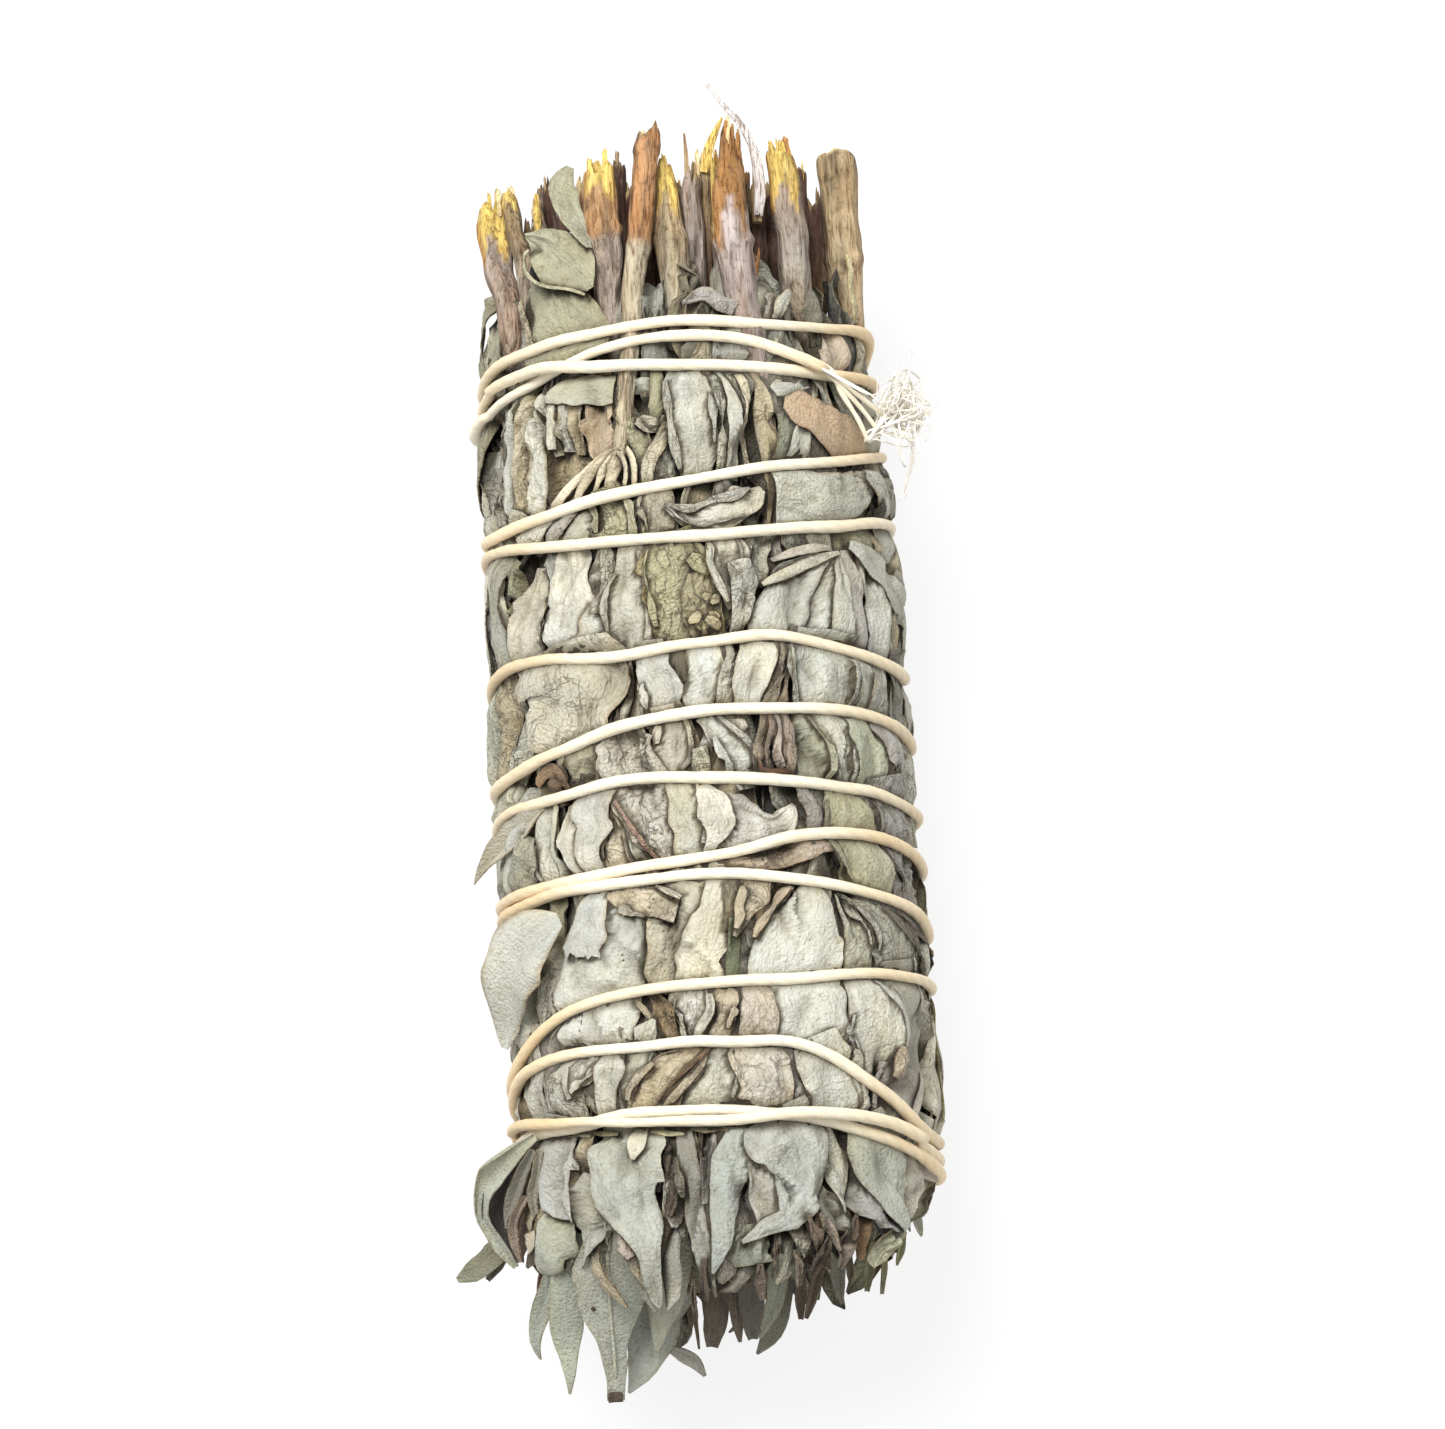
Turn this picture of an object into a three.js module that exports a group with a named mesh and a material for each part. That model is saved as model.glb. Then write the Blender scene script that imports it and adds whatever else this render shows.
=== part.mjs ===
// Sage bunch: cut sprigs of dried white sage laid side by side, wrapped with large outer leaves
// and bound with one length of waxed cotton twine.
// Millimetres, +Z up. The bunch lies along Y: cut stems at +Y, leaf tips at -Y. It rests on z = 0.
import * as THREE from 'three';

// ---------------------------------------------------------------- driving dimensions
const AXIS_Z = 15.5;                 // height of the bunch axis over the surface it lies on
const ORIGIN = [-0.0665, -0.3835]; // model x, y that becomes the part's origin
// half width and half height over the twine, against y
const HALF_W = [[-60, 17.2], [-36, 16.9], [-30, 17.2], [-20, 17.4], [-8, 17.4], [4, 17.1], [15, 17.0], [27, 16.6], [35, 16.2], [45, 15.9], [60, 15.6]];
const HALF_H = [[-60, 15.2], [-30, 15.3], [-20, 15.4], [0, 15.4], [15, 15.3], [27, 15.1], [35, 14.9], [45, 14.7], [60, 14.5]];
const TWINE_R = 0.55;                // twine radius
const TWINE_SIDES = 6;
const TWINE_STEPS = 24;              // steps in one turn
const PINCH = -1.62;                 // leaf surface under the twine, from the outer surface
const BULGE = 0.25;                  // leaf surface between two turns
const REST_PINCH = -1.75;            // the same two on the underside, where the leaves
const REST_BULGE = 0.85;             // are cut flat by the surface at z = 0
const LEAF_T = 0.75;                 // leaf node thickness
const CORE_GAP = -2.85;              // outer limit of the sprigs, from the outer surface
const CELL_GAP = 0.17;               // half the gap between two sprigs
const STEM_SIDES = 8;

// y of the twine at each 22.5 degrees of its 14 turns, from the free end down to the tucked end
const TWINE_Y = [
  [25.1, 26.0, 28.0, 30.3, 30.8, 30.4, 29.0, 28.6, 28.4, 28.9, 29.2, 29.3, 29.3, 29.5, 30.3, 32.1],
  [33.5, 33.0, 32.3, 32.0, 32.1, 31.9, 31.8, 31.7, 31.2, 31.0, 30.8, 30.7, 30.5, 30.3, 30.1, 30.0],
  [29.7, 29.0, 28.3, 28.3, 28.5, 29.0, 29.8, 30.1, 29.6, 28.6, 27.8, 27.2, 26.7, 26.1, 25.5, 24.9],
  [24.0, 22.4, 21.0, 20.1, 19.1, 18.6, 18.0, 17.9, 18.7, 18.7, 18.6, 18.5, 18.4, 18.3, 18.2, 18.1],
  [17.8, 16.9, 15.7, 14.9, 14.5, 14.7, 15.4, 16.6, 17.3, 16.1, 14.6, 13.0, 11.4, 9.9, 8.3, 6.8],
  [5.4, 5.2, 5.6, 6.4, 6.0, 5.6, 6.5, 6.9, 6.2, 5.3, 4.5, 3.6, 2.8, 1.9, 1.1, 0.3],
  [-0.4, 0.1, 0.6, 0.5, 0.4, -0.2, -1.2, -1.8, -2.0, -2.5, -3.1, -3.6, -4.2, -4.7, -5.2, -5.8],
  [-6.2, -6.2, -5.7, -5.2, -4.8, -4.4, -4.8, -4.8, -5.0, -5.7, -6.4, -7.1, -7.9, -8.6, -9.3, -10.1],
  [-10.5, -9.8, -9.3, -9.7, -11.1, -11.4, -11.6, -11.5, -11.3, -11.7, -12.3, -12.9, -13.6, -14.2, -14.8, -15.4],
  [-15.7, -14.6, -13.8, -13.0, -12.35, -12.40, -12.45, -12.5, -12.35, -13.3, -14.4, -15.3, -16.3, -17.2, -18.2, -19.1],
  [-19.9, -20.0, -20.2, -20.8, -21.0, -21.1, -21.9, -24.0, -25.8, -26.5, -27.3, -28.1, -28.9, -29.8, -30.6, -31.4],
  [-32.3, -32.1, -29.2, -26.2, -25.5, -25.3, -25.0, -25.4, -27.1, -28.1, -28.9, -29.7, -30.5, -31.3, -32.2, -33.0],
  [-33.7, -33.4, -31.9, -31.4, -31.6, -31.3, -30.6, -29.6, -29.4, -30.0, -30.8, -31.4, -32.0, -32.6, -33.7, -34.5],
  [-35.0, -34.3, -32.9, -31.6, -30.7, -30.4, -30.8, -30.6, -31.0, -31.6, -32.2, -32.8, -33.3, -33.9],
];
const TWINE_START = 14;              // degrees, the free end
const TWINE_END = 13 * 360 + 300;    // degrees, the end tucked in under the last turn
// where one turn lies on another: [upper turn, lower turn, from degrees, to degrees]
const CROSSINGS = [[0, 2, 14, 95], [2, 0, 95, 160], [0, 2, 165, 252], [0, 1, 275, 360], [12, 13, 30, 175]];
const LIFT = 1.28;

// ---------------------------------------------------------------- helpers
const RAD = Math.PI / 180;
const clamp = (v, a, b) => Math.max(a, Math.min(b, v));
const lerp = (a, b, t) => a + (b - a) * t;
const smooth = (t) => { t = clamp(t, 0, 1); return t * t * (3 - 2 * t); };
function table(tab, v) {
  if (v <= tab[0][0]) return tab[0][1];
  for (let i = 1; i < tab.length; i++) {
    if (v <= tab[i][0]) return lerp(tab[i - 1][1], tab[i][1], (v - tab[i - 1][0]) / (tab[i][0] - tab[i - 1][0]));
  }
  return tab[tab.length - 1][1];
}

// the bunch narrows to its leaf tips past the last turn of twine
const tuft = (y) => (y > -40 ? 1 : lerp(1, 0.60, smooth((-40 - y) / 14)));
// point on the bunch: angle round the axis from +X over the top, y, distance off the outer surface
function surf(deg, y, off) {
  const a = table(HALF_W, y) * tuft(y) + off, b = table(HALF_H, y) * tuft(y) + off;
  const drop = y < -40 ? -0.10 * (-40 - y) : 0;
  return [a * Math.cos(deg * RAD), y, AXIS_Z + drop + b * Math.sin(deg * RAD)];
}

// closed body from rings with the same number of points, ends closed by a fan on the ring's middle
function loft(rings) {
  const n = rings[0].length, pos = [], idx = [];
  for (const r of rings) for (const p of r) pos.push(...p);
  for (let i = 0; i < rings.length - 1; i++) {
    for (let j = 0; j < n; j++) {
      const a = i * n + j, b = i * n + (j + 1) % n, c = a + n, d = b + n;
      idx.push(a, b, d, a, d, c);
    }
  }
  const cap = (base, flip) => {
    const m = [0, 0, 0];
    for (let j = 0; j < n; j++) for (let k = 0; k < 3; k++) m[k] += pos[(base + j) * 3 + k] / n;
    const c = pos.length / 3; pos.push(...m);
    for (let j = 0; j < n; j++) {
      const a = base + j, b = base + (j + 1) % n;
      if (flip) idx.push(c, a, b); else idx.push(c, b, a);
    }
  };
  cap(0, false); cap((rings.length - 1) * n, true);
  return solid(pos, idx);
}
function solid(pos, idx) {
  let vol = 0;
  for (let i = 0; i < idx.length; i += 3) {
    const [a, b, c] = [idx[i], idx[i + 1], idx[i + 2]].map((k) => new THREE.Vector3(pos[k * 3], pos[k * 3 + 1], pos[k * 3 + 2]));
    vol += a.dot(b.clone().cross(c)) / 6;
  }
  if (vol < 0) for (let i = 0; i < idx.length; i += 3) { const t = idx[i + 1]; idx[i + 1] = idx[i + 2]; idx[i + 2] = t; }
  const g = new THREE.BufferGeometry();
  g.setAttribute('position', new THREE.Float32BufferAttribute(pos, 3));
  g.setIndex(idx);
  g.computeVertexNormals();
  return g;
}

const bunch = new THREE.Group();
bunch.name = 'sage_bunch';
const inner = new THREE.Group();
inner.position.set(-ORIGIN[0], -ORIGIN[1], 0);
bunch.add(inner);
function add(name, geometry, colour, roughness) {
  const mesh = new THREE.Mesh(geometry, new THREE.MeshStandardMaterial({ color: colour, roughness, metalness: 0 }));
  mesh.name = name;
  inner.add(mesh);
}

// ---------------------------------------------------------------- twine
const TW_N = 16;
function twineY(phi) {                // smooth curve through the table
  const f = clamp(phi / (360 / TW_N), 0, TWINE_Y.flat().length - 1), flat = TWINE_Y.flat();
  const i = Math.floor(f), t = f - i, g = (k) => flat[clamp(k, 0, flat.length - 1)];
  const [p0, p1, p2, p3] = [g(i - 1), g(i), g(i + 1), g(i + 2)];
  return 0.5 * (2 * p1 + (p2 - p0) * t + (2 * p0 - 5 * p1 + 4 * p2 - p3) * t * t + (3 * p1 - p0 - 3 * p2 + p3) * t * t * t);
}
function twineLift(phi) {
  const turn = Math.floor(phi / 360), deg = phi - turn * 360;
  let lift = 0;
  for (const [up, low, d0, d1] of CROSSINGS) {
    if (turn !== up || deg < d0 || deg > d1) continue;
    const d = twineY(phi) - twineY(low * 360 + deg);
    lift = Math.max(lift, LIFT * Math.exp(-Math.pow(d / 1.35, 2)));
  }
  return lift;
}
const twinePoint = (phi) => surf(phi % 360, twineY(phi), -TWINE_R + twineLift(phi));
{
  const path = [];
  const step = 360 / TWINE_STEPS;
  for (let p = TWINE_START; p <= TWINE_END; p += step) path.push(new THREE.Vector3(...twinePoint(p)));
  const rings = [];
  for (let i = 0; i < path.length; i++) {
    const t = path[Math.min(i + 1, path.length - 1)].clone().sub(path[Math.max(i - 1, 0)]).normalize();
    const out = new THREE.Vector3(path[i].x, 0, path[i].z - AXIS_Z);
    out.addScaledVector(t, -out.dot(t)).normalize();
    const side = new THREE.Vector3().crossVectors(t, out);
    const ring = [];
    for (let k = 0; k < TWINE_SIDES; k++) {
      const a = (k + 0.5) / TWINE_SIDES * 2 * Math.PI;
      ring.push(path[i].clone().addScaledVector(out, TWINE_R * Math.cos(a)).addScaledVector(side, TWINE_R * Math.sin(a)).toArray());
    }
    rings.push(ring);
  }
  add('binding_twine', loft(rings), 0xe2d5b0, 0.85);
}

// ---------------------------------------------------------------- outer leaves
// the y of every turn at one angle, highest first, kept apart so that rows never fold over
function turnsAt(deg, right) {
  // the two columns on the +X side, 310 to 30 degrees, run past the start of each turn
  const d = right && deg > 180 ? deg - 360 : deg, ys = [twineY(Math.max(d, TWINE_START))];
  for (let k = 1; k < 14; k++) ys.push(twineY(k * 360 + d));
  ys.sort((a, b) => b - a);
  for (let it = 0; it < 12; it++) {
    for (let i = 1; i < ys.length; i++) {
      const s = ys[i - 1] - ys[i];
      if (s < 1.2) { ys[i - 1] += (1.2 - s) / 2; ys[i] -= (1.2 - s) / 2; }
    }
  }
  return ys;
}
// y and height of a leaf row; u counts turns: 3 is on turn 3, 3.5 is between turns 3 and 4
function rowAt(deg, u, right) {
  const ys = turnsAt(deg, right), under = Math.abs(deg - 270) < 22;
  const bulge = under ? REST_BULGE : BULGE, pinch = under ? REST_PINCH : PINCH, slope = under ? 1.1 : 0.8;
  if (u < 0) return [ys[0] - u * 5.5, lerp(PINCH, -0.5, smooth(-u * 2.2))];
  if (u > 13) { const t = u - 13; return [ys[13] - t * 10, lerp(PINCH, 0.3, smooth(t * 2.5)) - 0.5 * t]; }
  const i = Math.min(Math.floor(u), 12), f = u - i, s = ys[i] - ys[i + 1];
  const h = Math.min(bulge, pinch + slope * s / 3);
  return [ys[i] - s * f, lerp(pinch, h, clamp(Math.min(f, 1 - f) * 3, 0, 1))];
}
// the shared border between two columns of leaves wanders a little
const COLUMNS = 9;
const border = (c, u) => 40 * c - 10 + (c === 8 ? 0 : 5.5 * Math.sin(u * 0.9 + (c % COLUMNS) * 2.1));
const ACROSS = 4;
function leaf(col, u0, u1, tipLeft) {
  const us = [];
  const addU = (v) => { if (v > u0 + 0.12 && v < u1 - 0.12) us.push(v); };
  us.push(u0);
  for (let i = -1; i <= 13; i++) {
    if (i < 0) { addU(-0.5); continue; }
    addU(i);
    if (i < 13) { addU(i + 1 / 3); addU(i + 2 / 3); }
  }
  for (const t of [0.35, 0.75, 1.15, 1.5]) addU(13 + t);
  us.push(u1);
  const outer = [], innerP = [];
  for (const u of us) {
    const t = (u - u0) / (u1 - u0);
    // narrow at the leaf stalk, widest at the middle, pointed at the tip
    const w = 0.16 + 0.84 * Math.pow(Math.sin(Math.PI * clamp(0.10 + 0.84 * Math.pow(t, 0.92), 0, 1)), 0.62);
    const bl = border(col, u) + 0.75, br = border(col + 1, u) - 0.75;
    const mid = (bl + br) / 2 + (tipLeft ? 1 : -1) * 3 * Math.sin(Math.PI * t) * 0.4;
    const ro = [], ri = [];
    for (let k = 0; k <= ACROSS; k++) {
      const f = k / ACROSS, deg = f < 0.5 ? lerp(lerp(mid, bl, w), mid, f * 2) : lerp(mid, lerp(mid, br, w), f * 2 - 1);
      const [y, h] = rowAt(deg, u, col === 0 || col === 8);
      const rim = (k === 0 || k === ACROSS) ? -0.12 : 0;
      const po = surf(deg, y, h + rim), pi = surf(deg, y, h - LEAF_T);
      po[2] = Math.max(po[2], 0); pi[2] = Math.max(pi[2], LEAF_T);
      ro.push(po); ri.push(pi);
    }
    outer.push(ro); innerP.push(ri);
  }
  const rows = us.length, cols = ACROSS + 1, pos = [], idx = [];
  for (const set of [outer, innerP]) for (const r of set) for (const p of r) pos.push(...p);
  const id = (s, i, k) => s * rows * cols + i * cols + k;
  for (let i = 0; i < rows - 1; i++) {
    for (let k = 0; k < cols - 1; k++) {
      idx.push(id(0, i, k), id(0, i + 1, k), id(0, i + 1, k + 1), id(0, i, k), id(0, i + 1, k + 1), id(0, i, k + 1));
      idx.push(id(1, i, k), id(1, i + 1, k + 1), id(1, i + 1, k), id(1, i, k), id(1, i, k + 1), id(1, i + 1, k + 1));
    }
    idx.push(id(0, i, 0), id(1, i + 1, 0), id(0, i + 1, 0), id(0, i, 0), id(1, i, 0), id(1, i + 1, 0));
    const e = cols - 1;
    idx.push(id(0, i, e), id(0, i + 1, e), id(1, i + 1, e), id(0, i, e), id(1, i + 1, e), id(1, i, e));
  }
  for (let k = 0; k < cols - 1; k++) {
    idx.push(id(0, 0, k), id(0, 0, k + 1), id(1, 0, k + 1), id(0, 0, k), id(1, 0, k + 1), id(1, 0, k));
    const e = rows - 1;
    idx.push(id(0, e, k), id(1, e, k + 1), id(0, e, k + 1), id(0, e, k), id(1, e, k), id(1, e, k + 1));
  }
  return solid(pos, idx);
}
const LEAF_COLOURS = [0xa9ad9a, 0xb2b3a2, 0xa3a78f, 0xaeab9c];
// how far each column's last leaf stands out past the twine
const TIP_END = [14.35, 14.30, 14.80, 14.95, 14.45, 14.25, 14.50, 14.60, 14.20];
let leafNo = 0, tipNo = 0;
for (let c = 0; c < COLUMNS; c++) {
  const cuts = c % 2 === 0 ? [-0.9, 3.5, 7.5, 10.5] : [-0.7, 2.5, 5.5, 9.5];
  for (let k = 0; k < cuts.length; k++) {
    const last = k === cuts.length - 1;
    const u0 = cuts[k], u1 = last ? TIP_END[c] : cuts[k + 1] - 0.10;
    const g = leaf(c, u0, u1, (c + k) % 2 === 0);
    const name = last ? `tip_leaf_${String(++tipNo).padStart(2, '0')}` : `outer_leaf_${String(++leafNo).padStart(2, '0')}`;
    add(name, g, LEAF_COLOURS[(c + k) % 4], 0.9);
  }
}

// ---------------------------------------------------------------- sprigs
// [x, z off the axis at the wrap, then the cut end: x, y, z off the axis, stem radius]
const SPRIGS = [
  [-12.2, 1.0, -14.4, 46.7, 2.0, 1.15], [-10.2, 5.3, -12.2, 48.0, 4.5, 0.9], [-6.6, 8.9, -5.6, 46.0, 11.4, 1.25],
  [-2.6, 10.3, -1.4, 48.1, 13.0, 1.15], [0.9, 9.9, 0.9, 45.8, 11.6, 0.95], [4.6, 9.6, 5.3, 47.8, 11.7, 1.3],
  [8.5, 7.6, 9.4, 47.2, 9.6, 1.2], [12.0, 1.5, 14.0, 49.9, 1.2, 1.45], [9.6, 3.2, 11.3, 47.3, 4.4, 0.8],
  [-7.4, 3.4, -9.0, 47.3, 5.2, 0.8], [-3.6, 5.2, -3.6, 47.6, 8.6, 0.75], [1.9, 5.0, 3.0, 46.5, 8.2, 0.75],
  [5.8, 3.0, 6.8, 45.5, 5.0, 0.9], [-1.0, 0.5, -0.5, 46.8, 2.5, 1.0], [3.6, -2.0, 4.0, 45.2, -2.0, 0.9],
  [-5.6, -2.0, -6.5, 46.5, -1.5, 1.1], [-9.8, -4.6, -11.0, 45.0, -4.0, 1.1], [-5.4, -8.6, -6.2, 46.3, -9.0, 1.2],
  [0.0, -8.4, 0.3, 44.8, -8.9, 1.3], [5.8, -7.8, 6.4, 46.2, -8.3, 1.1], [10.2, -4.0, 11.8, 45.4, -4.6, 1.2],
];
const CELL_RAYS = 10;
const REF_Y = 10;
{
  const A = table(HALF_W, REF_Y) + CORE_GAP, B = table(HALF_H, REF_Y) + CORE_GAP;
  const cells = SPRIGS.map(([x, z], i) => {
    const pts = [];
    for (let k = 0; k < CELL_RAYS; k++) {
      const a = (k + 0.37) / CELL_RAYS * 2 * Math.PI, dx = Math.cos(a), dz = Math.sin(a);
      // out to the edge of the bunch
      const qa = (dx / A) ** 2 + (dz / B) ** 2, qb = 2 * (x * dx / A ** 2 + z * dz / B ** 2), qc = (x / A) ** 2 + (z / B) ** 2 - 1;
      let r = (-qb + Math.sqrt(qb * qb - 4 * qa * qc)) / (2 * qa);
      SPRIGS.forEach(([ox, oz], j) => {       // or to halfway to the next sprig
        if (j === i) return;
        const ex = ox - x, ez = oz - z, L = Math.hypot(ex, ez), c = (dx * ex + dz * ez) / L;
        if (c > 1e-6) r = Math.min(r, (L / 2 - CELL_GAP) / c);
      });
      pts.push([dx * r, dz * r]);
    }
    return pts;
  });
  SPRIGS.forEach(([x, z, tx, ty, tz, r], i) => {
    const tip = -43.5 - 6.5 * ((i * 0.618) % 1), shoulder = 31.5 + 3.2 * ((i * 0.414) % 1);
    const mx = cells[i].reduce((s, p) => s + p[0], 0) / CELL_RAYS, mz = cells[i].reduce((s, p) => s + p[1], 0) / CELL_RAYS;
    const at = (y) => {
      const t = tuft(y);
      return [(table(HALF_W, y) * t + CORE_GAP) / A, (table(HALF_H, y) * t + CORE_GAP) / B];
    };
    const rings = [];
    const ring = (y, shrink) => {
      const [sx, sz] = at(y);
      const drop = y < -40 ? -0.10 * (-40 - y) : 0;
      return cells[i].map(([px, pz], k) => {
        const f = shrink * (1 - 0.05 * ((k + i) % 2));
        return [(x + mx * (1 - shrink) + px * f) * sx, y, AXIS_Z + drop + (z + mz * (1 - shrink) + pz * f) * sz];
      });
    };
    rings.push(ring(tip, 0.18), ring(lerp(tip, -38, 0.35), 0.62), ring(lerp(tip, -38, 0.75), 0.88));
    for (const y of [-34, -20, -4, 12, 26]) rings.push(ring(y, 1));
    rings.push(ring(shoulder - 1.5, 0.97));
    // the woody stem leaves the foliage and runs to its cut end
    const [sx, sz] = at(shoulder);
    const start = new THREE.Vector3((x + mx * 0.6) * sx, shoulder, AXIS_Z + (z + mz * 0.6) * sz);
    const end = new THREE.Vector3(tx, ty, AXIS_Z + tz);
    const dir = end.clone().sub(start).normalize();
    const right = new THREE.Vector3(1, 0, 0).addScaledVector(dir, -dir.x).normalize();
    const up = new THREE.Vector3().crossVectors(right, dir).normalize();
    if (up.z < 0) up.negate();
    const stemRing = (t, f) => {
      const p = start.clone().lerp(end, t);
      return cells[i].map((q, k) => {
        const a = (k + 0.37) / CELL_RAYS * 2 * Math.PI;
        return p.clone().addScaledVector(right, r * f * Math.cos(a)).addScaledVector(up, r * f * Math.sin(a)).toArray();
      });
    };
    const L = start.distanceTo(end);
    rings.push(stemRing(1.2 / L, 1.12), stemRing(0.35, 1.0), stemRing(0.62, 1.12), stemRing(0.68, 0.96), stemRing(1, 0.98));
    add(`sprig_${String(i + 1).padStart(2, '0')}`, loft(rings), [0x7d6a58, 0x8a7463, 0x6f5b50, 0x938069][i % 4], 0.9);
  });
}

export default bunch;
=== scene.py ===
import math
import bpy
import numpy as np
from mathutils import Vector, Matrix


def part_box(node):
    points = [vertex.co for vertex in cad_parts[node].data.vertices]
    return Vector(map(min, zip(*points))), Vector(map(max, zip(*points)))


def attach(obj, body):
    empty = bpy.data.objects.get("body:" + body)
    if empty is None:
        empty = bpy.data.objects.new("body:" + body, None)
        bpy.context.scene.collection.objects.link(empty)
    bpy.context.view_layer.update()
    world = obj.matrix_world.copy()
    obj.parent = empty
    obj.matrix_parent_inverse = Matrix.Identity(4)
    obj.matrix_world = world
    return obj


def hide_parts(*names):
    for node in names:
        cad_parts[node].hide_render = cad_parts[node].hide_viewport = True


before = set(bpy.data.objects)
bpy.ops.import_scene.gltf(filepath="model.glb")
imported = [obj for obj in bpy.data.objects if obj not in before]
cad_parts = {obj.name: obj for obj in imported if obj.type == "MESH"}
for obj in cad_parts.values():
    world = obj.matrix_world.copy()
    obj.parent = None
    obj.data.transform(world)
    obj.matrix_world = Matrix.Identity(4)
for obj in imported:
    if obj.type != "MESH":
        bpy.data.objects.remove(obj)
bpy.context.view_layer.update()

RNG = np.random.default_rng(11)
RAD = math.pi / 180

# ------------------------------------------------------------------ the bunch's shape, in mm, as in part.mjs
AXIS_Z = 15.5
ORIGIN = (-0.0665, -0.3835)
HW = np.array([[-60, 17.2], [-36, 16.9], [-30, 17.2], [-20, 17.4], [-8, 17.4], [4, 17.1], [15, 17.0], [27, 16.6], [35, 16.2], [45, 15.9], [60, 15.6]])
HH = np.array([[-60, 15.2], [-30, 15.3], [-20, 15.4], [0, 15.4], [15, 15.3], [27, 15.1], [35, 14.9], [45, 14.7], [60, 14.5]])
TWINE_R = 0.55
TWINE_Y = [
    [25.1, 26.0, 28.0, 30.3, 30.8, 30.4, 29.0, 28.6, 28.4, 28.9, 29.2, 29.3, 29.3, 29.5, 30.3, 32.1],
    [33.5, 33.0, 32.3, 32.0, 32.1, 31.9, 31.8, 31.7, 31.2, 31.0, 30.8, 30.7, 30.5, 30.3, 30.1, 30.0],
    [29.7, 29.0, 28.3, 28.3, 28.5, 29.0, 29.8, 30.1, 29.6, 28.6, 27.8, 27.2, 26.7, 26.1, 25.5, 24.9],
    [24.0, 22.4, 21.0, 20.1, 19.1, 18.6, 18.0, 17.9, 18.7, 18.7, 18.6, 18.5, 18.4, 18.3, 18.2, 18.1],
    [17.8, 16.9, 15.7, 14.9, 14.5, 14.7, 15.4, 16.6, 17.3, 16.1, 14.6, 13.0, 11.4, 9.9, 8.3, 6.8],
    [5.4, 5.2, 5.6, 6.4, 6.0, 5.6, 6.5, 6.9, 6.2, 5.3, 4.5, 3.6, 2.8, 1.9, 1.1, 0.3],
    [-0.4, 0.1, 0.6, 0.5, 0.4, -0.2, -1.2, -1.8, -2.0, -2.5, -3.1, -3.6, -4.2, -4.7, -5.2, -5.8],
    [-6.2, -6.2, -5.7, -5.2, -4.8, -4.4, -4.8, -4.8, -5.0, -5.7, -6.4, -7.1, -7.9, -8.6, -9.3, -10.1],
    [-10.5, -9.8, -9.3, -9.7, -11.1, -11.4, -11.6, -11.5, -11.3, -11.7, -12.3, -12.9, -13.6, -14.2, -14.8, -15.4],
    [-15.7, -14.6, -13.8, -13.0, -12.35, -12.40, -12.45, -12.5, -12.35, -13.3, -14.4, -15.3, -16.3, -17.2, -18.2, -19.1],
    [-19.9, -20.0, -20.2, -20.8, -21.0, -21.1, -21.9, -24.0, -25.8, -26.5, -27.3, -28.1, -28.9, -29.8, -30.6, -31.4],
    [-32.3, -32.1, -29.2, -26.2, -25.5, -25.3, -25.0, -25.4, -27.1, -28.1, -28.9, -29.7, -30.5, -31.3, -32.2, -33.0],
    [-33.7, -33.4, -31.9, -31.4, -31.6, -31.3, -30.6, -29.6, -29.4, -30.0, -30.8, -31.4, -32.0, -32.6, -33.7, -34.5],
    [-35.0, -34.3, -32.9, -31.6, -30.7, -30.4, -30.8, -30.6, -31.0, -31.6, -32.2, -32.8, -33.3, -33.9],
]
TWINE_START, TWINE_END = 14.0, 13 * 360 + 300.0
CROSSINGS = [(0, 2, 14, 95), (2, 0, 95, 160), (0, 2, 165, 252), (0, 1, 275, 360), (12, 13, 30, 175)]
LIFT = 1.28


def sstep(t):
    t = np.clip(t, 0, 1)
    return t * t * (3 - 2 * t)


def tuft(y):
    return 1 - 0.40 * sstep((-40 - y) / 14)


def surf(deg, y, off):
    """Point on the bunch: angle round the axis from +X over the top, y, distance off the outer surface (over the twine)."""
    deg, y, off = np.broadcast_arrays(np.asarray(deg, float), np.asarray(y, float), np.asarray(off, float))
    a = np.interp(y, HW[:, 0], HW[:, 1]) * tuft(y) + off
    b = np.interp(y, HH[:, 0], HH[:, 1]) * tuft(y) + off
    drop = np.where(y < -40, -0.10 * (-40 - y), 0)
    return np.stack([a * np.cos(deg * RAD), y, AXIS_Z + drop + b * np.sin(deg * RAD)], -1)


# unrolled coordinate q in mm: 0 at the top of the bunch, growing towards +X
_th = np.linspace(-180, 540, 1441)
_ds = np.hypot(17.0 * np.sin(_th * RAD), 15.3 * np.cos(_th * RAD)) * (0.5 * RAD)
_q = -np.concatenate([[0], np.cumsum((_ds[1:] + _ds[:-1]) / 2)])
_q -= np.interp(90, _th, _q)
Q_TURN = float(np.interp(-90, _th, _q) - np.interp(270, _th, _q))


def deg_of(q):
    return np.interp(-np.asarray(q, float), -_q, _th)


def q_of(deg):
    return np.interp(deg, _th, _q)


# ------------------------------------------------------------------ the photograph's camera, in mm
PX_W, PX_H = 1445.0, 1429.0
EL, AZ, CAM_D, FOC = 77.0 * RAD, 3.8 * RAD, 450.0, 5625.0
CX, CY = PX_W / 2, PX_H / 2
cam_f = np.array([math.sin(AZ) * math.cos(EL), math.cos(AZ) * math.cos(EL), -math.sin(EL)])
cam_u = np.array([math.sin(AZ) * math.sin(EL), math.cos(AZ) * math.sin(EL), math.cos(EL)])
cam_r = np.array([math.cos(AZ), -math.sin(AZ), 0.0])
cam_c = np.array([0, 0, AXIS_Z + 0.1]) - (cam_f * CAM_D + cam_r * ((703.0 - CX) / FOC * CAM_D) - cam_u * ((758.0 - CY) / FOC * CAM_D))


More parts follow.
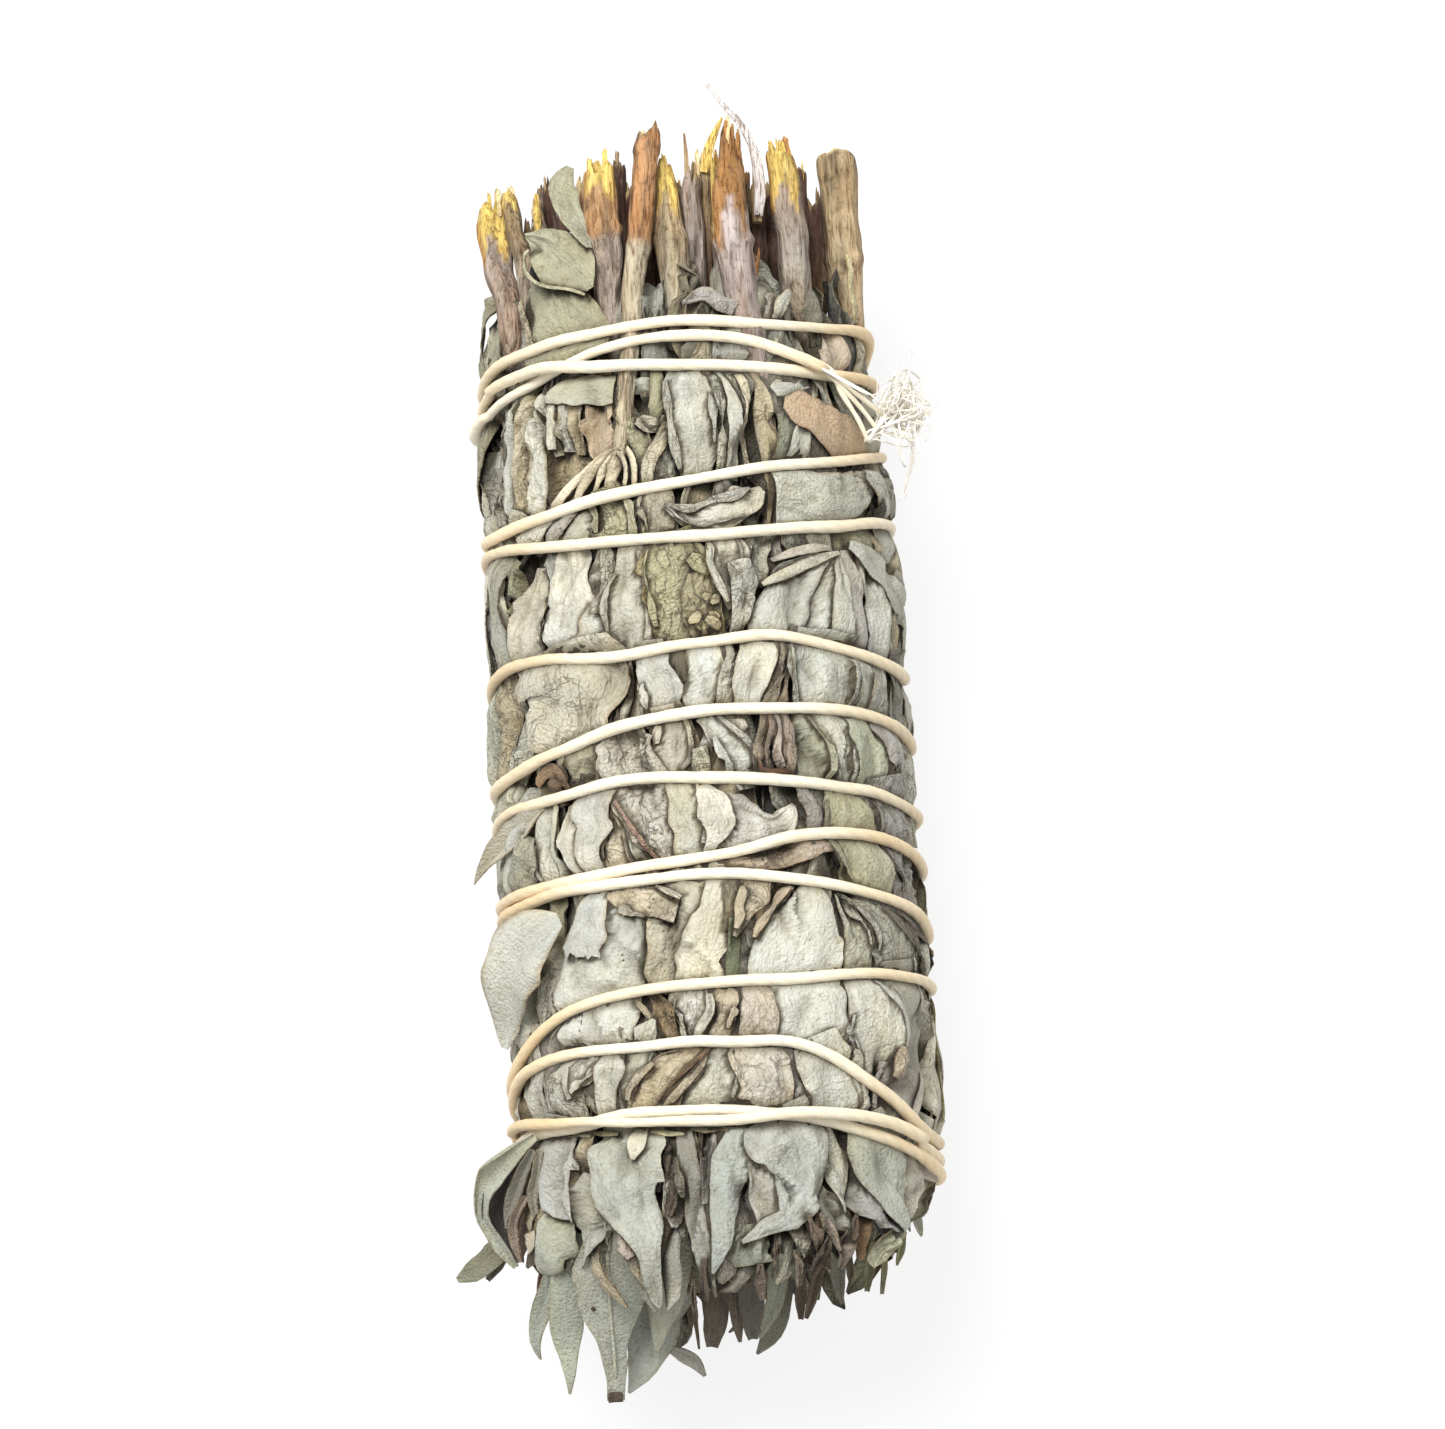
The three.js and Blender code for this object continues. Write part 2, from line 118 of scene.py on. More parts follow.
def pixel(px, py, off=-0.6):
    """(q, y) on the bunch, off from its outer surface, under a pixel of the photograph."""
    d = cam_f + cam_r * ((px - CX) / FOC) - cam_u * ((py - CY) / FOC)
    y = 0.0
    for _ in range(10):
        t = float(tuft(y))
        a, b = np.interp(y, HW[:, 0], HW[:, 1]) * t + off, np.interp(y, HH[:, 0], HH[:, 1]) * t + off
        cz = AXIS_Z + (-0.10 * (-40 - y) if y < -40 else 0)
        ox, oz, dx, dz = cam_c[0] / a, (cam_c[2] - cz) / b, d[0] / a, d[2] / b
        qa, qb, qc = dx * dx + dz * dz, ox * dx + oz * dz, ox * ox + oz * oz - 1
        disc = qb * qb - qa * qc
        k = (-qb - math.sqrt(disc)) / qa if disc > 0 else -qb / qa
        p = cam_c + d * k
        y = 0.5 * y + 0.5 * p[1]
    return float(q_of(math.atan2((p[2] - cz) / b, p[0] / a) / RAD)), float(y)


# ------------------------------------------------------------------ small maths
def noise1(n, step, rng, amp=1.0):
    """n smooth random values, with a new one every step."""
    k = max(3, int(n / step) + 3)
    v = rng.normal(0, 1, k)
    x = np.linspace(0, k - 1.001, n)
    i = np.minimum(x.astype(int), k - 2)
    f = sstep(x - i)
    return amp * (v[i] * (1 - f) + v[i + 1] * f)


_perm = np.random.default_rng(5).random((64, 64, 64))


def kinks(n, step, rng, amp):
    """Like noise1, but with straight runs and corners between the values."""
    k = max(3, int(n / step) + 3)
    v = rng.normal(0, 1, k)
    return amp * np.interp(np.linspace(0, k - 1.001, n), np.arange(k) + rng.uniform(-0.3, 0.3, k), v)


def folds(x, y, w, L, rng):
    """Heights in mm of a few straight sharp folds across and along a dried leaf."""
    out = 0
    for _ in range(int(np.clip(4 + w * L / 5, 5, 18))):
        a = rng.normal(0, 0.38) if rng.random() < 0.72 else rng.uniform(0.6, 2.5)
        d = x * math.cos(a) + y * math.sin(a) - rng.uniform(-0.8, 0.8) * w * abs(math.cos(a)) - rng.uniform(0.05, 0.95) * L * math.sin(a)
        r = 0.22 + 1.0 * rng.random() ** 1.7
        d = d + 0.18 * np.sin(y * 1.1 + rng.random() * 6)
        out = out + rng.choice([-1, 1]) * rng.uniform(0.12, 0.36) * r * (np.exp(-np.abs(d) / r) - 0.4) * sstep(0.5 + 1.4 * np.sin((y * math.cos(a) - x * math.sin(a)) * rng.uniform(0.12, 0.45) + rng.random() * 6))
    return out


def noise3(p, scale, shift=0.0):
    """Smooth noise from -1 to 1 at points p (..., 3)."""
    g = np.asarray(p) * scale + shift
    i = np.floor(g).astype(int)
    f = g - i
    f = f * f * (3 - 2 * f)
    out = 0
    for a in (0, 1):
        for b in (0, 1):
            for c in (0, 1):
                w = np.abs(1 - a - f[..., 0]) * np.abs(1 - b - f[..., 1]) * np.abs(1 - c - f[..., 2])
                out = out + w * _perm[(i[..., 0] + a) % 64, (i[..., 1] + b) % 64, (i[..., 2] + c) % 64]
    return out * 2 - 1


def spline(pts, n):
    """n points evenly spaced on a Catmull-Rom curve through pts (k, d)."""
    p = np.asarray(pts, float)
    if len(p) == 2:
        p = np.array([p[0], (p[0] + p[1]) / 2, p[1]])
    e = np.vstack([2 * p[0] - p[1], p, 2 * p[-1] - p[-2]])
    out = []
    for i in range(1, len(e) - 2):
        t = np.linspace(0, 1, 16, endpoint=False)[:, None]
        a, b, c, d = e[i - 1], e[i], e[i + 1], e[i + 2]
        out.append(0.5 * (2 * b + (c - a) * t + (2 * a - 5 * b + 4 * c - d) * t ** 2 + (3 * b - a - 3 * c + d) * t ** 3))
    out = np.vstack(out + [e[-2][None]])
    L = np.concatenate([[0], np.cumsum(np.linalg.norm(np.diff(out[:, :2], axis=0), axis=1))])
    s = np.linspace(0, L[-1], n)
    return np.stack([np.interp(s, L, out[:, k]) for k in range(out.shape[1])], 1), L[-1]


# ------------------------------------------------------------------ twine route
_flat = np.array(TWINE_Y if not isinstance(TWINE_Y[0], list) else sum(TWINE_Y, []))


def twine_y(phi):
    f = np.clip(np.asarray(phi, float) / 22.5, 0, len(_flat) - 1.0001)
    i = f.astype(int)
    t = f - i
    g = lambda k: _flat[np.clip(k, 0, len(_flat) - 1)]
    a, b, c, d = g(i - 1), g(i), g(i + 1), g(i + 2)
    return 0.5 * (2 * b + (c - a) * t + (2 * a - 5 * b + 4 * c - d) * t * t + (3 * b - a - 3 * c + d) * t ** 3)


def twine_lift(phi):
    phi = np.asarray(phi, float)
    turn = np.floor(phi / 360).astype(int)
    deg = phi - turn * 360
    out = np.zeros_like(phi)
    for up, low, d0, d1 in CROSSINGS:
        on = (turn == up) & (deg >= d0) & (deg <= d1)
        gap = twine_y(phi) - twine_y(low * 360 + deg)
        out = np.maximum(out, np.where(on, LIFT * np.exp(-(gap / 1.35) ** 2), 0))
    return out


def twine_gap(deg, y):
    """Distance in mm along the surface from (deg, y) to the nearest turn of twine."""
    d = np.mod(np.asarray(deg, float), 360)
    best = np.full(np.shape(d), 99.0)
    for k in range(14):
        phi = k * 360 + d
        ty = twine_y(phi)
        slope = (twine_y(phi + 4) - twine_y(phi - 4)) / (8 * RAD * 16.3)
        g = np.abs(y - ty) / np.sqrt(1 + slope ** 2)
        g = np.where((phi < TWINE_START) | (phi > TWINE_END), 99.0, g)
        best = np.minimum(best, g)
    return best


def twine_side(deg, y):
    """Signed distance in mm from (deg, y) to the nearest turn of twine: above 0 on the stem side of it."""
    d = np.mod(np.asarray(deg, float), 360)
    best = np.full(np.shape(d), 99.0)
    for k in range(14):
        phi = k * 360 + d
        g = np.where((phi < TWINE_START) | (phi > TWINE_END), 99.0, y - twine_y(phi))
        best = np.where(np.abs(g) < np.abs(best), g, best)
    return best


def press(deg, y, off):
    """A height off the outer surface, pressed down under the twine. It keeps the order of the layers."""
    d = twine_gap(deg, y)
    side = sstep((np.abs(np.cos(np.asarray(deg, float) * RAD)) - 0.72) / 0.25)
    cap = -1.12 + (0.22 - 0.12 * side) * sstep((d - 0.35) / 1.1) + (0.10 - 0.07 * side) * np.maximum(0, np.minimum(d, 9) - 2.6)
    k = 0.16 + (0.34 - 0.10 * side) * sstep((d - 0.3) / 2.2)
    x = np.maximum(off - cap, 0)
    return np.where(off > cap, cap + k * np.log1p(x / k), off)


def place(q, y, off, pressed=True):
    deg = deg_of(q)
    if pressed:
        off = press(deg, y, off)
    p = surf(deg, y, off)
    # what lies underneath is flat on the surface the bunch lies on
    p[..., 2] = np.maximum(p[..., 2], 0.03 + 0.02 * np.clip(off, 0, 1))
    return p


# ------------------------------------------------------------------ the heap of leaves: how high it stands at each place
NQ, NY, Y0, DY = 460, 560, -58.0, 0.2
HEAP = np.full((NQ, NY), -3.0) + 1.3 * sstep((-37 - (Y0 + (np.arange(NY) + 0.5) * DY)) / 7)[None, :]


TOP = np.full((NQ, NY), -1)  # which leaf lies on top
LEAF_NO = [0]
PMID = np.full((NQ, NY), -9.0)  # the pressed height of the middle of the topmost leaf


def heap_at(q, y, H=None, top=False):
    H = HEAP if H is None else H
    i = np.mod((q / Q_TURN) * NQ, NQ)
    j = np.clip((y - Y0) / DY, 0, NY - 1.001)
    i0, j0 = np.floor(i).astype(int) % NQ, np.floor(j).astype(int)
    fi, fj = i - np.floor(i), j - j0
    i1 = (i0 + 1) % NQ
    if top:
        return np.maximum(np.maximum(H[i0, j0], H[i1, j0]), np.maximum(H[i0, j0 + 1], H[i1, j0 + 1]))
    return H[i0, j0] * (1 - fi) * (1 - fj) + H[i1, j0] * fi * (1 - fj) + H[i0, j0 + 1] * (1 - fi) * fj + H[i1, j0 + 1] * fi * fj


def heap_add(q, y, off, mid):
    """Raises the heap under a grid of points (rows, cols)."""
    for _ in range(2):  # finer rows and columns
        q, y, off, mid = _double(q), _double(y), _double(off), _double(mid)
    i = np.floor(np.mod((q / Q_TURN) * NQ, NQ)).astype(int) % NQ
    j = np.clip(((y - Y0) / DY).astype(int), 0, NY - 1)
    np.maximum.at(HEAP, (i, j), off)
    np.maximum.at(PMID, (i, j), mid)
    top = off >= HEAP[i, j] - 1e-6
    TOP[i[top], j[top]] = LEAF_NO[0]


def tip_limit(q):
    """The furthest a tip may stand out (y in mm), by where it is across the bunch."""
    x = 17 * np.cos(deg_of(np.asarray(q, float)) * RAD)
    return np.interp(x, [-17.6, -16, -13, -9, -4, 0, 4, 8, 11, 14, 15.5, 17.5], [-38, -40, -43.5, -45, -45, -44.5, -44, -42.5, -41, -40, -38, -35])


def stem_limit(q):
    """How far up leaves lie between the stems (y in mm)."""
    return 35.6 + 1.3 * math.sin(float(q) * 1.7) + 0.6 * math.sin(float(q) * 4.1)


def _double(a):
    b = np.empty((a.shape[0] * 2 - 1, a.shape[1]))
    b[::2] = a
    b[1::2] = (a[:-1] + a[1:]) / 2
    c = np.empty((b.shape[0], a.shape[1] * 2 - 1))
    c[:, ::2] = b
    c[:, 1::2] = (b[:, :-1] + b[:, 1:]) / 2
    return c


# ------------------------------------------------------------------ meshes gathered into pieces
class Piece:
    def __init__(self, name):
        self.name, self.v, self.f, self.uv, self.mm, self.col, self.n = name, [], [], [], [], [], 0
        self.spots = []

    def add(self, v, f, uv, mm, col, spot=None):
        if spot is not None:  # (q, y, height) of each point, for the shade in the gaps
            self.spots.append((self.n, *spot))
        self.v.append(np.asarray(v, float))
        self.f += [tuple(int(k) + self.n for k in t) for t in f]
        self.uv.append(np.asarray(uv, float))
        self.mm.append(np.asarray(mm, float))
        c = np.asarray(col, float)
        if c.ndim == 1:
            c = np.tile(c, (len(v), 1))
        if c.shape[1] == 3:
            c = np.concatenate([c, np.ones((len(c), 1))], 1)
        self.col.append(c)
        self.n += len(v)

    def build(self, material, slot, nodes, sharp=55):
        v = np.concatenate(self.v)
        v = (v - np.array([ORIGIN[0], ORIGIN[1], 0])) * 0.001
        me = bpy.data.meshes.new(self.name)
        me.from_pydata(v.tolist(), [], self.f)
        loops = np.empty(len(me.loops), dtype=np.int32)
        me.loops.foreach_get("vertex_index", loops)
        for name, data in (("uv", np.concatenate(self.uv)), ("mm", np.concatenate(self.mm))):
            layer = me.uv_layers.new(name=name)
            layer.data.foreach_set("uv", data[loops].astype(np.float32).ravel())
        col = np.concatenate(self.col)
        for at, q, y, h, no in self.spots:
            col[at:at + len(q), :3] *= shade(q, y, h, no)
        if self.name.startswith("sprig_foliage"):  # light reaches the tips of the inner leaves
            yy = np.concatenate(self.v)[:, 1]
            col[:, :3] *= (0.62 + 1.30 * sstep((-35.0 - yy) / 7.0))[:, None]
        at = me.color_attributes.new(name="tint", type="FLOAT_COLOR", domain="POINT")
        at.data.foreach_set("color", col.astype(np.float32).ravel())
        me.polygons.foreach_set("use_smooth", [True] * len(me.polygons))
        me.update()
        if sharp:
            me.set_sharp_from_angle(angle=sharp * RAD)
        ob = bpy.data.objects.new(self.name, me)
        bpy.context.scene.collection.objects.link(ob)
        me.materials.append(material)
        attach(ob, "root")
        if nodes:
            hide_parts(*nodes)
        return ob


_pressed = None


def shade(q, y, h, no):
    """Painted shade in the gaps: how much of the sky is hidden from a point by the leaves round it, and a painted dark
    line where another leaf lies over this one.
    """
    global _pressed
    if _pressed is None:
        qq = (np.arange(NQ) + 0.5) / NQ * Q_TURN
        yy = Y0 + (np.arange(NY) + 0.5) * DY
        Q2, Y2 = np.meshgrid(qq, yy, indexing="ij")
        _pressed = np.where(TOP >= 0, PMID + LEAF_T / 2, press(deg_of((Q2 + Q_TURN / 2) % Q_TURN - Q_TURN / 2), Y2, HEAP))
    near, far, line = np.zeros(len(q)), np.zeros(len(q)), np.zeros(len(q))
    for k in range(8):
        g = k * math.pi / 4 + 0.3
        above = 0.66 + 0.40 * math.sin(g)  # the light comes a little from the stem end
        for r in (0.18, 0.60, 1.3, 2.6):
            i = np.floor(np.mod(((q + r * math.cos(g)) / Q_TURN) * NQ, NQ)).astype(int) % NQ
            j = np.clip((y + r * math.sin(g) - Y0) / DY, 0, NY - 1).astype(int)
            b = np.maximum(0, (_pressed[i, j] - h) * np.where(TOP[i, j] == no, 0.4, 1.9) - 0.06) / r
            b = b / np.sqrt(1 + b * b)
            if r < 1:
                near = near + b * above * (1.95 if r < 0.5 else 0.30) / 16
                line = np.maximum(line, ((TOP[i, j] > no) & (_pressed[i, j] > h - 0.10)) * (above if r < 0.5 else 0.05))
            else:
                far = far + b / 16
    f = (1 - NEAR * np.clip(near / 0.50, 0, 1) ** 1.1) * (1 - FAR * np.clip(far / 0.6, 0, 1)) * (1 - LINE * line)
    g = twine_side(deg_of(q), y)  # the twine's own shade, stronger on the tuft side of it
    f = f * (1 - np.where(g < 0, 0.56, 0.34) * (1 - sstep((np.abs(g) - 0.50) / np.where(g < 0, 0.65, 0.45))) * sstep((h + 2.4) / 0.8))
    f = np.maximum(f, 0.05)
    return np.stack([f, f ** 1.07, f ** 1.20], -1)


NEAR, FAR, LINE = 0.48, 0.26, 0.72


def lin(rgb):
    c = np.asarray(rgb, float) / 255
    return np.where(c <= 0.04045, c / 12.92, ((c + 0.055) / 1.055) ** 2.4)


def grid_solid(top, bot):
    """Closed body between two grids of points (rows, cols, 3). Returns vertices, faces."""
    r, c = top.shape[:2]
    v = np.concatenate([top.reshape(-1, 3), bot.reshape(-1, 3)])
    n = r * c
    f = []
    i, j = np.meshgrid(np.arange(r - 1), np.arange(c - 1), indexing="ij")
    a = (i * c + j).ravel(); b = a + 1; d = a + c; e = d + 1
    f += list(zip(a, b, e, d))
    f += list(zip(a + n, d + n, e + n, b + n))
    k = np.arange(r - 1)
    l0 = k * c; l1 = l0 + c
    f += list(zip(l0, l1, l1 + n, l0 + n))
    r0 = k * c + c - 1; r1 = r0 + c
    f += list(zip(r0, r0 + n, r1 + n, r1))
    k = np.arange(c - 1)
    f += list(zip(k, k + n, k + 1 + n, k + 1))
    m = (r - 1) * c + k
    f += list(zip(m, m + 1, m + 1 + n, m + n))
    return v, f


def normals(p):
    du = np.gradient(p, axis=1)
    dv = np.gradient(p, axis=0)
    n = np.cross(du, dv)
    return n / np.maximum(np.linalg.norm(n, axis=-1, keepdims=True), 1e-9)


# ------------------------------------------------------------------ one leaf
LEAF_T = 0.18
NU = 13
PALETTE = {
    "g": [(203, 202, 184), (209, 207, 191), (196, 196, 178), (206, 206, 192)],
    "w": [(217, 214, 197), (222, 219, 203), (212, 210, 193)],
    "o": [(195, 191, 160), (201, 197, 165), (187, 184, 152)],
    "t": [(207, 195, 165), (200, 188, 158), (211, 201, 174)],
    "p": [(205, 188, 166), (199, 183, 162)],
    "l": [(188, 183, 174), (180, 175, 166), (196, 192, 183)],
    "b": [(165, 140, 112), (150, 124, 96)],
    "d": [(132, 124, 103), (118, 109, 90)],
}


def across(nu):
    t = np.linspace(-1, 1, nu)
    return np.sign(t) * np.abs(t) ** 0.85


U = across(NU)


def smax(a, b, k):
    """The larger of two heights, with the corner rounded."""
    h = np.clip(0.5 + 0.5 * (a - b) / k, 0, 1)
    return a * h + b * (1 - h) + k * h * (1 - h)


def leaf(piece, pts, colour="g", fold=0.0, cup=0.15, rl=0.0, rr=0.0, twist=(0, 0), rise=0.0, ripple=0.12, rng=RNG, end_rise=(0, 0), heap=True, tint=None, pressed=True, stiff=5, thick=LEAF_T, dark=1.0, clear=0.05, vein=None, step=0.5, nu=NU, sink=0.75, crease=(), fit=False, over=0.05, crumple=1.0, ragged=0.10, relief=1.0, lines=(), torn=0.0):
    """A dried leaf laid on the heap. pts: (q, y, half width) in mm from its stalk to its tip.
    fold, cup: angles of the two halves at the midrib and on to the margin. rl, rr: roll of each margin, up if above 0."""
    L = sum(math.dist(pts[i][:2], pts[i + 1][:2]) for i in range(len(pts) - 1))
    nv = int(np.clip(L / step, 10, 64))
    c, L = spline(pts, nv)
    t = np.linspace(0, 1, nv)[:, None]
    W = np.maximum(c[:, 2:3], 0.10)
    tan = np.gradient(c[:, :2], axis=0)
    tan /= np.maximum(np.linalg.norm(tan, axis=1, keepdims=True), 1e-9)
    nor = np.stack([-tan[:, 1], tan[:, 0]], 1)
    c[:, :2] += nor * (noise1(nv, 3.2 * nv / max(L, 1e-6), rng, 0.11)[:, None] * np.minimum(1, W))
    UU = across(nu)
    u = np.tile(UU, (nv, 1))
    per = nv / max(L, 1e-6)      # rows to a mm
    # the margin is finely scalloped and never quite even
    Wl = W * (1 + 0.03 * np.sin(t * L / 0.55 + rng.random() * 6))
    Wl = [Wl * np.clip(1 + noise1(nv, 1.9 * per, rng, 0.05)[:, None] + kinks(nv, 1.5 * per, rng, ragged)[:, None], 0.55, 1.45) for _ in (0, 1)]
    if W.max() > 1.1 and ragged > 0:  # a tear or a notch in the margin
        for _ in range(rng.integers(0, 3)):
            t0, w0 = rng.uniform(0.12, 0.9), rng.uniform(0.35, 0.9) / L
            Wl[rng.integers(2)] *= 1 - rng.uniform(0.15, 0.42) * np.clip(1 - np.abs(t - t0) / w0, 0, 1)
    fo = fold * (1 + noise1(nv, 3.0 * per, rng, 0.40)[:, None])
    cu = cup + noise1(nv, 4.5 * per, rng, 0.14)[:, None]
    nl, nr = rl * (1 + noise1(nv, 3.5 * per, rng, 0.35)[:, None]), rr * (1 + noise1(nv, 3.5 * per, rng, 0.35)[:, None])
    x, z = section_grid(nv, Wl, fo, cu, nl, nr, UU)
    if fit:  # the width given is the width seen, whatever the fold
        k = np.clip(W / np.maximum((x.max(1, keepdims=True) - x.min(1, keepdims=True)) / 2, 0.05), 1.0, 1.9)
        x, z = x * k, z * k
    au = np.abs(u)
    # wavy margin
    ph = rng.random() * 9
    z += ripple * W ** 0.5 * au ** 2 * np.where(u > 0, np.sin(t * L / (0.9 + 0.7 * rng.random()) + ph), np.sin(t * L / (1.0 + 0.7 * rng.random()) + ph * 2))
    # lengthwise creases: (u, depth), a valley if depth is below 0
    for cu_, dp in crease:
        w = 0.10 + 0.05 * rng.random()
        z += dp * np.exp(-np.abs(u - cu_ - noise1(nv, 3 * per, rng, 0.06)[:, None]) / w)
    tw = (twist[0] + (twist[1] - twist[0]) * t) + noise1(nv, 5 * per, rng, 0.06)[:, None]
    x, z = x * np.cos(tw) - z * np.sin(tw), x * np.sin(tw) + z * np.cos(tw)
    q, y = c[:, 0:1] + nor[:, 0:1] * x, c[:, 1:2] + nor[:, 1:2] * x
    if torn:  # a torn end
        sh_ = torn * kinks(nu, 1.4, rng, 1.0)[None, :] * sstep((t - 1 + 3.5 / max(L, 3.5)) / (3.5 / max(L, 3.5)))
        q, y = q + tan[:, 0:1] * sh_, y + tan[:, 1:2] * sh_
    z = z - sink * z.min(axis=1, keepdims=True)
    # it rests on what is under it, and is too stiff to follow every bump
    LEAF_NO[0] += 1
    base = heap_at(q, y)
    b = base.copy()
    for _ in range(stiff):
        m = np.pad(b, 1, mode="edge")
        m = (m[:-2, 1:-1] + m[2:, 1:-1] + m[1:-1, :-2] + m[1:-1, 2:] + 2 * m[1:-1, 1:-1]) / 6
        b = np.maximum(m, base - 0.25)
    er = end_rise[0] * (1 - t) ** 3 + end_rise[1] * t ** 3
    off = b + clear + thick / 2 + z + rise + er
    # surface wrinkles: fine puckers and a few longer pinched lines
    pos = surf(deg_of(q), y, off)
    wr = noise3(np.stack([q * 0.9, y * 0.35, np.full_like(q, rng.random() * 20)], -1), 1.0)
    off = off + 0.10 * (1 - np.abs(wr)) ** 3 + 0.06 * noise3(pos, 0.9, rng.random() * 20) + 0.035 * noise3(pos, 2.1, rng.random() * 20)
    # dried and crumpled: sharp valleys and ridges that run mostly along the leaf
    a1 = noise3(np.stack([u * W * 0.42 + rng.random() * 30, t * L * 0.20 + 0 * u, np.full_like(u, rng.random() * 30)], -1), 1.0)
    a2 = noise3(np.stack([u * W * 0.60 + rng.random() * 30, t * L * 0.42 + 0 * u, np.full_like(u, rng.random() * 30)], -1), 1.0)
    a3 = noise3(np.stack([u * W * 1.10 + rng.random() * 30, t * L * 0.95 + 0 * u, np.full_like(u, rng.random() * 30)], -1), 1.0)
    off = off + crumple * np.minimum(1, W / 1.3) * (0.10 * (np.abs(a1) ** 0.8 - 0.35) - 0.10 * (np.abs(a2) ** 0.8 - 0.35) + 0.09 * (np.abs(a3) ** 0.9 - 0.3))
    off = smax(off, base + over, 0.10)
    # pressed under the twine; then its sharp folds, which stay sharp between the turns
    deg = deg_of(q)
    pm = press(deg, y, off)
    fr = folds(u * W, t * L + 0 * u, float(W.max()), L, rng) * relief * np.minimum(1, W / 1.2) * sstep((twine_gap(deg, y) - 0.45) / 1.1)
    for q0_, y0_, q1_, y1_, a_, r_ in lines:  # creases where they are seen: from (q0, y0) to (q1, y1), slope, reach
        vx, vy = q1_ - q0_, y1_ - y0_
        l_ = math.hypot(vx, vy)
        al = ((q - q0_) * vx + (y - y0_) * vy) / l_
        d_ = ((q - q0_) * vy - (y - y0_) * vx) / l_
        fr = fr + a_ * r_ * (np.exp(-np.abs(d_) / r_) - 0.4) * sstep((al + 0.3) / 0.6) * sstep((l_ + 0.3 - al) / 0.6)
    gp = twine_gap(deg, y)
    free = sstep((gp - 0.5) / 0.8)
    pm = smax(pm + fr, heap_at(q, y, PMID) * (1 - free) + heap_at(q, y, PMID, True) * free + 0.015 + 0.075 * free, 0.03)
    pm = np.minimum(pm, -0.85 + 3.0 * np.maximum(0, gp - 0.5))
    if heap:
        heap_add(q, y, off + thick / 2, pm)
    mid_p = surf(deg, y, pm)
    mid_p[..., 2] = np.maximum(mid_p[..., 2], 0.03 + 0.02 * np.clip(pm, 0, 1))
    n = normals(mid_p)
    flip = np.sign(np.einsum("ijk,ijk->", n, mid_p - np.array([0, 0, AXIS_Z]) * 1.0 - np.stack([np.zeros_like(y), y, np.zeros_like(y)], -1)))
    th = thick * (0.45 + 0.55 * np.sqrt(np.clip(1 - au ** 4, 0, 1))) * (0.5 + 0.5 * sstep(np.minimum(t, 1 - t) / 0.05))
    top, bot = mid_p + n * (th / 2)[..., None], mid_p - n * (th / 2)[..., None]
    top[..., 2] = np.maximum(top[..., 2], 0.0); bot[..., 2] = np.maximum(bot[..., 2], 0.0)
    if flip < 0:
        top, bot = bot, top
        v, f = grid_solid(top, bot)
        f = [tuple(reversed(k)) for k in f]
    else:
        v, f = grid_solid(top, bot)
    uu = (u + 1) / 2
    uv = np.stack([uu, np.broadcast_to(t, uu.shape)], -1).reshape(-1, 2)
    sh = rng.random() * 3
    mm = np.stack([u * W * 0.05 + sh, np.broadcast_to(t * L * 0.05, uu.shape) + sh * 1.7], -1).reshape(-1, 2)
    col = leaf_colour(colour, tint, dark, rng, u, t, L, vein)
    # painted shade in the hollows of the leaf's folds, and a little painted light on their crests
    m = np.pad(pm, 2, mode="edge")
    m1 = (m[1:-3, 2:-2] + m[3:-1, 2:-2] + m[2:-2, 1:-3] + m[2:-2, 3:-1]) / 4 - pm
    m2 = (m[:-4, 2:-2] + m[4:, 2:-2] + m[2:-2, :-4] + m[2:-2, 4:]) / 4 - pm
    cav = np.clip((m1 + 0.3 * m2) / 0.10, -1, 1).reshape(-1, 1)
    k = 1 - 0.20 * np.clip(cav, 0, 1) ** 1.5 + 0.04 * np.clip(-cav, 0, 1)
    col[:, :3] = np.clip(col[:, :3] * np.concatenate([k, k ** 1.05, k ** 1.15], 1), 0, 1)
    ph = pm + thick / 2
    # the underside's margin is painted dark: a painted shade line under the leaf's edge
    under = col.reshape(nv, nu, 4).copy()
    for e in (under[:, 0], under[:, -1], under[0], under[-1]):
        e[:, :3] *= 0.42
    piece.add(v, f, np.concatenate([uv, uv]), np.concatenate([mm, mm]), np.concatenate([col, under.reshape(-1, 4)]),
              (np.tile(q.ravel(), 2), np.tile(y.ravel(), 2), np.tile(ph.ravel(), 2), LEAF_NO[0]))
    return q, y, off


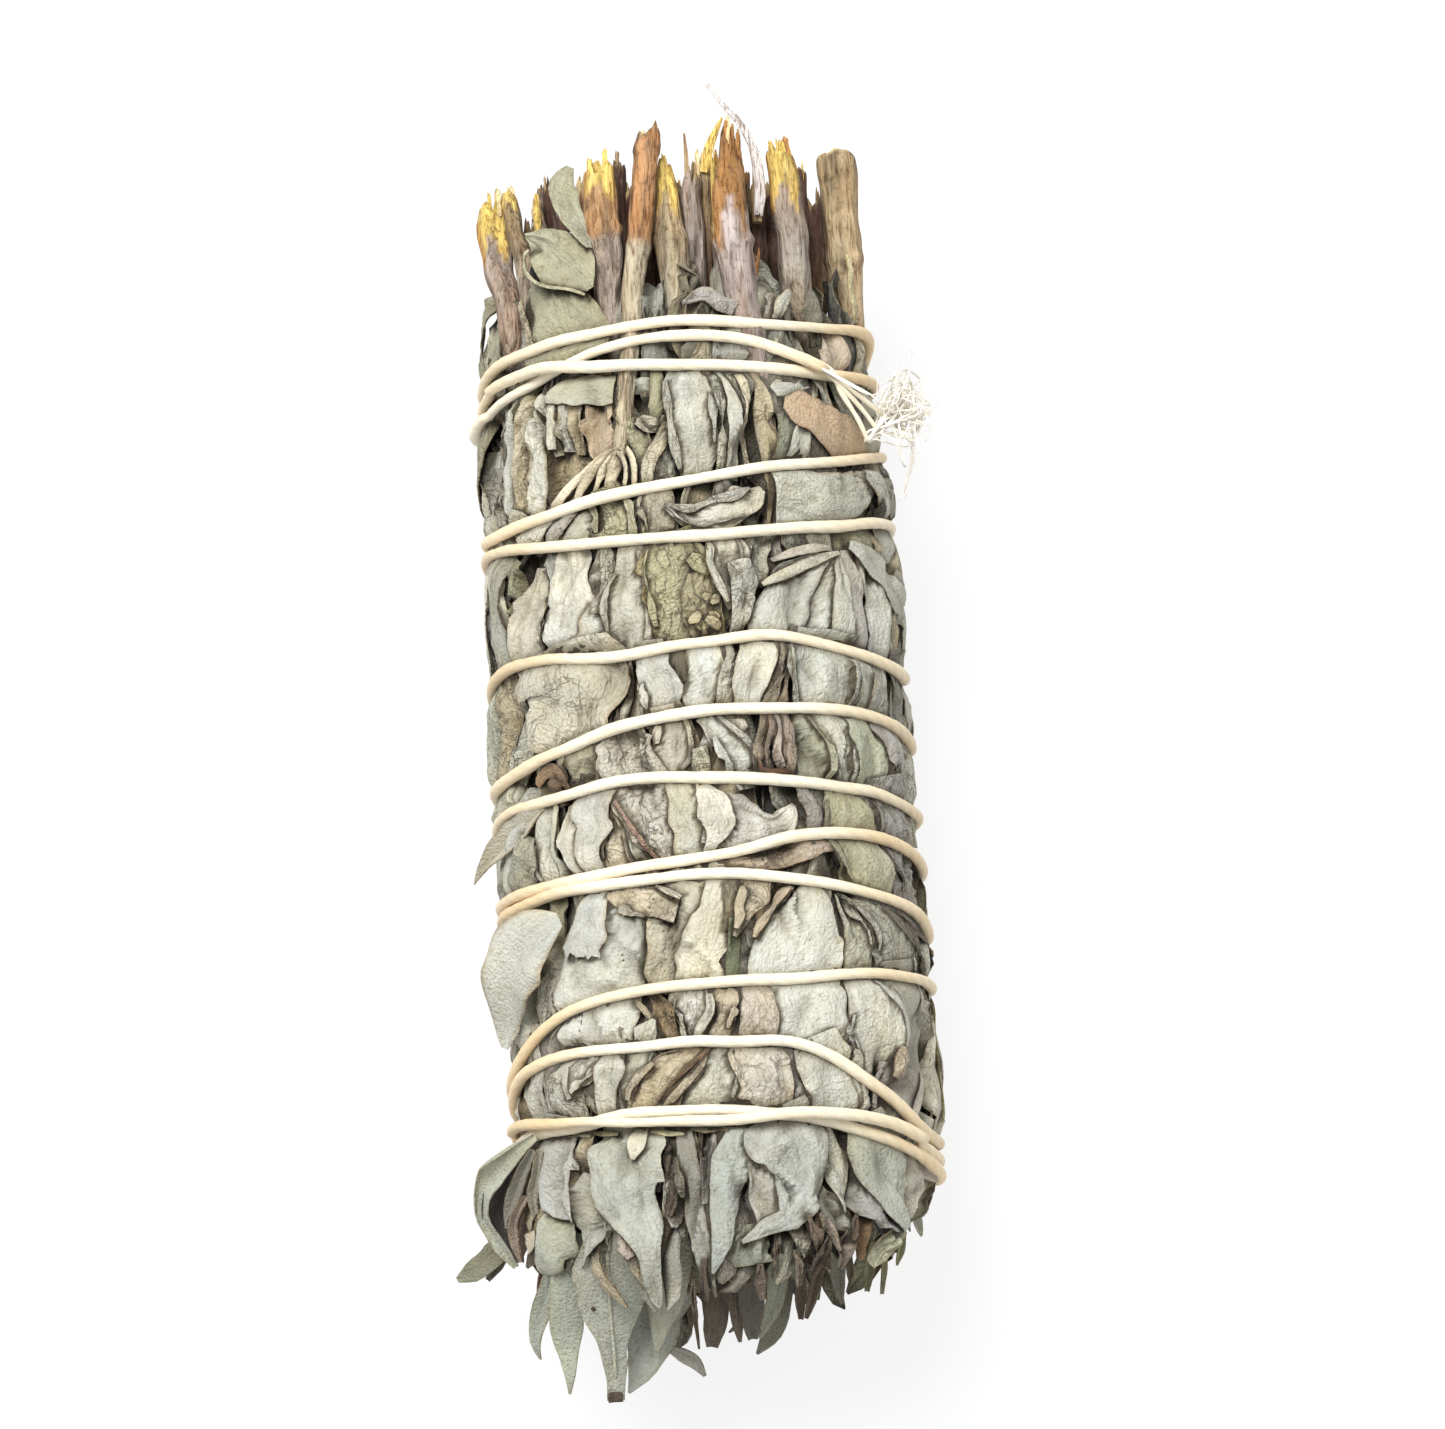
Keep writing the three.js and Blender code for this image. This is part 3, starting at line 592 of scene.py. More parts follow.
def leaf_colour(colour, tint, dark, rng, u, t, L, vein):
    """Colour of each point of a leaf (rows, cols): its own tone, drifting along it, with a browner margin and tip. Alpha is how much its veins show."""
    if tint is None:
        pal = PALETTE[colour]
        tint = np.array(pal[rng.integers(len(pal))], float) * (1 + rng.normal(0, 0.025))
    base = lin(np.clip(tint, 0, 255)) * dark
    nv = len(u)
    drift = noise1(nv, max(3, nv / 3), rng, 0.07)[:, None]
    a = noise3(np.stack([u * 1.3 + rng.random() * 9, t * L * 0.25 + 0 * u, np.full_like(u, rng.random() * 9)], -1), 1.0)
    k = np.clip(1 + drift + 0.10 * a, 0.6, 1.25)
    col = base[None, None, :] * k[..., None]
    brown = np.clip(rng.uniform(-0.5, 0.8) * sstep((np.abs(u) - 0.80) / 0.2) + rng.uniform(-0.6, 0.5) * sstep((t - 0.88) / 0.12), 0, 0.8)[..., None]
    col = col * (1 - brown) + col * np.array([0.74, 0.60, 0.42]) * brown
    warm = np.clip(0.30 * noise3(np.stack([u * 0.9 + 3, t * L * 0.12 + 0 * u, np.full_like(u, rng.random() * 9)], -1), 1.0), -0.2, 0.3)[..., None]
    col = col * (1 + warm * np.array([0.10, 0.0, -0.28]))
    # painted shade and painted highlight along the margins, as if curled under or catching the light, varying along the
    # leaf
    m = sstep((np.abs(u) - 0.78) / 0.22) * np.where(u > 0, noise1(nv, max(2, nv / 5), rng, 1.0)[:, None], noise1(nv, max(2, nv / 5), rng, 1.0)[:, None])
    col = col * (1 + np.clip(0.12 * m - 0.10 * sstep((np.abs(u) - 0.85) / 0.15), -0.35, 0.15))[..., None]
    v = rng.uniform(0.15, 0.9) if vein is None else vein
    return np.concatenate([np.clip(col, 0, 1), np.full(col.shape[:2] + (1,), v)], -1).reshape(-1, 4)


def section_grid(nv, Wl, fo, cu, nl, nr, UU=U):
    nu = len(UU)
    x = np.zeros((nv, nu)); z = np.zeros((nv, nu))
    mid = nu // 2
    both = Wl if isinstance(Wl, list) else [Wl, Wl]
    for side, roll, Wl in ((1, nr, both[0]), (-1, nl, both[1])):
        idx = range(mid + 1, nu) if side == 1 else range(mid - 1, -1, -1)
        px, pz, pu = np.zeros(nv), np.zeros(nv), 0.0
        for k in idx:
            uu = abs(UU[k]); um = (uu + pu) / 2
            ang = (fo * min(1.0, um / 0.10) + cu * um + roll * sstep((um - 0.50) / 0.50))[:, 0]
            px = px + np.cos(ang) * (uu - pu) * Wl[:, 0]
            pz = pz + np.sin(ang) * (uu - pu) * Wl[:, 0]
            x[:, k], z[:, k] = side * px, pz
            pu = uu
    return x, z


def free_leaf(piece, pts, up, colour="g", fold=0.3, cup=0.2, rl=0.0, rr=0.0, twist=(0, 0), ripple=0.12, rng=RNG, thick=LEAF_T, dark=1.0, tint=None, floor=0.03, vein=None, nu=NU, step=0.7, crumple=1.0, depth=0.72):
    """A leaf along a curve in space. pts: (x, y, z, half width) in mm; up: the way its upper face looks."""
    L = sum(math.dist(pts[i][:3], pts[i + 1][:3]) for i in range(len(pts) - 1))
    nv = int(np.clip(L / step, 10, 56))
    UU = across(nu)
    p4 = np.asarray(pts, float)
    if len(p4) == 2:
        p4 = np.array([p4[0], (p4[0] + p4[1]) / 2, p4[1]])
    e = np.vstack([2 * p4[0] - p4[1], p4, 2 * p4[-1] - p4[-2]])
    out = []
    for i in range(1, len(e) - 2):
        s = np.linspace(0, 1, 16, endpoint=False)[:, None]
        a, b, c, d = e[i - 1], e[i], e[i + 1], e[i + 2]
        out.append(0.5 * (2 * b + (c - a) * s + (2 * a - 5 * b + 4 * c - d) * s ** 2 + (3 * b - a - 3 * c + d) * s ** 3))
    out = np.vstack(out + [e[-2][None]])
    cl = np.concatenate([[0], np.cumsum(np.linalg.norm(np.diff(out[:, :3], axis=0), axis=1))])
    L = cl[-1]
    s = np.linspace(0, L, nv)
    c = np.stack([np.interp(s, cl, out[:, k]) for k in range(4)], 1)
    t = np.linspace(0, 1, nv)[:, None]
    W = np.maximum(c[:, 3:4], 0.10)
    tan = np.gradient(c[:, :3], axis=0); tan /= np.linalg.norm(tan, axis=1, keepdims=True)
    side = np.cross(tan, np.asarray(up, float)); side /= np.maximum(np.linalg.norm(side, axis=1, keepdims=True), 1e-9)
    nrm = np.cross(side, tan)
    u = np.tile(UU, (nv, 1))
    Wl = W * (1 + 0.03 * np.sin(t * L / 0.55 + rng.random() * 6))
    Wl = [Wl * (1 + noise1(nv, 5, rng, 0.04)[:, None] + kinks(nv, 1.6 * nv / L, rng, 0.05)[:, None]) for _ in (0, 1)]
    x, z = section_grid(nv, Wl, fold * (1 + noise1(nv, 7, rng, 0.25)[:, None]), cup + noise1(nv, 8, rng, 0.12)[:, None], rl * (1 + noise1(nv, 6, rng, 0.3)[:, None]), rr * (1 + noise1(nv, 6, rng, 0.3)[:, None]), UU)
    ph = rng.random() * 9
    z += ripple * W ** 0.5 * np.abs(u) ** 2 * np.where(u > 0, np.sin(t * L / (1.4 + rng.random()) + ph), np.sin(t * L / (1.5 + rng.random()) + ph * 2))
    tw = (twist[0] + (twist[1] - twist[0]) * t) + noise1(nv, 9, rng, 0.08)[:, None]
    x, z = x * np.cos(tw) - z * np.sin(tw), x * np.sin(tw) + z * np.cos(tw)
    p = c[:, None, :3] + side[:, None, :] * x[..., None] + nrm[:, None, :] * z[..., None]
    a2 = noise3(np.stack([u * W * 0.55 + rng.random() * 30, t * L * 0.30 + 0 * u, np.full_like(u, rng.random() * 30)], -1), 1.0)
    fr = folds(u * W, t * L + 0 * u, float(W.max()), L, rng) * np.minimum(1, W / 1.2) * 0.8 * crumple
    p = p + nrm[:, None, :] * (0.05 * noise3(p, 0.9, 3.0) + 0.028 * noise3(p, 2.3, 8.0) + crumple * 0.16 * (np.abs(a2) - 0.3) + fr)[..., None]
    n = normals(p)
    th = thick * (0.55 + 0.45 * np.sqrt(np.clip(1 - np.abs(u) ** 4, 0, 1))) * (0.5 + 0.5 * sstep(np.minimum(t, 1 - t) / 0.05))
    p[..., 2] = np.maximum(p[..., 2], floor + 0.14)
    top, bot = p + n * (th / 2)[..., None], p - n * (th / 2)[..., None]
    top[..., 2] = np.maximum(top[..., 2], 0.0); bot[..., 2] = np.maximum(bot[..., 2], 0.0)
    v, f = grid_solid(top, bot)
    uu = (u + 1) / 2
    uv = np.stack([uu, np.broadcast_to(t, uu.shape)], -1).reshape(-1, 2)
    sh = rng.random() * 3
    mm = np.stack([u * W * 0.05 + sh, np.broadcast_to(t * L * 0.05, uu.shape) + sh * 1.7], -1).reshape(-1, 2)
    col = leaf_colour(colour, tint, dark, rng, u, t, L, vein)
    col = np.concatenate([col, col])
    # painted shade deep in the bunch, where it is dark
    deep = 1 - np.hypot(v[:, 0] / 16.5, (v[:, 2] - AXIS_Z + np.clip(-40 - v[:, 1], 0, 20) * 0.10) / 15.0) / np.maximum(tuft(v[:, 1]), 0.3)
    k = 1 - depth * sstep(deep / 0.42) * sstep((v[:, 1] + 53) / 9)
    col[:, :3] *= np.stack([k, k ** 1.07, k ** 1.2], -1)
    piece.add(v, f, np.concatenate([uv, uv]), np.concatenate([mm, mm]), col)


# ------------------------------------------------------------------ tubes: twine, stems, fibres
def frames(p):
    """Tangent and two sides along a line, turned as little as possible."""
    t = np.gradient(p, axis=0)
    t /= np.maximum(np.linalg.norm(t, axis=1, keepdims=True), 1e-9)
    a = np.zeros_like(p); b = np.zeros_like(p)
    ref = np.array([0, 0, 1.0]) if abs(t[0][2]) < 0.9 else np.array([1.0, 0, 0])
    v = ref - t[0] * ref.dot(t[0])
    v /= np.linalg.norm(v)
    for i in range(len(p)):
        v = v - t[i] * v.dot(t[i])
        v /= max(np.linalg.norm(v), 1e-9)
        a[i] = v
        b[i] = np.cross(t[i], v)
    return t, a, b


def tube(p, radius, sides, wob=None):
    """Closed tube. radius: (rings,) or (rings, sides). Returns vertices, faces, uv, mm."""
    n = len(p)
    t, a, b = frames(p)
    ang = np.linspace(0, 2 * math.pi, sides, endpoint=False)
    r = np.broadcast_to(radius if np.ndim(radius) == 2 else np.asarray(radius)[:, None], (n, sides))
    v = p[:, None, :] + (a[:, None, :] * np.cos(ang)[None, :, None] + b[:, None, :] * np.sin(ang)[None, :, None]) * r[..., None]
    if wob is not None:
        v = v + t[:, None, :] * wob[..., None]
    v = v.reshape(-1, 3)
    i, j = np.meshgrid(np.arange(n - 1), np.arange(sides), indexing="ij")
    q0 = (i * sides + j).ravel(); q1 = (i * sides + (j + 1) % sides).ravel()
    f = list(zip(q0, q1, q1 + sides, q0 + sides))
    c0, c1 = len(v), len(v) + 1
    v = np.vstack([v, v[:sides].mean(0), v[(n - 1) * sides:n * sides].mean(0)])
    k = np.arange(sides)
    f += list(zip(np.full(sides, c0), (k + 1) % sides, k))
    m = (n - 1) * sides
    f += list(zip(np.full(sides, c1), m + k, m + (k + 1) % sides))
    s = np.concatenate([[0], np.cumsum(np.linalg.norm(np.diff(p, axis=0), axis=1))])
    uv = np.stack([np.tile(np.arange(sides) / sides, n), np.repeat(s / max(s[-1], 1e-6), sides)], 1)
    mm = np.stack([np.tile(np.arange(sides) / sides, n), np.repeat(s * 0.05, sides)], 1)
    uv = np.vstack([uv, [[0.5, 0]], [[0.5, 1]]]); mm = np.vstack([mm, [[0.5, 0]], [[0.5, mm[-1][1]]]])
    return v, f, uv, mm


def resample(p, step, extra=None):
    p = np.asarray(p, float)
    e = np.vstack([2 * p[0] - p[1], p, 2 * p[-1] - p[-2]])
    out = []
    for i in range(1, len(e) - 2):
        t = np.linspace(0, 1, 14, endpoint=False)[:, None]
        a, b, c, d = e[i - 1], e[i], e[i + 1], e[i + 2]
        out.append(0.5 * (2 * b + (c - a) * t + (2 * a - 5 * b + 4 * c - d) * t ** 2 + (3 * b - a - 3 * c + d) * t ** 3))
    out = np.vstack(out + [e[-2][None]])
    L = np.concatenate([[0], np.cumsum(np.linalg.norm(np.diff(out[:, :3], axis=0), axis=1))])
    n = max(4, int(L[-1] / step) + 1)
    s = np.linspace(0, L[-1], n)
    return np.stack([np.interp(s, L, out[:, k]) for k in range(out.shape[1])], 1), L[-1]


WOOD = {"y": (243, 211, 118), "o": (192, 140, 84), "c": (240, 214, 160), "n": (176, 150, 112)}
# the dark bark is for stems deep in the bunch, darker for the shade they stand in: painted shade
BARK = {"tan": (206, 182, 146), "mauve": (172, 158, 146), "lav": (186, 172, 166), "olive": (168, 146, 110), "dark": (112, 84, 72), "brown": (176, 140, 100), "pink": (190, 168, 150), "grey": (178, 168, 150), "rust": (188, 142, 98), "straw": (214, 203, 176)}


def stem(piece, pts, bark="tan", wood="y", peel=1.5, nodes=(), jag=0.9, rng=RNG, splinters=6, slant=0.0, low=None, square=0.12, sides=18, splint_len=1.6, mix_at=None, scars=()):
    """A woody stem. pts: (x, y, z, radius) in mm, from inside the bunch to the cut end. bark runs from low, at the bottom, to bark, at the cut end."""
    p4, L = resample(pts, 0.36)
    n = len(p4)
    p, R = p4[:, :3].copy(), p4[:, 3]
    s = np.linspace(0, L, n)
    p[:, 0] += noise1(n, 9, rng, 0.07); p[:, 2] += noise1(n, 9, rng, 0.07)
    ang = np.linspace(0, 2 * math.pi, sides, endpoint=False)
    A, S = np.meshgrid(ang, s)
    ridge = noise3(np.stack([np.cos(A) * 2.3, np.sin(A) * 2.3, S * 0.16], -1), 1.0, rng.random() * 30)
    fine = noise3(np.stack([np.cos(A) * 5.0, np.sin(A) * 5.0, S * 0.7], -1), 1.0, rng.random() * 30)
    r = R[:, None] * (1 + 0.10 * ridge + 0.06 * fine + square * 0.5 * np.cos(4 * A + rng.random() * 6))
    for at in nodes:  # swollen joints where leaf pairs grew, with a scar on each side
        d = s - (L - at)
        r = r * (1 + 0.11 * np.exp(-(d / 0.6) ** 2))[:, None]
        r = r * (1 + 0.13 * np.exp(-((d + 0.1) / 0.45) ** 2)[:, None] * np.abs(np.cos(A + at)) ** 3)
    wob = np.zeros((n, sides))
    j = jag * (noise3(np.stack([np.cos(ang) * 1.6, np.sin(ang) * 1.6, np.full(sides, rng.random() * 9)], -1), 1.0) + 0.6 * rng.normal(0, 0.5, sides)) + slant * np.cos(ang - 0.7)
    wgt = sstep((s - (L - 2.2)) / 2.2)[:, None]
    wob = wgt * j[None, :]
    r[-1] *= 0.86 if jag > 0.5 else 0.97
    v, f, uv, mm = tube(p, r, sides, wob)
    # the cut end: a hollow cap of torn wood
    cb, cl_ = lin(BARK[bark]), lin(BARK[low or bark])
    wd = lin(WOOD[wood])
    mixb = (sstep(s / L * 1.6 - 0.3) if mix_at is None else sstep((s / L - mix_at) / 0.05 + 0.5))[:, None, None]
    col = cl_ * (1 - mixb) + cb * mixb
    col = np.broadcast_to(col, (n, sides, 3)).copy()
    col *= (1 + 0.30 * ridge + 0.26 * fine)[..., None]
    blotch = noise3(np.stack([np.cos(A) * 1.6, np.sin(A) * 1.6, S * 0.30], -1), 1.0, rng.random() * 30)
    col = col * (1 + np.clip(blotch, -0.6, 0.6)[..., None] * np.array([0.16, 0.26, 0.36]))
    furrow = sstep((np.abs(noise3(np.stack([np.cos(A) * 4.2, np.sin(A) * 4.2, S * 0.14], -1), 1.0, rng.random() * 30)) - 0.02) / 0.14)
    col *= (0.52 + 0.48 * furrow)[..., None]
    edge = L - peel * (1 + 0.7 * noise3(np.stack([np.cos(A) * 2.2, np.sin(A) * 2.2, S * 0.05], -1), 1.0, 4.4)) if peel > 0 else np.full((n, sides), L + 9)
    pe = sstep((S - edge) / 0.45)[..., None]
    wcol = wd * (0.70 + 0.50 * (noise3(np.stack([np.cos(A) * 4, np.sin(A) * 4, S * 0.3], -1), 1.0, 9.0)))[..., None]
    if wood in ("y", "c"):
        wcol = wcol * (1 - 0.35 * sstep((L - S) / max(peel, 0.1) - 0.5))[..., None] + lin(WOOD["o"]) * (0.35 * sstep((L - S) / max(peel, 0.1) - 0.5))[..., None]
    vn = v[:n * sides].reshape(n, sides, 3) - p[:, None, :]
    vn /= np.maximum(np.linalg.norm(vn, axis=-1, keepdims=True), 1e-9)
    rad_ = np.stack([p[:, 0], 0 * p[:, 0], p[:, 2] - AXIS_Z], -1)
    rad_ /= np.maximum(np.linalg.norm(rad_, axis=-1, keepdims=True), 1e-9)
    face = (vn * rad_[:, None, :]).sum(-1)
    face = np.maximum(face, 0.9 * vn[..., 2])
    # painted shade: the bared yellow wood turns a darker orange where it faces away from above
    if wood == "y":
        e_ = (sstep((0.62 - vn[..., 2]) / 0.5) * 0.8)[..., None]
        wcol = wcol * (1 - e_) + lin((178, 112, 44)) * e_
    col = col * (1 - pe) + wcol * pe
    # painted shade in the gaps between the stems: on their sides, and on what stands deeper in
    deep = sstep((0.90 - np.hypot(p[:, 0] / 15.6, (p[:, 2] - AXIS_Z) / 14.5)) / 0.40)[:, None]
    k_ = 0.95 * (0.38 + 0.62 * sstep((face + 0.25) / 0.95)) * (1 - 0.62 * deep) * (1 - 0.16 * sstep((41 - p[:, 1]) / 5))[:, None]
    k_ = k_ ** (1 - 0.55 * pe[..., 0])
    for sx_, sy_, sr_ in scars:
        pv = v[:n * sides].reshape(n, sides, 3) - cam_c
        dep = pv @ cam_f
        gx, gy = CX + FOC * (pv @ cam_r) / dep, CY - FOC * (pv @ cam_u) / dep
        k_ = k_ * (1 - 0.70 * np.exp(-(((gx - sx_) / sr_) ** 2 + ((gy - sy_) / (sr_ * 0.8)) ** 2)) * (face > 0))
    col = col * np.stack([k_, k_ ** 1.10, k_ ** 1.22], -1)
    col = np.concatenate([col.reshape(-1, 3), [cl_, wd * 0.55]])
    v[-1] = v[-1] - (p[-1] - p[-2]) / np.linalg.norm(p[-1] - p[-2]) * 0.5
    piece.add(v, f, uv, mm, np.clip(col, 0, 1))
    # torn splinters standing on the cut
    t, a, b = frames(p)
    for k in range(splinters):
        g = (k + rng.uniform(-0.3, 0.3)) / splinters * 2 * math.pi
        rr = R[-1] * rng.uniform(0.45, 0.80)
        base = p[-1] - t[-1] * rng.uniform(1.6, 2.6) + (a[-1] * math.cos(g) + b[-1] * math.sin(g)) * rr
        ln = 2.1 + splint_len * rng.uniform(0.05, 0.75)
        d = t[-1] + (a[-1] * math.cos(g) + b[-1] * math.sin(g)) * rng.uniform(-0.03, 0.06) + rng.normal(0, 0.02, 3)
        q = base[None] + d[None] * np.array([0, 0.3, 0.6, 0.85, 0.95, 1.0])[:, None] * ln
        w = R[-1] * rng.uniform(0.20, 0.36)
        # a flat strip of torn wood, blunt and frayed at its end
        sd = 10
        an = np.linspace(0, 2 * math.pi, sd, endpoint=False)
        flat = 1 / np.sqrt(np.cos(an - g * 1.3) ** 2 + (np.sin(an - g * 1.3) / 0.5) ** 2)
        rad = w * np.array([1, 1, 0.97, 0.9, 0.78, 0.5])[:, None] * flat[None, :] * (1 + 0.2 * rng.normal(0, 1, (6, sd)) * np.array([0.3, 0.4, 0.5, 0.8, 1, 1])[:, None])
        wb = np.zeros((6, sd)); wb[-2:] = rng.uniform(-0.35, 0.25, sd)[None, :] * np.array([[0.5], [1.0]])
        vv, ff, uu, m2 = tube(q, np.abs(rad), sd, wb)
        c = lin(WOOD[wood if rng.random() < 0.75 else rng.choice(["o", "y", "c"])]) * rng.uniform(0.7, 1.05)
        c = np.tile(c, (len(vv), 1)) * (1 + 0.18 * rng.normal(0, 1, (len(vv), 1)))
        piece.add(vv, ff, uu, m2, np.clip(c, 0, 1))
    return p


# ------------------------------------------------------------------ materials
def new_material(name):
    m = bpy.data.materials.new(name)
    m.use_nodes = True
    nt = m.node_tree
    return m, nt, nt.nodes["Principled BSDF"]


def nd(nt, kind, **k):
    n = nt.nodes.new(kind)
    for a, b in k.items():
        setattr(n, a, b)
    return n


def math_node(nt, op, a=None, b=None, c=None, clamp=False):
    n = nd(nt, "ShaderNodeMath", operation=op, use_clamp=clamp)
    for i, v in enumerate((a, b, c)):
        if v is None:
            continue
        if isinstance(v, (int, float)):
            n.inputs[i].default_value = v
        else:
            nt.links.new(v, n.inputs[i])
    return n.outputs[0]


def ramp(nt, fac, stops):
    n = nd(nt, "ShaderNodeValToRGB")
    e = n.color_ramp.elements
    while len(e) < len(stops):
        e.new(0.5)
    for k, (p, c) in enumerate(stops):
        e[k].position = p
        e[k].color = (c, c, c, 1) if isinstance(c, (int, float)) else (*c, 1)
    nt.links.new(fac, n.inputs[0])
    return n.outputs[0]


def mix(nt, mode, fac, a, b):
    n = nd(nt, "ShaderNodeMix", data_type="RGBA", blend_type=mode)
    for sock, v in ((n.inputs[0], fac), (n.inputs[6], a), (n.inputs[7], b)):
        if isinstance(v, (int, float)):
            sock.default_value = v
        elif isinstance(v, tuple):
            sock.default_value = (*v, 1)
        else:
            nt.links.new(v, sock)
    return n.outputs[2]


def noise(nt, vec, scale, detail=3.0, rough=0.5):
    n = nd(nt, "ShaderNodeTexNoise")
    n.inputs["Scale"].default_value = scale
    n.inputs["Detail"].default_value = detail
    n.inputs["Roughness"].default_value = rough
    nt.links.new(vec, n.inputs["Vector"])
    return n.outputs["Fac"]


def leaf_material(name, gain=1.0):
    m, nt, bsdf = new_material(name)
    L = nt.links
    vc = nd(nt, "ShaderNodeVertexColor", layer_name="tint")
    tint, amt = vc.outputs["Color"], vc.outputs["Alpha"]
    uv = nd(nt, "ShaderNodeUVMap", uv_map="uv").outputs[0]
    mm = nd(nt, "ShaderNodeUVMap", uv_map="mm").outputs[0]
    obj = nd(nt, "ShaderNodeTexCoord").outputs["Object"]
    sep = nd(nt, "ShaderNodeSeparateXYZ")
    L.new(uv, sep.inputs[0])
    side = math_node(nt, "ABSOLUTE", math_node(nt, "SUBTRACT", sep.outputs[0], 0.5))        # 0 at the midrib, 0.5 at the margin
    sepm = nd(nt, "ShaderNodeSeparateXYZ")
    L.new(mm, sepm.inputs[0])
    # net of small veins: cells about 0.4 mm across, broken up
    warp = nd(nt, "ShaderNodeTexNoise"); warp.inputs["Scale"].default_value = 30; warp.inputs["Detail"].default_value = 2
    L.new(mm, warp.inputs["Vector"])
    wm = nd(nt, "ShaderNodeVectorMath", operation="MULTIPLY_ADD")
    L.new(warp.outputs["Color"], wm.inputs[0]); wm.inputs[1].default_value = (0.014, 0.014, 0); L.new(mm, wm.inputs[2])
    vor = nd(nt, "ShaderNodeTexVoronoi", feature="DISTANCE_TO_EDGE", voronoi_dimensions="2D")
    vor.inputs["Scale"].default_value = 52
    L.new(wm.outputs[0], vor.inputs["Vector"])
    patch = ramp(nt, noise(nt, mm, 9, 2, 0.5), [(0.35, 0.25), (0.62, 1.0)])
    net = ramp(nt, vor.outputs["Distance"], [(0.0, 1.0), (0.09, 0.42), (0.26, 0.0)])
    net = math_node(nt, "MULTIPLY", math_node(nt, "MULTIPLY", net, patch), amt)
    # side veins slant from the midrib to the margin, about 1.7 mm apart
    sv = math_node(nt, "SUBTRACT", math_node(nt, "MULTIPLY", sepm.outputs[1], 12.0), math_node(nt, "MULTIPLY", side, 2.4))
    sv = math_node(nt, "ADD", sv, math_node(nt, "MULTIPLY", noise(nt, mm, 12, 1), 1.0))
    sv = math_node(nt, "ABSOLUTE", math_node(nt, "SUBTRACT", math_node(nt, "FRACT", sv), 0.5))
    svein = ramp(nt, sv, [(0.0, 1.0), (0.045, 0.35), (0.11, 0.0)])
    svein = math_node(nt, "MULTIPLY", svein, amt)
    rib = ramp(nt, side, [(0.0, 1.0), (0.012, 0.8), (0.04, 0.0)])
    rim = ramp(nt, side, [(0.455, 0.0), (0.488, 0.6), (0.5, 1.0)])
    blot = noise(nt, obj, 420, 4, 0.6)
    blot2 = noise(nt, obj, 1500, 4, 0.65)
    # fine puckers run mostly along the leaf
    st = nd(nt, "ShaderNodeMapping"); st.inputs["Scale"].default_value = (68, 21, 1)
    L.new(mm, st.inputs["Vector"])
    puck = noise(nt, st.outputs[0], 1.0, 5, 0.65)
    felt = noise(nt, obj, 7000, 2, 0.7)
    # thin pinched lines, most along the leaf and some across it, broken up
    pinch = None
    for sx, sy, seed_, lo in ((26, 8, 0.0, 0.47), (9, 21, 7.3, 0.53)):
        mp = nd(nt, "ShaderNodeMapping"); mp.inputs["Scale"].default_value = (sx, sy, 1); mp.inputs["Location"].default_value = (seed_, seed_, 0)
        L.new(mm, mp.inputs["Vector"])
        ridge = math_node(nt, "ABSOLUTE", math_node(nt, "SUBTRACT", noise(nt, mp.outputs[0], 1.0, 3, 0.55), 0.5))
        cr = math_node(nt, "MULTIPLY", ramp(nt, ridge, [(0.0, 1.0), (0.012, 0.65), (0.034, 0.0)]), ramp(nt, noise(nt, mp.outputs[0], 0.55, 2, 0.5), [(lo, 0.0), (lo + 0.07, 1.0)]))
        pinch = cr if pinch is None else math_node(nt, "MAXIMUM", pinch, cr)
    pinch = math_node(nt, "MULTIPLY", pinch, ramp(nt, amt, [(0.15, 0.12), (0.8, 1.0)]))
    col = mix(nt, "MULTIPLY", 1.0, tint, (gain, gain, gain))
    # painted shade in the thin pinched creases
    col = mix(nt, "MIX", math_node(nt, "MULTIPLY", pinch, 0.85), col, mix(nt, "MULTIPLY", 1.0, col, (0.46, 0.41, 0.33)))
    # a painted highlight along the margin, broken up
    edge = math_node(nt, "MULTIPLY", ramp(nt, side, [(0.462, 0.0), (0.482, 1.0), (0.496, 1.0), (0.5, 0.5)]), ramp(nt, blot2, [(0.44, 1.0), (0.56, 0.0)]))
    col = mix(nt, "MIX", math_node(nt, "MULTIPLY", edge, 0.55), col, mix(nt, "SCREEN", 0.6, col, (0.30, 0.28, 0.22)))
    col = mix(nt, "MIX", ramp(nt, blot, [(0.42, 0.0), (0.72, 0.5)]), col, mix(nt, "MULTIPLY", 1.0, col, (0.90, 0.86, 0.72)))
    col = mix(nt, "MIX", ramp(nt, blot2, [(0.30, 0.45), (0.5, 0.0)]), col, mix(nt, "MULTIPLY", 1.0, col, (0.82, 0.79, 0.72)))
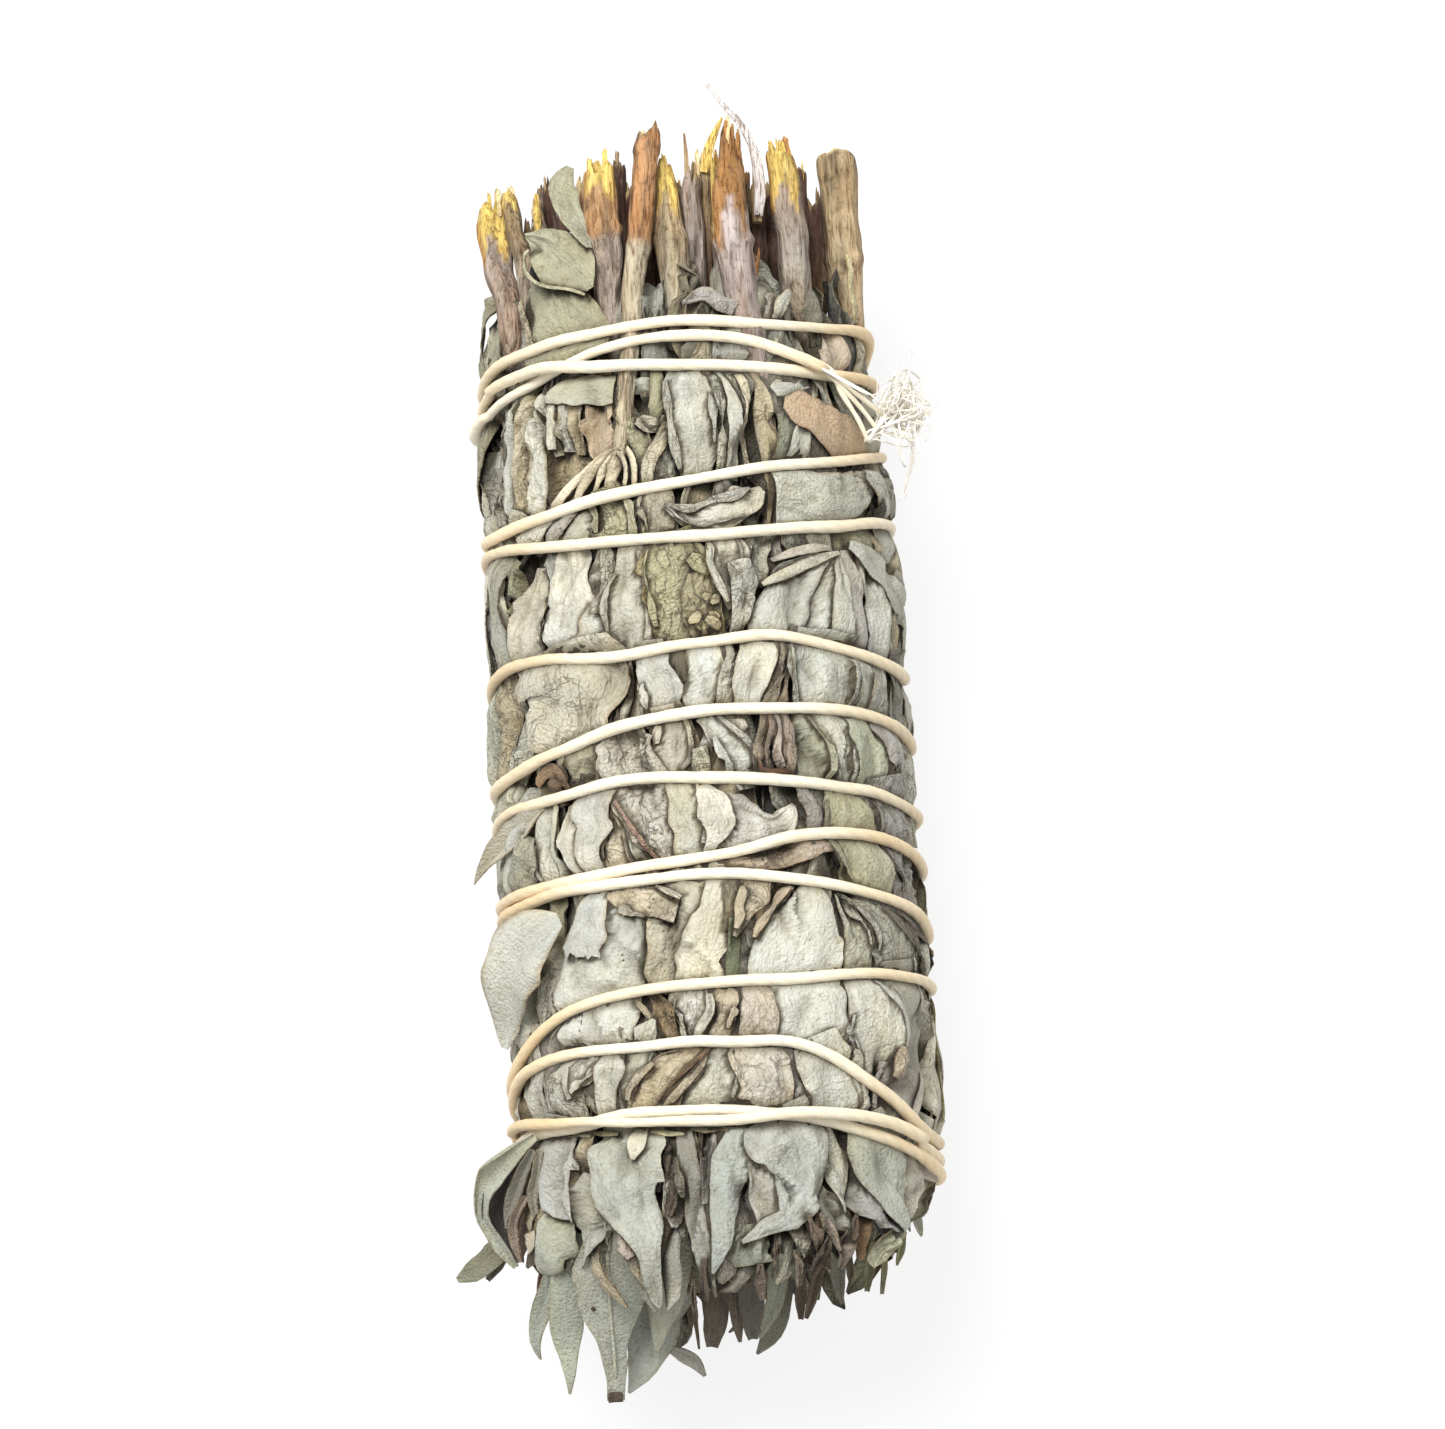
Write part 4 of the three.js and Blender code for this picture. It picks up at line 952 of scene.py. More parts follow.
    # painted shade in the hollows of the puckers, and painted highlight on their crests
    col = mix(nt, "MIX", ramp(nt, puck, [(0.32, 0.75), (0.47, 0.0)]), col, mix(nt, "MULTIPLY", 1.0, col, (0.66, 0.61, 0.50)))
    col = mix(nt, "MIX", ramp(nt, puck, [(0.56, 0.0), (0.74, 0.35)]), col, mix(nt, "SCREEN", 0.5, col, (0.30, 0.29, 0.25)))
    col = mix(nt, "MIX", math_node(nt, "MULTIPLY", net, 0.75), col, mix(nt, "MULTIPLY", 1.0, col, (0.54, 0.48, 0.37)))
    col = mix(nt, "MIX", math_node(nt, "MULTIPLY", svein, 0.55), col, mix(nt, "MULTIPLY", 1.0, col, (0.66, 0.60, 0.46)))
    col = mix(nt, "MIX", math_node(nt, "MULTIPLY", rib, 0.25), col, mix(nt, "SCREEN", 0.5, col, (0.40, 0.37, 0.26)))
    col = mix(nt, "MIX", math_node(nt, "MULTIPLY", rim, ramp(nt, blot2, [(0.42, 0.0), (0.60, 0.8)])), col, mix(nt, "MULTIPLY", 1.0, col, (0.52, 0.38, 0.28)))
    speck = nd(nt, "ShaderNodeTexVoronoi", feature="F1"); speck.inputs["Scale"].default_value = 560
    L.new(obj, speck.inputs["Vector"])
    col = mix(nt, "MIX", ramp(nt, speck.outputs["Distance"], [(0.0, 0.55), (0.075, 0.0)]), col, (0.16, 0.12, 0.07))
    col = mix(nt, "MULTIPLY", 0.35, col, ramp(nt, felt, [(0.2, 0.70), (0.8, 1.0)]))
    L.new(col, bsdf.inputs["Base Color"])
    bsdf.inputs["Roughness"].default_value = 0.85
    bsdf.inputs["Specular IOR Level"].default_value = 0.22
    bsdf.inputs["Sheen Weight"].default_value = 0.12
    bsdf.inputs["Sheen Roughness"].default_value = 0.5
    h = math_node(nt, "MULTIPLY", net, -0.55)
    h = math_node(nt, "ADD", h, math_node(nt, "MULTIPLY", svein, -0.6))
    h = math_node(nt, "ADD", h, math_node(nt, "MULTIPLY", rib, 0.25))
    h = math_node(nt, "ADD", h, math_node(nt, "MULTIPLY", blot2, 0.9))
    h = math_node(nt, "ADD", h, math_node(nt, "MULTIPLY", puck, 1.5))
    h = math_node(nt, "ADD", h, math_node(nt, "MULTIPLY", pinch, -1.3))
    pebble = nd(nt, "ShaderNodeTexVoronoi", feature="SMOOTH_F1", voronoi_dimensions="2D"); pebble.inputs["Scale"].default_value = 84
    L.new(wm.outputs[0], pebble.inputs["Vector"])
    h = math_node(nt, "ADD", h, math_node(nt, "MULTIPLY", pebble.outputs["Distance"], -1.0))
    h = math_node(nt, "ADD", h, math_node(nt, "MULTIPLY", felt, 0.22))
    b = nd(nt, "ShaderNodeBump")
    L.new(math_node(nt, "ADD", math_node(nt, "MULTIPLY", amt, 0.35), 0.68), b.inputs["Strength"])
    b.inputs["Distance"].default_value = 0.00015
    L.new(h, b.inputs["Height"])
    L.new(b.outputs[0], bsdf.inputs["Normal"])
    return m


def stem_material(name):
    m, nt, bsdf = new_material(name)
    L = nt.links
    tint = nd(nt, "ShaderNodeVertexColor", layer_name="tint").outputs["Color"]
    mm = nd(nt, "ShaderNodeUVMap", uv_map="mm").outputs[0]
    obj = nd(nt, "ShaderNodeTexCoord").outputs["Object"]
    st = nd(nt, "ShaderNodeMapping"); st.inputs["Scale"].default_value = (3400, 420, 3400)
    L.new(obj, st.inputs["Vector"])
    grain = noise(nt, st.outputs[0], 1.0, 3, 0.6)
    st2 = nd(nt, "ShaderNodeMapping"); st2.inputs["Scale"].default_value = (1500, 260, 1500)
    L.new(obj, st2.inputs["Vector"])
    flake = noise(nt, st2.outputs[0], 1.0, 4, 0.65)
    spots = noise(nt, obj, 1900, 3, 0.6)
    col = mix(nt, "MIX", ramp(nt, grain, [(0.34, 0.95), (0.52, 0.0)]), tint, mix(nt, "MULTIPLY", 1.0, tint, (0.42, 0.34, 0.28)))
    col = mix(nt, "MIX", ramp(nt, flake, [(0.52, 0.0), (0.70, 0.55)]), col, mix(nt, "SCREEN", 0.6, col, (0.30, 0.26, 0.20)))
    col = mix(nt, "MIX", ramp(nt, spots, [(0.32, 0.6), (0.44, 0.0)]), col, mix(nt, "MULTIPLY", 1.0, col, (0.42, 0.34, 0.30)))
    L.new(col, bsdf.inputs["Base Color"])
    bsdf.inputs["Roughness"].default_value = 0.78
    bsdf.inputs["Specular IOR Level"].default_value = 0.3
    h = math_node(nt, "ADD", math_node(nt, "MULTIPLY", grain, 1.0), math_node(nt, "MULTIPLY", flake, 0.8))
    b = nd(nt, "ShaderNodeBump")
    b.inputs["Strength"].default_value = 1.0
    b.inputs["Distance"].default_value = 0.00036
    L.new(h, b.inputs["Height"])
    L.new(b.outputs[0], bsdf.inputs["Normal"])
    return m


def twine_material(name):
    m, nt, bsdf = new_material(name)
    L = nt.links
    tint = nd(nt, "ShaderNodeVertexColor", layer_name="tint").outputs["Color"]
    mm = nd(nt, "ShaderNodeUVMap", uv_map="mm").outputs[0]
    obj = nd(nt, "ShaderNodeTexCoord").outputs["Object"]
    fib = noise(nt, obj, 5200, 3, 0.7)
    soil = noise(nt, obj, 330, 3, 0.6)
    col = mix(nt, "MIX", ramp(nt, fib, [(0.35, 0.28), (0.6, 0.0)]), tint, mix(nt, "MULTIPLY", 1.0, tint, (0.80, 0.70, 0.52)))
    col = mix(nt, "MIX", ramp(nt, soil, [(0.45, 0.0), (0.70, 0.34)]), col, mix(nt, "MULTIPLY", 1.0, col, (0.90, 0.80, 0.60)))
    L.new(col, bsdf.inputs["Base Color"])
    bsdf.inputs["Roughness"].default_value = 0.62
    bsdf.inputs["Specular IOR Level"].default_value = 0.35
    bsdf.inputs["Sheen Weight"].default_value = 0.15
    b = nd(nt, "ShaderNodeBump")
    b.inputs["Strength"].default_value = 0.7
    b.inputs["Distance"].default_value = 0.00010
    L.new(fib, b.inputs["Height"])
    L.new(b.outputs[0], bsdf.inputs["Normal"])
    return m


M_LEAF = leaf_material("sage_leaf", gain=0.915)
# the inner leaves' material is darker: painted shade
M_INNER = leaf_material("sage_leaf_inner", gain=0.80)
M_STEM = stem_material("sage_stem")
M_TWINE = twine_material("twine")

# ------------------------------------------------------------------ twine
def build_twine():
    pc = Piece("twine_binding")
    phi = np.arange(TWINE_START + 33.0, TWINE_END, 2.6)
    n = len(phi)
    y = twine_y(phi) + noise1(n, 16, RNG, 0.085) + noise1(n, 5, RNG, 0.045)
    off = -TWINE_R - 0.02 + twine_lift(phi) + noise1(n, 16, RNG, 0.03) + noise1(n, 5, RNG, 0.015)
    p = surf(np.mod(phi, 360), y, off)
    p[:, 2] = np.maximum(p[:, 2], TWINE_R + 0.05)
    s = np.concatenate([[0], np.cumsum(np.linalg.norm(np.diff(p, axis=0), axis=1))])
    t, a, b = frames(p)
    sides = 12
    ang = np.linspace(0, 2 * math.pi, sides, endpoint=False)
    A, S = np.meshgrid(ang, s)
    lay = 2 * math.pi * S / 5.2
    plump = 1 + noise1(n, 14, RNG, 0.06)[:, None] + noise1(n, 4, RNG, 0.04)[:, None]
    # three plies: round on the outside, a groove between each two
    r = 0.47 * plump * (0.91 + 0.09 * np.abs(np.cos(1.5 * (A - lay))) ** 0.7)
    r[0] *= 0.7; r[-1] *= 0.5
    v, f, uv, mm = tube(p, r, sides)
    base = lin((250, 242, 220))
    # the grooves between the plies are painted darker: painted shade
    groove = ((r / (0.47 * plump) - 0.91) / 0.09).clip(0, 1)
    # tan towards the sides of the bunch, which turn from the light: painted shade; and a little tan here and there at
    # random, its own tone
    tan = np.clip(sstep((np.abs(p[:, 0]) - 7.5) / 7.5) * np.clip(0.85 + noise1(n, 40, RNG, 0.35), 0.2, 1.2) + np.clip(noise1(n, 55, RNG, 0.22), 0, 0.35), 0, 1.2)[:, None, None] * np.array([0.12, 0.24, 0.40])
    col = base * (1 - tan) * (0.84 + 0.16 * groove)[..., None] * (1 + noise1(n, 30, RNG, 0.03))[:, None, None]
    col = col.reshape(-1, 3)
    col = np.vstack([col, col[:1], col[-1:]])
    pc.add(v, f, uv, mm, np.clip(col, 0, 1))
    ob = pc.build(M_TWINE, "twine", ["binding_twine"], sharp=0)
    print("twine length mm", s[-1])
    # the free end comes apart into its plies, and these into white fibres
    pf = Piece("twine_frayed_end")
    rg = np.random.default_rng(21)

    def at(px_, py_, z_):
        d = cam_f + cam_r * ((px_ - CX) / FOC) - cam_u * ((py_ - CY) / FOC)
        return cam_c + d * ((z_ - cam_c[2]) / d[2])

    ends = []
    for k, (ex, ey, ez) in enumerate([(868, 441, 24.6), (879, 432, 24.2), (887, 419, 24.0)]):
        g = k * 2.1
        q = [p[8] + (a[8] * math.cos(g) + b[8] * math.sin(g)) * 0.20, p[4] + (a[4] * math.cos(g + 0.8) + b[4] * math.sin(g + 0.8)) * 0.24, p[0] + (a[0] * math.cos(g + 1.6) + b[0] * math.sin(g + 1.6)) * 0.26]
        e = at(ex, ey, ez)
        for w in (0.35, 0.7):
            q.append(p[0] * (1 - w) + e * w + rg.normal(0, 0.10, 3) + np.array([0, 0, 0.25]))
        q.append(e)
        ends.append(e)
        q, _ = resample(np.hstack([np.array(q), np.zeros((6, 1))]), 0.25)
        m = len(q)
        vv, ff, uu, m2 = tube(q[:, :3], 0.25 * np.linspace(1.0, 0.72, m) * (1 + noise1(m, 4, rg, 0.10)), 8)
        pf.add(vv, ff, uu, m2, lin((246, 238, 214)) * rg.uniform(0.92, 1.0))
    for k in range(34):
        e = ends[k % 3] + rg.normal(0, 0.12, 3)
        n_ = int(rg.integers(3, 6))
        cx_, cy_ = rg.normal(905, 9), rg.normal(402, 17)
        g, turn = rg.random() * 6.28, rg.choice([-1, 1]) * rg.uniform(1.2, 2.3)
        q = [e, (e * 0.6 + at(892, 415, 24.5) * 0.4) + rg.normal(0, 0.3, 3)]
        for j in range(n_):  # loose loops
            r_ = rg.uniform(7, 19)
            q.append(at(cx_ + r_ * math.cos(g + j * turn), cy_ + 1.4 * r_ * math.sin(g + j * turn), rg.uniform(21.5, 26.5)))
        q, _ = resample(np.hstack([np.array(q), np.zeros((len(q), 1))]), 0.26)
        m = len(q)
        vv, ff, uu, m2 = tube(q[:, :3], rg.uniform(0.062, 0.115) * (1 + noise1(m, 5, rg, 0.12)) * np.linspace(1.1, 0.6, m), 6)
        pf.add(vv, ff, uu, m2, lin((252, 249, 240)) * rg.uniform(0.88, 1.0))
    for k in range(7):  # a strand that hangs down, and a few that stick out
        if k < 5:
            q = [ends[1], at(900, 436, 23.5), at(912, 442 + rg.normal(0, 2), 22.8), at(912 + rg.normal(0, 2), 462, 22.0), at(908 + rg.normal(0, 2), 480, 21.2), at(904 + rg.normal(0, 2.0), 496 + rg.normal(0, 3), 20.6)]
        else:
            q = [p[2], at(866 + rg.normal(0, 2), 393, 27.0), at(880, 392 + rg.normal(0, 5), 26.0), at(894, 384 + rg.normal(0, 8), 25.0), at(886 + 12 * (k - 5), 366, 24.5)]
        q, _ = resample(np.hstack([np.array(q), np.zeros((len(q), 1))]), 0.26)
        m = len(q)
        vv, ff, uu, m2 = tube(q[:, :3] + rg.normal(0, 0.06, 3), rg.uniform(0.08, 0.11) * np.linspace(1.1, 0.35, m), 6)
        pf.add(vv, ff, uu, m2, lin((250, 248, 242)))
    pf.build(M_TWINE, "twine", [], sharp=0)
    return p


TW_P = build_twine()


# ------------------------------------------------------------------ pieces for the CAD leaf nodes
NODE_AT = []
for _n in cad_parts:
    if "leaf" in _n:
        lo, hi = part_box(_n)
        cx, cy, cz = [(lo[k] + hi[k]) / 2 * 1000 for k in range(3)]
        NODE_AT.append((_n, float(q_of(math.degrees(math.atan2((cz - AXIS_Z) / 15.3, (cx + ORIGIN[0]) / 17.0)) % 360)), cy + ORIGIN[1]))
CLUSTER = {n: Piece("leaves_" + n) for n, _, _ in NODE_AT}
CLUSTER_COUNT = {n: 0 for n in CLUSTER}


def cluster(q, y):
    best, name = 1e9, None
    for n, nq, ny in NODE_AT:
        dq = (q - nq + Q_TURN / 2) % Q_TURN - Q_TURN / 2
        d = (dq / 6.0) ** 2 + ((y - ny) / 10.0) ** 2
        if d < best:
            best, name = d, n
    CLUSTER_COUNT[name] += 1
    return CLUSTER[name]


# ------------------------------------------------------------------ the sprigs inside the wrap
SPRIGS = [
    [-12.2, 1.0, -14.4, 46.7, 2.0, 1.15], [-10.2, 5.3, -12.2, 48.0, 4.5, 0.9], [-6.6, 8.9, -5.6, 46.0, 11.4, 1.25],
    [-2.6, 10.3, -1.4, 48.1, 13.0, 1.15], [0.9, 9.9, 0.9, 45.8, 11.6, 0.95], [4.6, 9.6, 5.3, 47.8, 11.7, 1.3],
    [8.5, 7.6, 9.4, 47.2, 9.6, 1.2], [12.0, 1.5, 14.0, 49.9, 1.2, 1.45], [9.6, 3.2, 11.3, 47.3, 4.4, 0.8],
    [-7.4, 3.4, -9.0, 47.3, 5.2, 0.8], [-3.6, 5.2, -3.6, 47.6, 8.6, 0.75], [1.9, 5.0, 3.0, 46.5, 8.2, 0.75],
    [5.8, 3.0, 6.8, 45.5, 5.0, 0.9], [-1.0, 0.5, -0.5, 46.8, 2.5, 1.0], [3.6, -2.0, 4.0, 45.2, -2.0, 0.9],
    [-5.6, -2.0, -6.5, 46.5, -1.5, 1.1], [-9.8, -4.6, -11.0, 45.0, -4.0, 1.1], [-5.4, -8.6, -6.2, 46.3, -9.0, 1.2],
    [0.0, -8.4, 0.3, 44.8, -8.9, 1.3], [5.8, -7.8, 6.4, 46.2, -8.3, 1.1], [10.2, -4.0, 11.8, 45.4, -4.6, 1.2]]


def sprig_bodies():
    rays = 26
    A, B = np.interp(10, HW[:, 0], HW[:, 1]) - 2.95, np.interp(10, HH[:, 0], HH[:, 1]) - 2.95
    for i, (x, z, *_r) in enumerate(SPRIGS):
        rg = np.random.default_rng(100 + i)
        an = np.linspace(0, 2 * math.pi, rays, endpoint=False)
        dx, dz = np.cos(an), np.sin(an)
        qa = (dx / A) ** 2 + (dz / B) ** 2
        qb = 2 * (x * dx / A ** 2 + z * dz / B ** 2)
        qc = (x / A) ** 2 + (z / B) ** 2 - 1
        r = (-qb + np.sqrt(qb * qb - 4 * qa * qc)) / (2 * qa)
        for j, o in enumerate(SPRIGS):
            if j != i:
                ex, ez = o[0] - x, o[1] - z
                L = math.hypot(ex, ez)
                c = (dx * ex + dz * ez) / L
                r = np.where(c > 1e-6, np.minimum(r, (L / 2 - 0.12) / np.maximum(c, 1e-6)), r)
        ys = np.arange(-35.0 + rg.uniform(-1, 1), 34.0 + rg.uniform(-1.5, 1.0), 1.25)
        rows = []
        for y in ys:
            t = float(tuft(y))
            sx, sz = (np.interp(y, HW[:, 0], HW[:, 1]) * t - 2.95) / A, (np.interp(y, HH[:, 0], HH[:, 1]) * t - 2.95) / B
            e = min((y - ys[0]) / 6.0, (ys[-1] - y) / 3.5, 1.0)
            k = 0.25 + 0.75 * math.sqrt(max(0.0, 1 - (1 - e) ** 2))
            rr = r * k
            ridge = noise3(np.stack([np.cos(an) * 2.6 + i * 3.1, np.sin(an) * 2.6, np.full(rays, y * 0.10)], -1), 1.0)
            rr = rr * (0.90 + 0.10 * ridge)
            rows.append(np.stack([(x + dx * rr) * sx, np.full(rays, y), AXIS_Z + (z + dz * rr) * sz], -1))
        rows = np.array(rows)
        n = len(ys)
        v = rows.reshape(-1, 3)
        ii, jj = np.meshgrid(np.arange(n - 1), np.arange(rays), indexing="ij")
        a = (ii * rays + jj).ravel(); b = (ii * rays + (jj + 1) % rays).ravel()
        f = list(zip(a, a + rays, b + rays, b))
        c0, c1 = len(v), len(v) + 1
        v = np.vstack([v, v[:rays].mean(0), v[-rays:].mean(0)])
        kk = np.arange(rays)
        f += list(zip(np.full(rays, c0), kk, (kk + 1) % rays))
        m = (n - 1) * rays
        f += list(zip(np.full(rays, c1), m + (kk + 1) % rays, m + kk))
        uv = np.vstack([np.stack([np.tile(kk / rays, n), np.repeat(np.linspace(0, 1, n), rays)], 1), [[0, 0]], [[0, 1]]])
        mm = np.vstack([np.stack([np.tile(kk / rays * 0.9, n), np.repeat(ys * 0.05, rays)], 1), [[0, 0]], [[0, 1]]])
        pc = Piece("sprig_foliage_%02d" % (i + 1))
        # the foliage body is coloured dark for the shade deep in the bunch: painted shade
        pc.add(v, f, uv, mm, lin((108, 102, 86)) * rg.uniform(0.8, 1.1))
        if i == 13:  # the middle sprig is packed tight: nothing is seen through the bunch
            rings = np.linspace(-6, 6, 9)
            an2 = np.linspace(0, 2 * math.pi, 24, endpoint=False)
            v2 = np.concatenate([np.stack([A * 0.84 * math.sqrt(1 - (y_ / 6.6) ** 2) * np.cos(an2), np.full(24, y_), AXIS_Z + B * 0.84 * math.sqrt(1 - (y_ / 6.6) ** 2) * np.sin(an2)], -1) for y_ in rings])
            f2 = [(a_ * 24 + b_, (a_ + 1) * 24 + b_, (a_ + 1) * 24 + (b_ + 1) % 24, a_ * 24 + (b_ + 1) % 24) for a_ in range(8) for b_ in range(24)]
            v2 = np.vstack([v2, [[0, -6.3, AXIS_Z], [0, 6.3, AXIS_Z]]])
            f2 += [(216, b_, (b_ + 1) % 24) for b_ in range(24)] + [(217, 192 + (b_ + 1) % 24, 192 + b_) for b_ in range(24)]
            # the packed core is coloured darker still: painted shade
            pc.add(v2, f2, np.zeros((218, 2)), v2[:, :2] * 0.05, lin((108, 102, 86)) * 0.6)
        # leaves of this sprig that end in the tuft, and a few at the stem end
        for k in range(14):
            rad = math.sqrt(rg.random()) * 2.6
            g = rg.random() * 6.28
            bx, bz = x * 0.98 + rad * math.cos(g), z * 0.98 + rad * math.sin(g)
            lean = rg.normal(0, 1.0 if k < 6 else 1.9, 2) + np.array([x, z]) * 0.03
            end = max(-rg.uniform(40.0 if k < 6 else 41.5, 45.0), float(np.interp(x, [-15, -10, 0, 8, 12, 15], [-40, -44, -44, -41.5, -39, -36])) + 1.5 - (0.8 if k > 5 and z > -6 else 0.0))
            t = 1 - 0.40 * sstep((-40 - end) / 14)
            tx, tz = (bx + lean[0]) * t, (bz + lean[1]) * t
            far_ = math.hypot(tx / 10.8, (tz + 0.8) / 8.6) / (1 - 0.25 * sstep((-41 - end) / 5))
            lim_ = 0.78 if tz > 0 else 1.02
            if far_ > lim_:  # it stays behind the leaves of the tuft
                tx, tz = tx * lim_ / far_, tz * lim_ / far_
            W = rg.uniform(1.5, 3.1) if k < 6 else rg.uniform(1.4, 2.8)
            up = np.array([x + rg.normal(0, 5), 0, z + rg.normal(0, 5) + 0.1]); up /= np.linalg.norm(up)
            P = [(bx, -29.0, AXIS_Z + bz, W * 0.5), ((bx + tx) / 2 + rg.normal(0, 0.4), (-33 + end) / 2, AXIS_Z + (bz + tz) / 2 + rg.normal(0, 0.4), W), ((bx + 3 * tx) / 4, (-33 + 3 * end) / 4, AXIS_Z + (bz + 3 * tz) / 4, W * 0.85), (tx, end, AXIS_Z + tz - 0.06 * (-40 - end), 0.15)]
            free_leaf(pc, P, up, colour=rg.choice(["g", "g", "l", "d", "g", "l"]), fold=rg.uniform(-0.9, 0.9), cup=rg.uniform(-0.3, 0.6), rl=rg.uniform(-0.5, 1.6), rr=rg.uniform(-0.5, 1.6), twist=(rg.normal(0, 0.3), rg.normal(0, 0.7)), rng=rg, dark=rg.uniform(0.8, 1.1), nu=9, step=1.0)
        for k in range(2):
            g = rg.random() * 6.28
            rad = rg.uniform(1.2, 2.4)
            bx, bz = x + rad * math.cos(g), z + rad * math.sin(g)
            if bx * bx / 150 + bz * bz / 118 > 1:
                continue
            end = rg.uniform(33.0, 37.0)
            W = rg.uniform(0.7, 1.8)
            up = np.array([math.cos(g), 0, math.sin(g)])
            P = [(bx, 27.0, AXIS_Z + bz, W * 0.8), (bx * 1.01 + rg.normal(0, 0.3), (27 + end) / 2, AXIS_Z + bz * 1.01, W), (bx * 1.02 + rg.normal(0, 0.8), end, AXIS_Z + bz * 1.02 + rg.normal(0, 0.8), W * 0.3)]
            # painted shade: the leaves between the stems are darkened
            free_leaf(pc, P, up, colour=rg.choice(["g", "g", "o", "t", "d"]), fold=rg.uniform(0, 1.0), cup=rg.uniform(-0.2, 0.8), rl=rg.uniform(0, 1.8), rr=rg.uniform(0, 1.8), rng=rg, dark=0.45, nu=7, step=1.0)
        pc.build(M_INNER, "sage_leaf", ["sprig_%02d" % (i + 1)])


sprig_bodies()

# ------------------------------------------------------------------ woody stems
def px_path(pts):
    """(x, y) in the photograph's pixels, depth under the outer surface in mm, radius in mm."""
    out = []
    for x, y, d, r in pts:
        q, yy = pixel(x, y, -d)
        p = surf(deg_of(q), yy, -d)
        out.append((p[0], p[1], p[2], r))
    return out


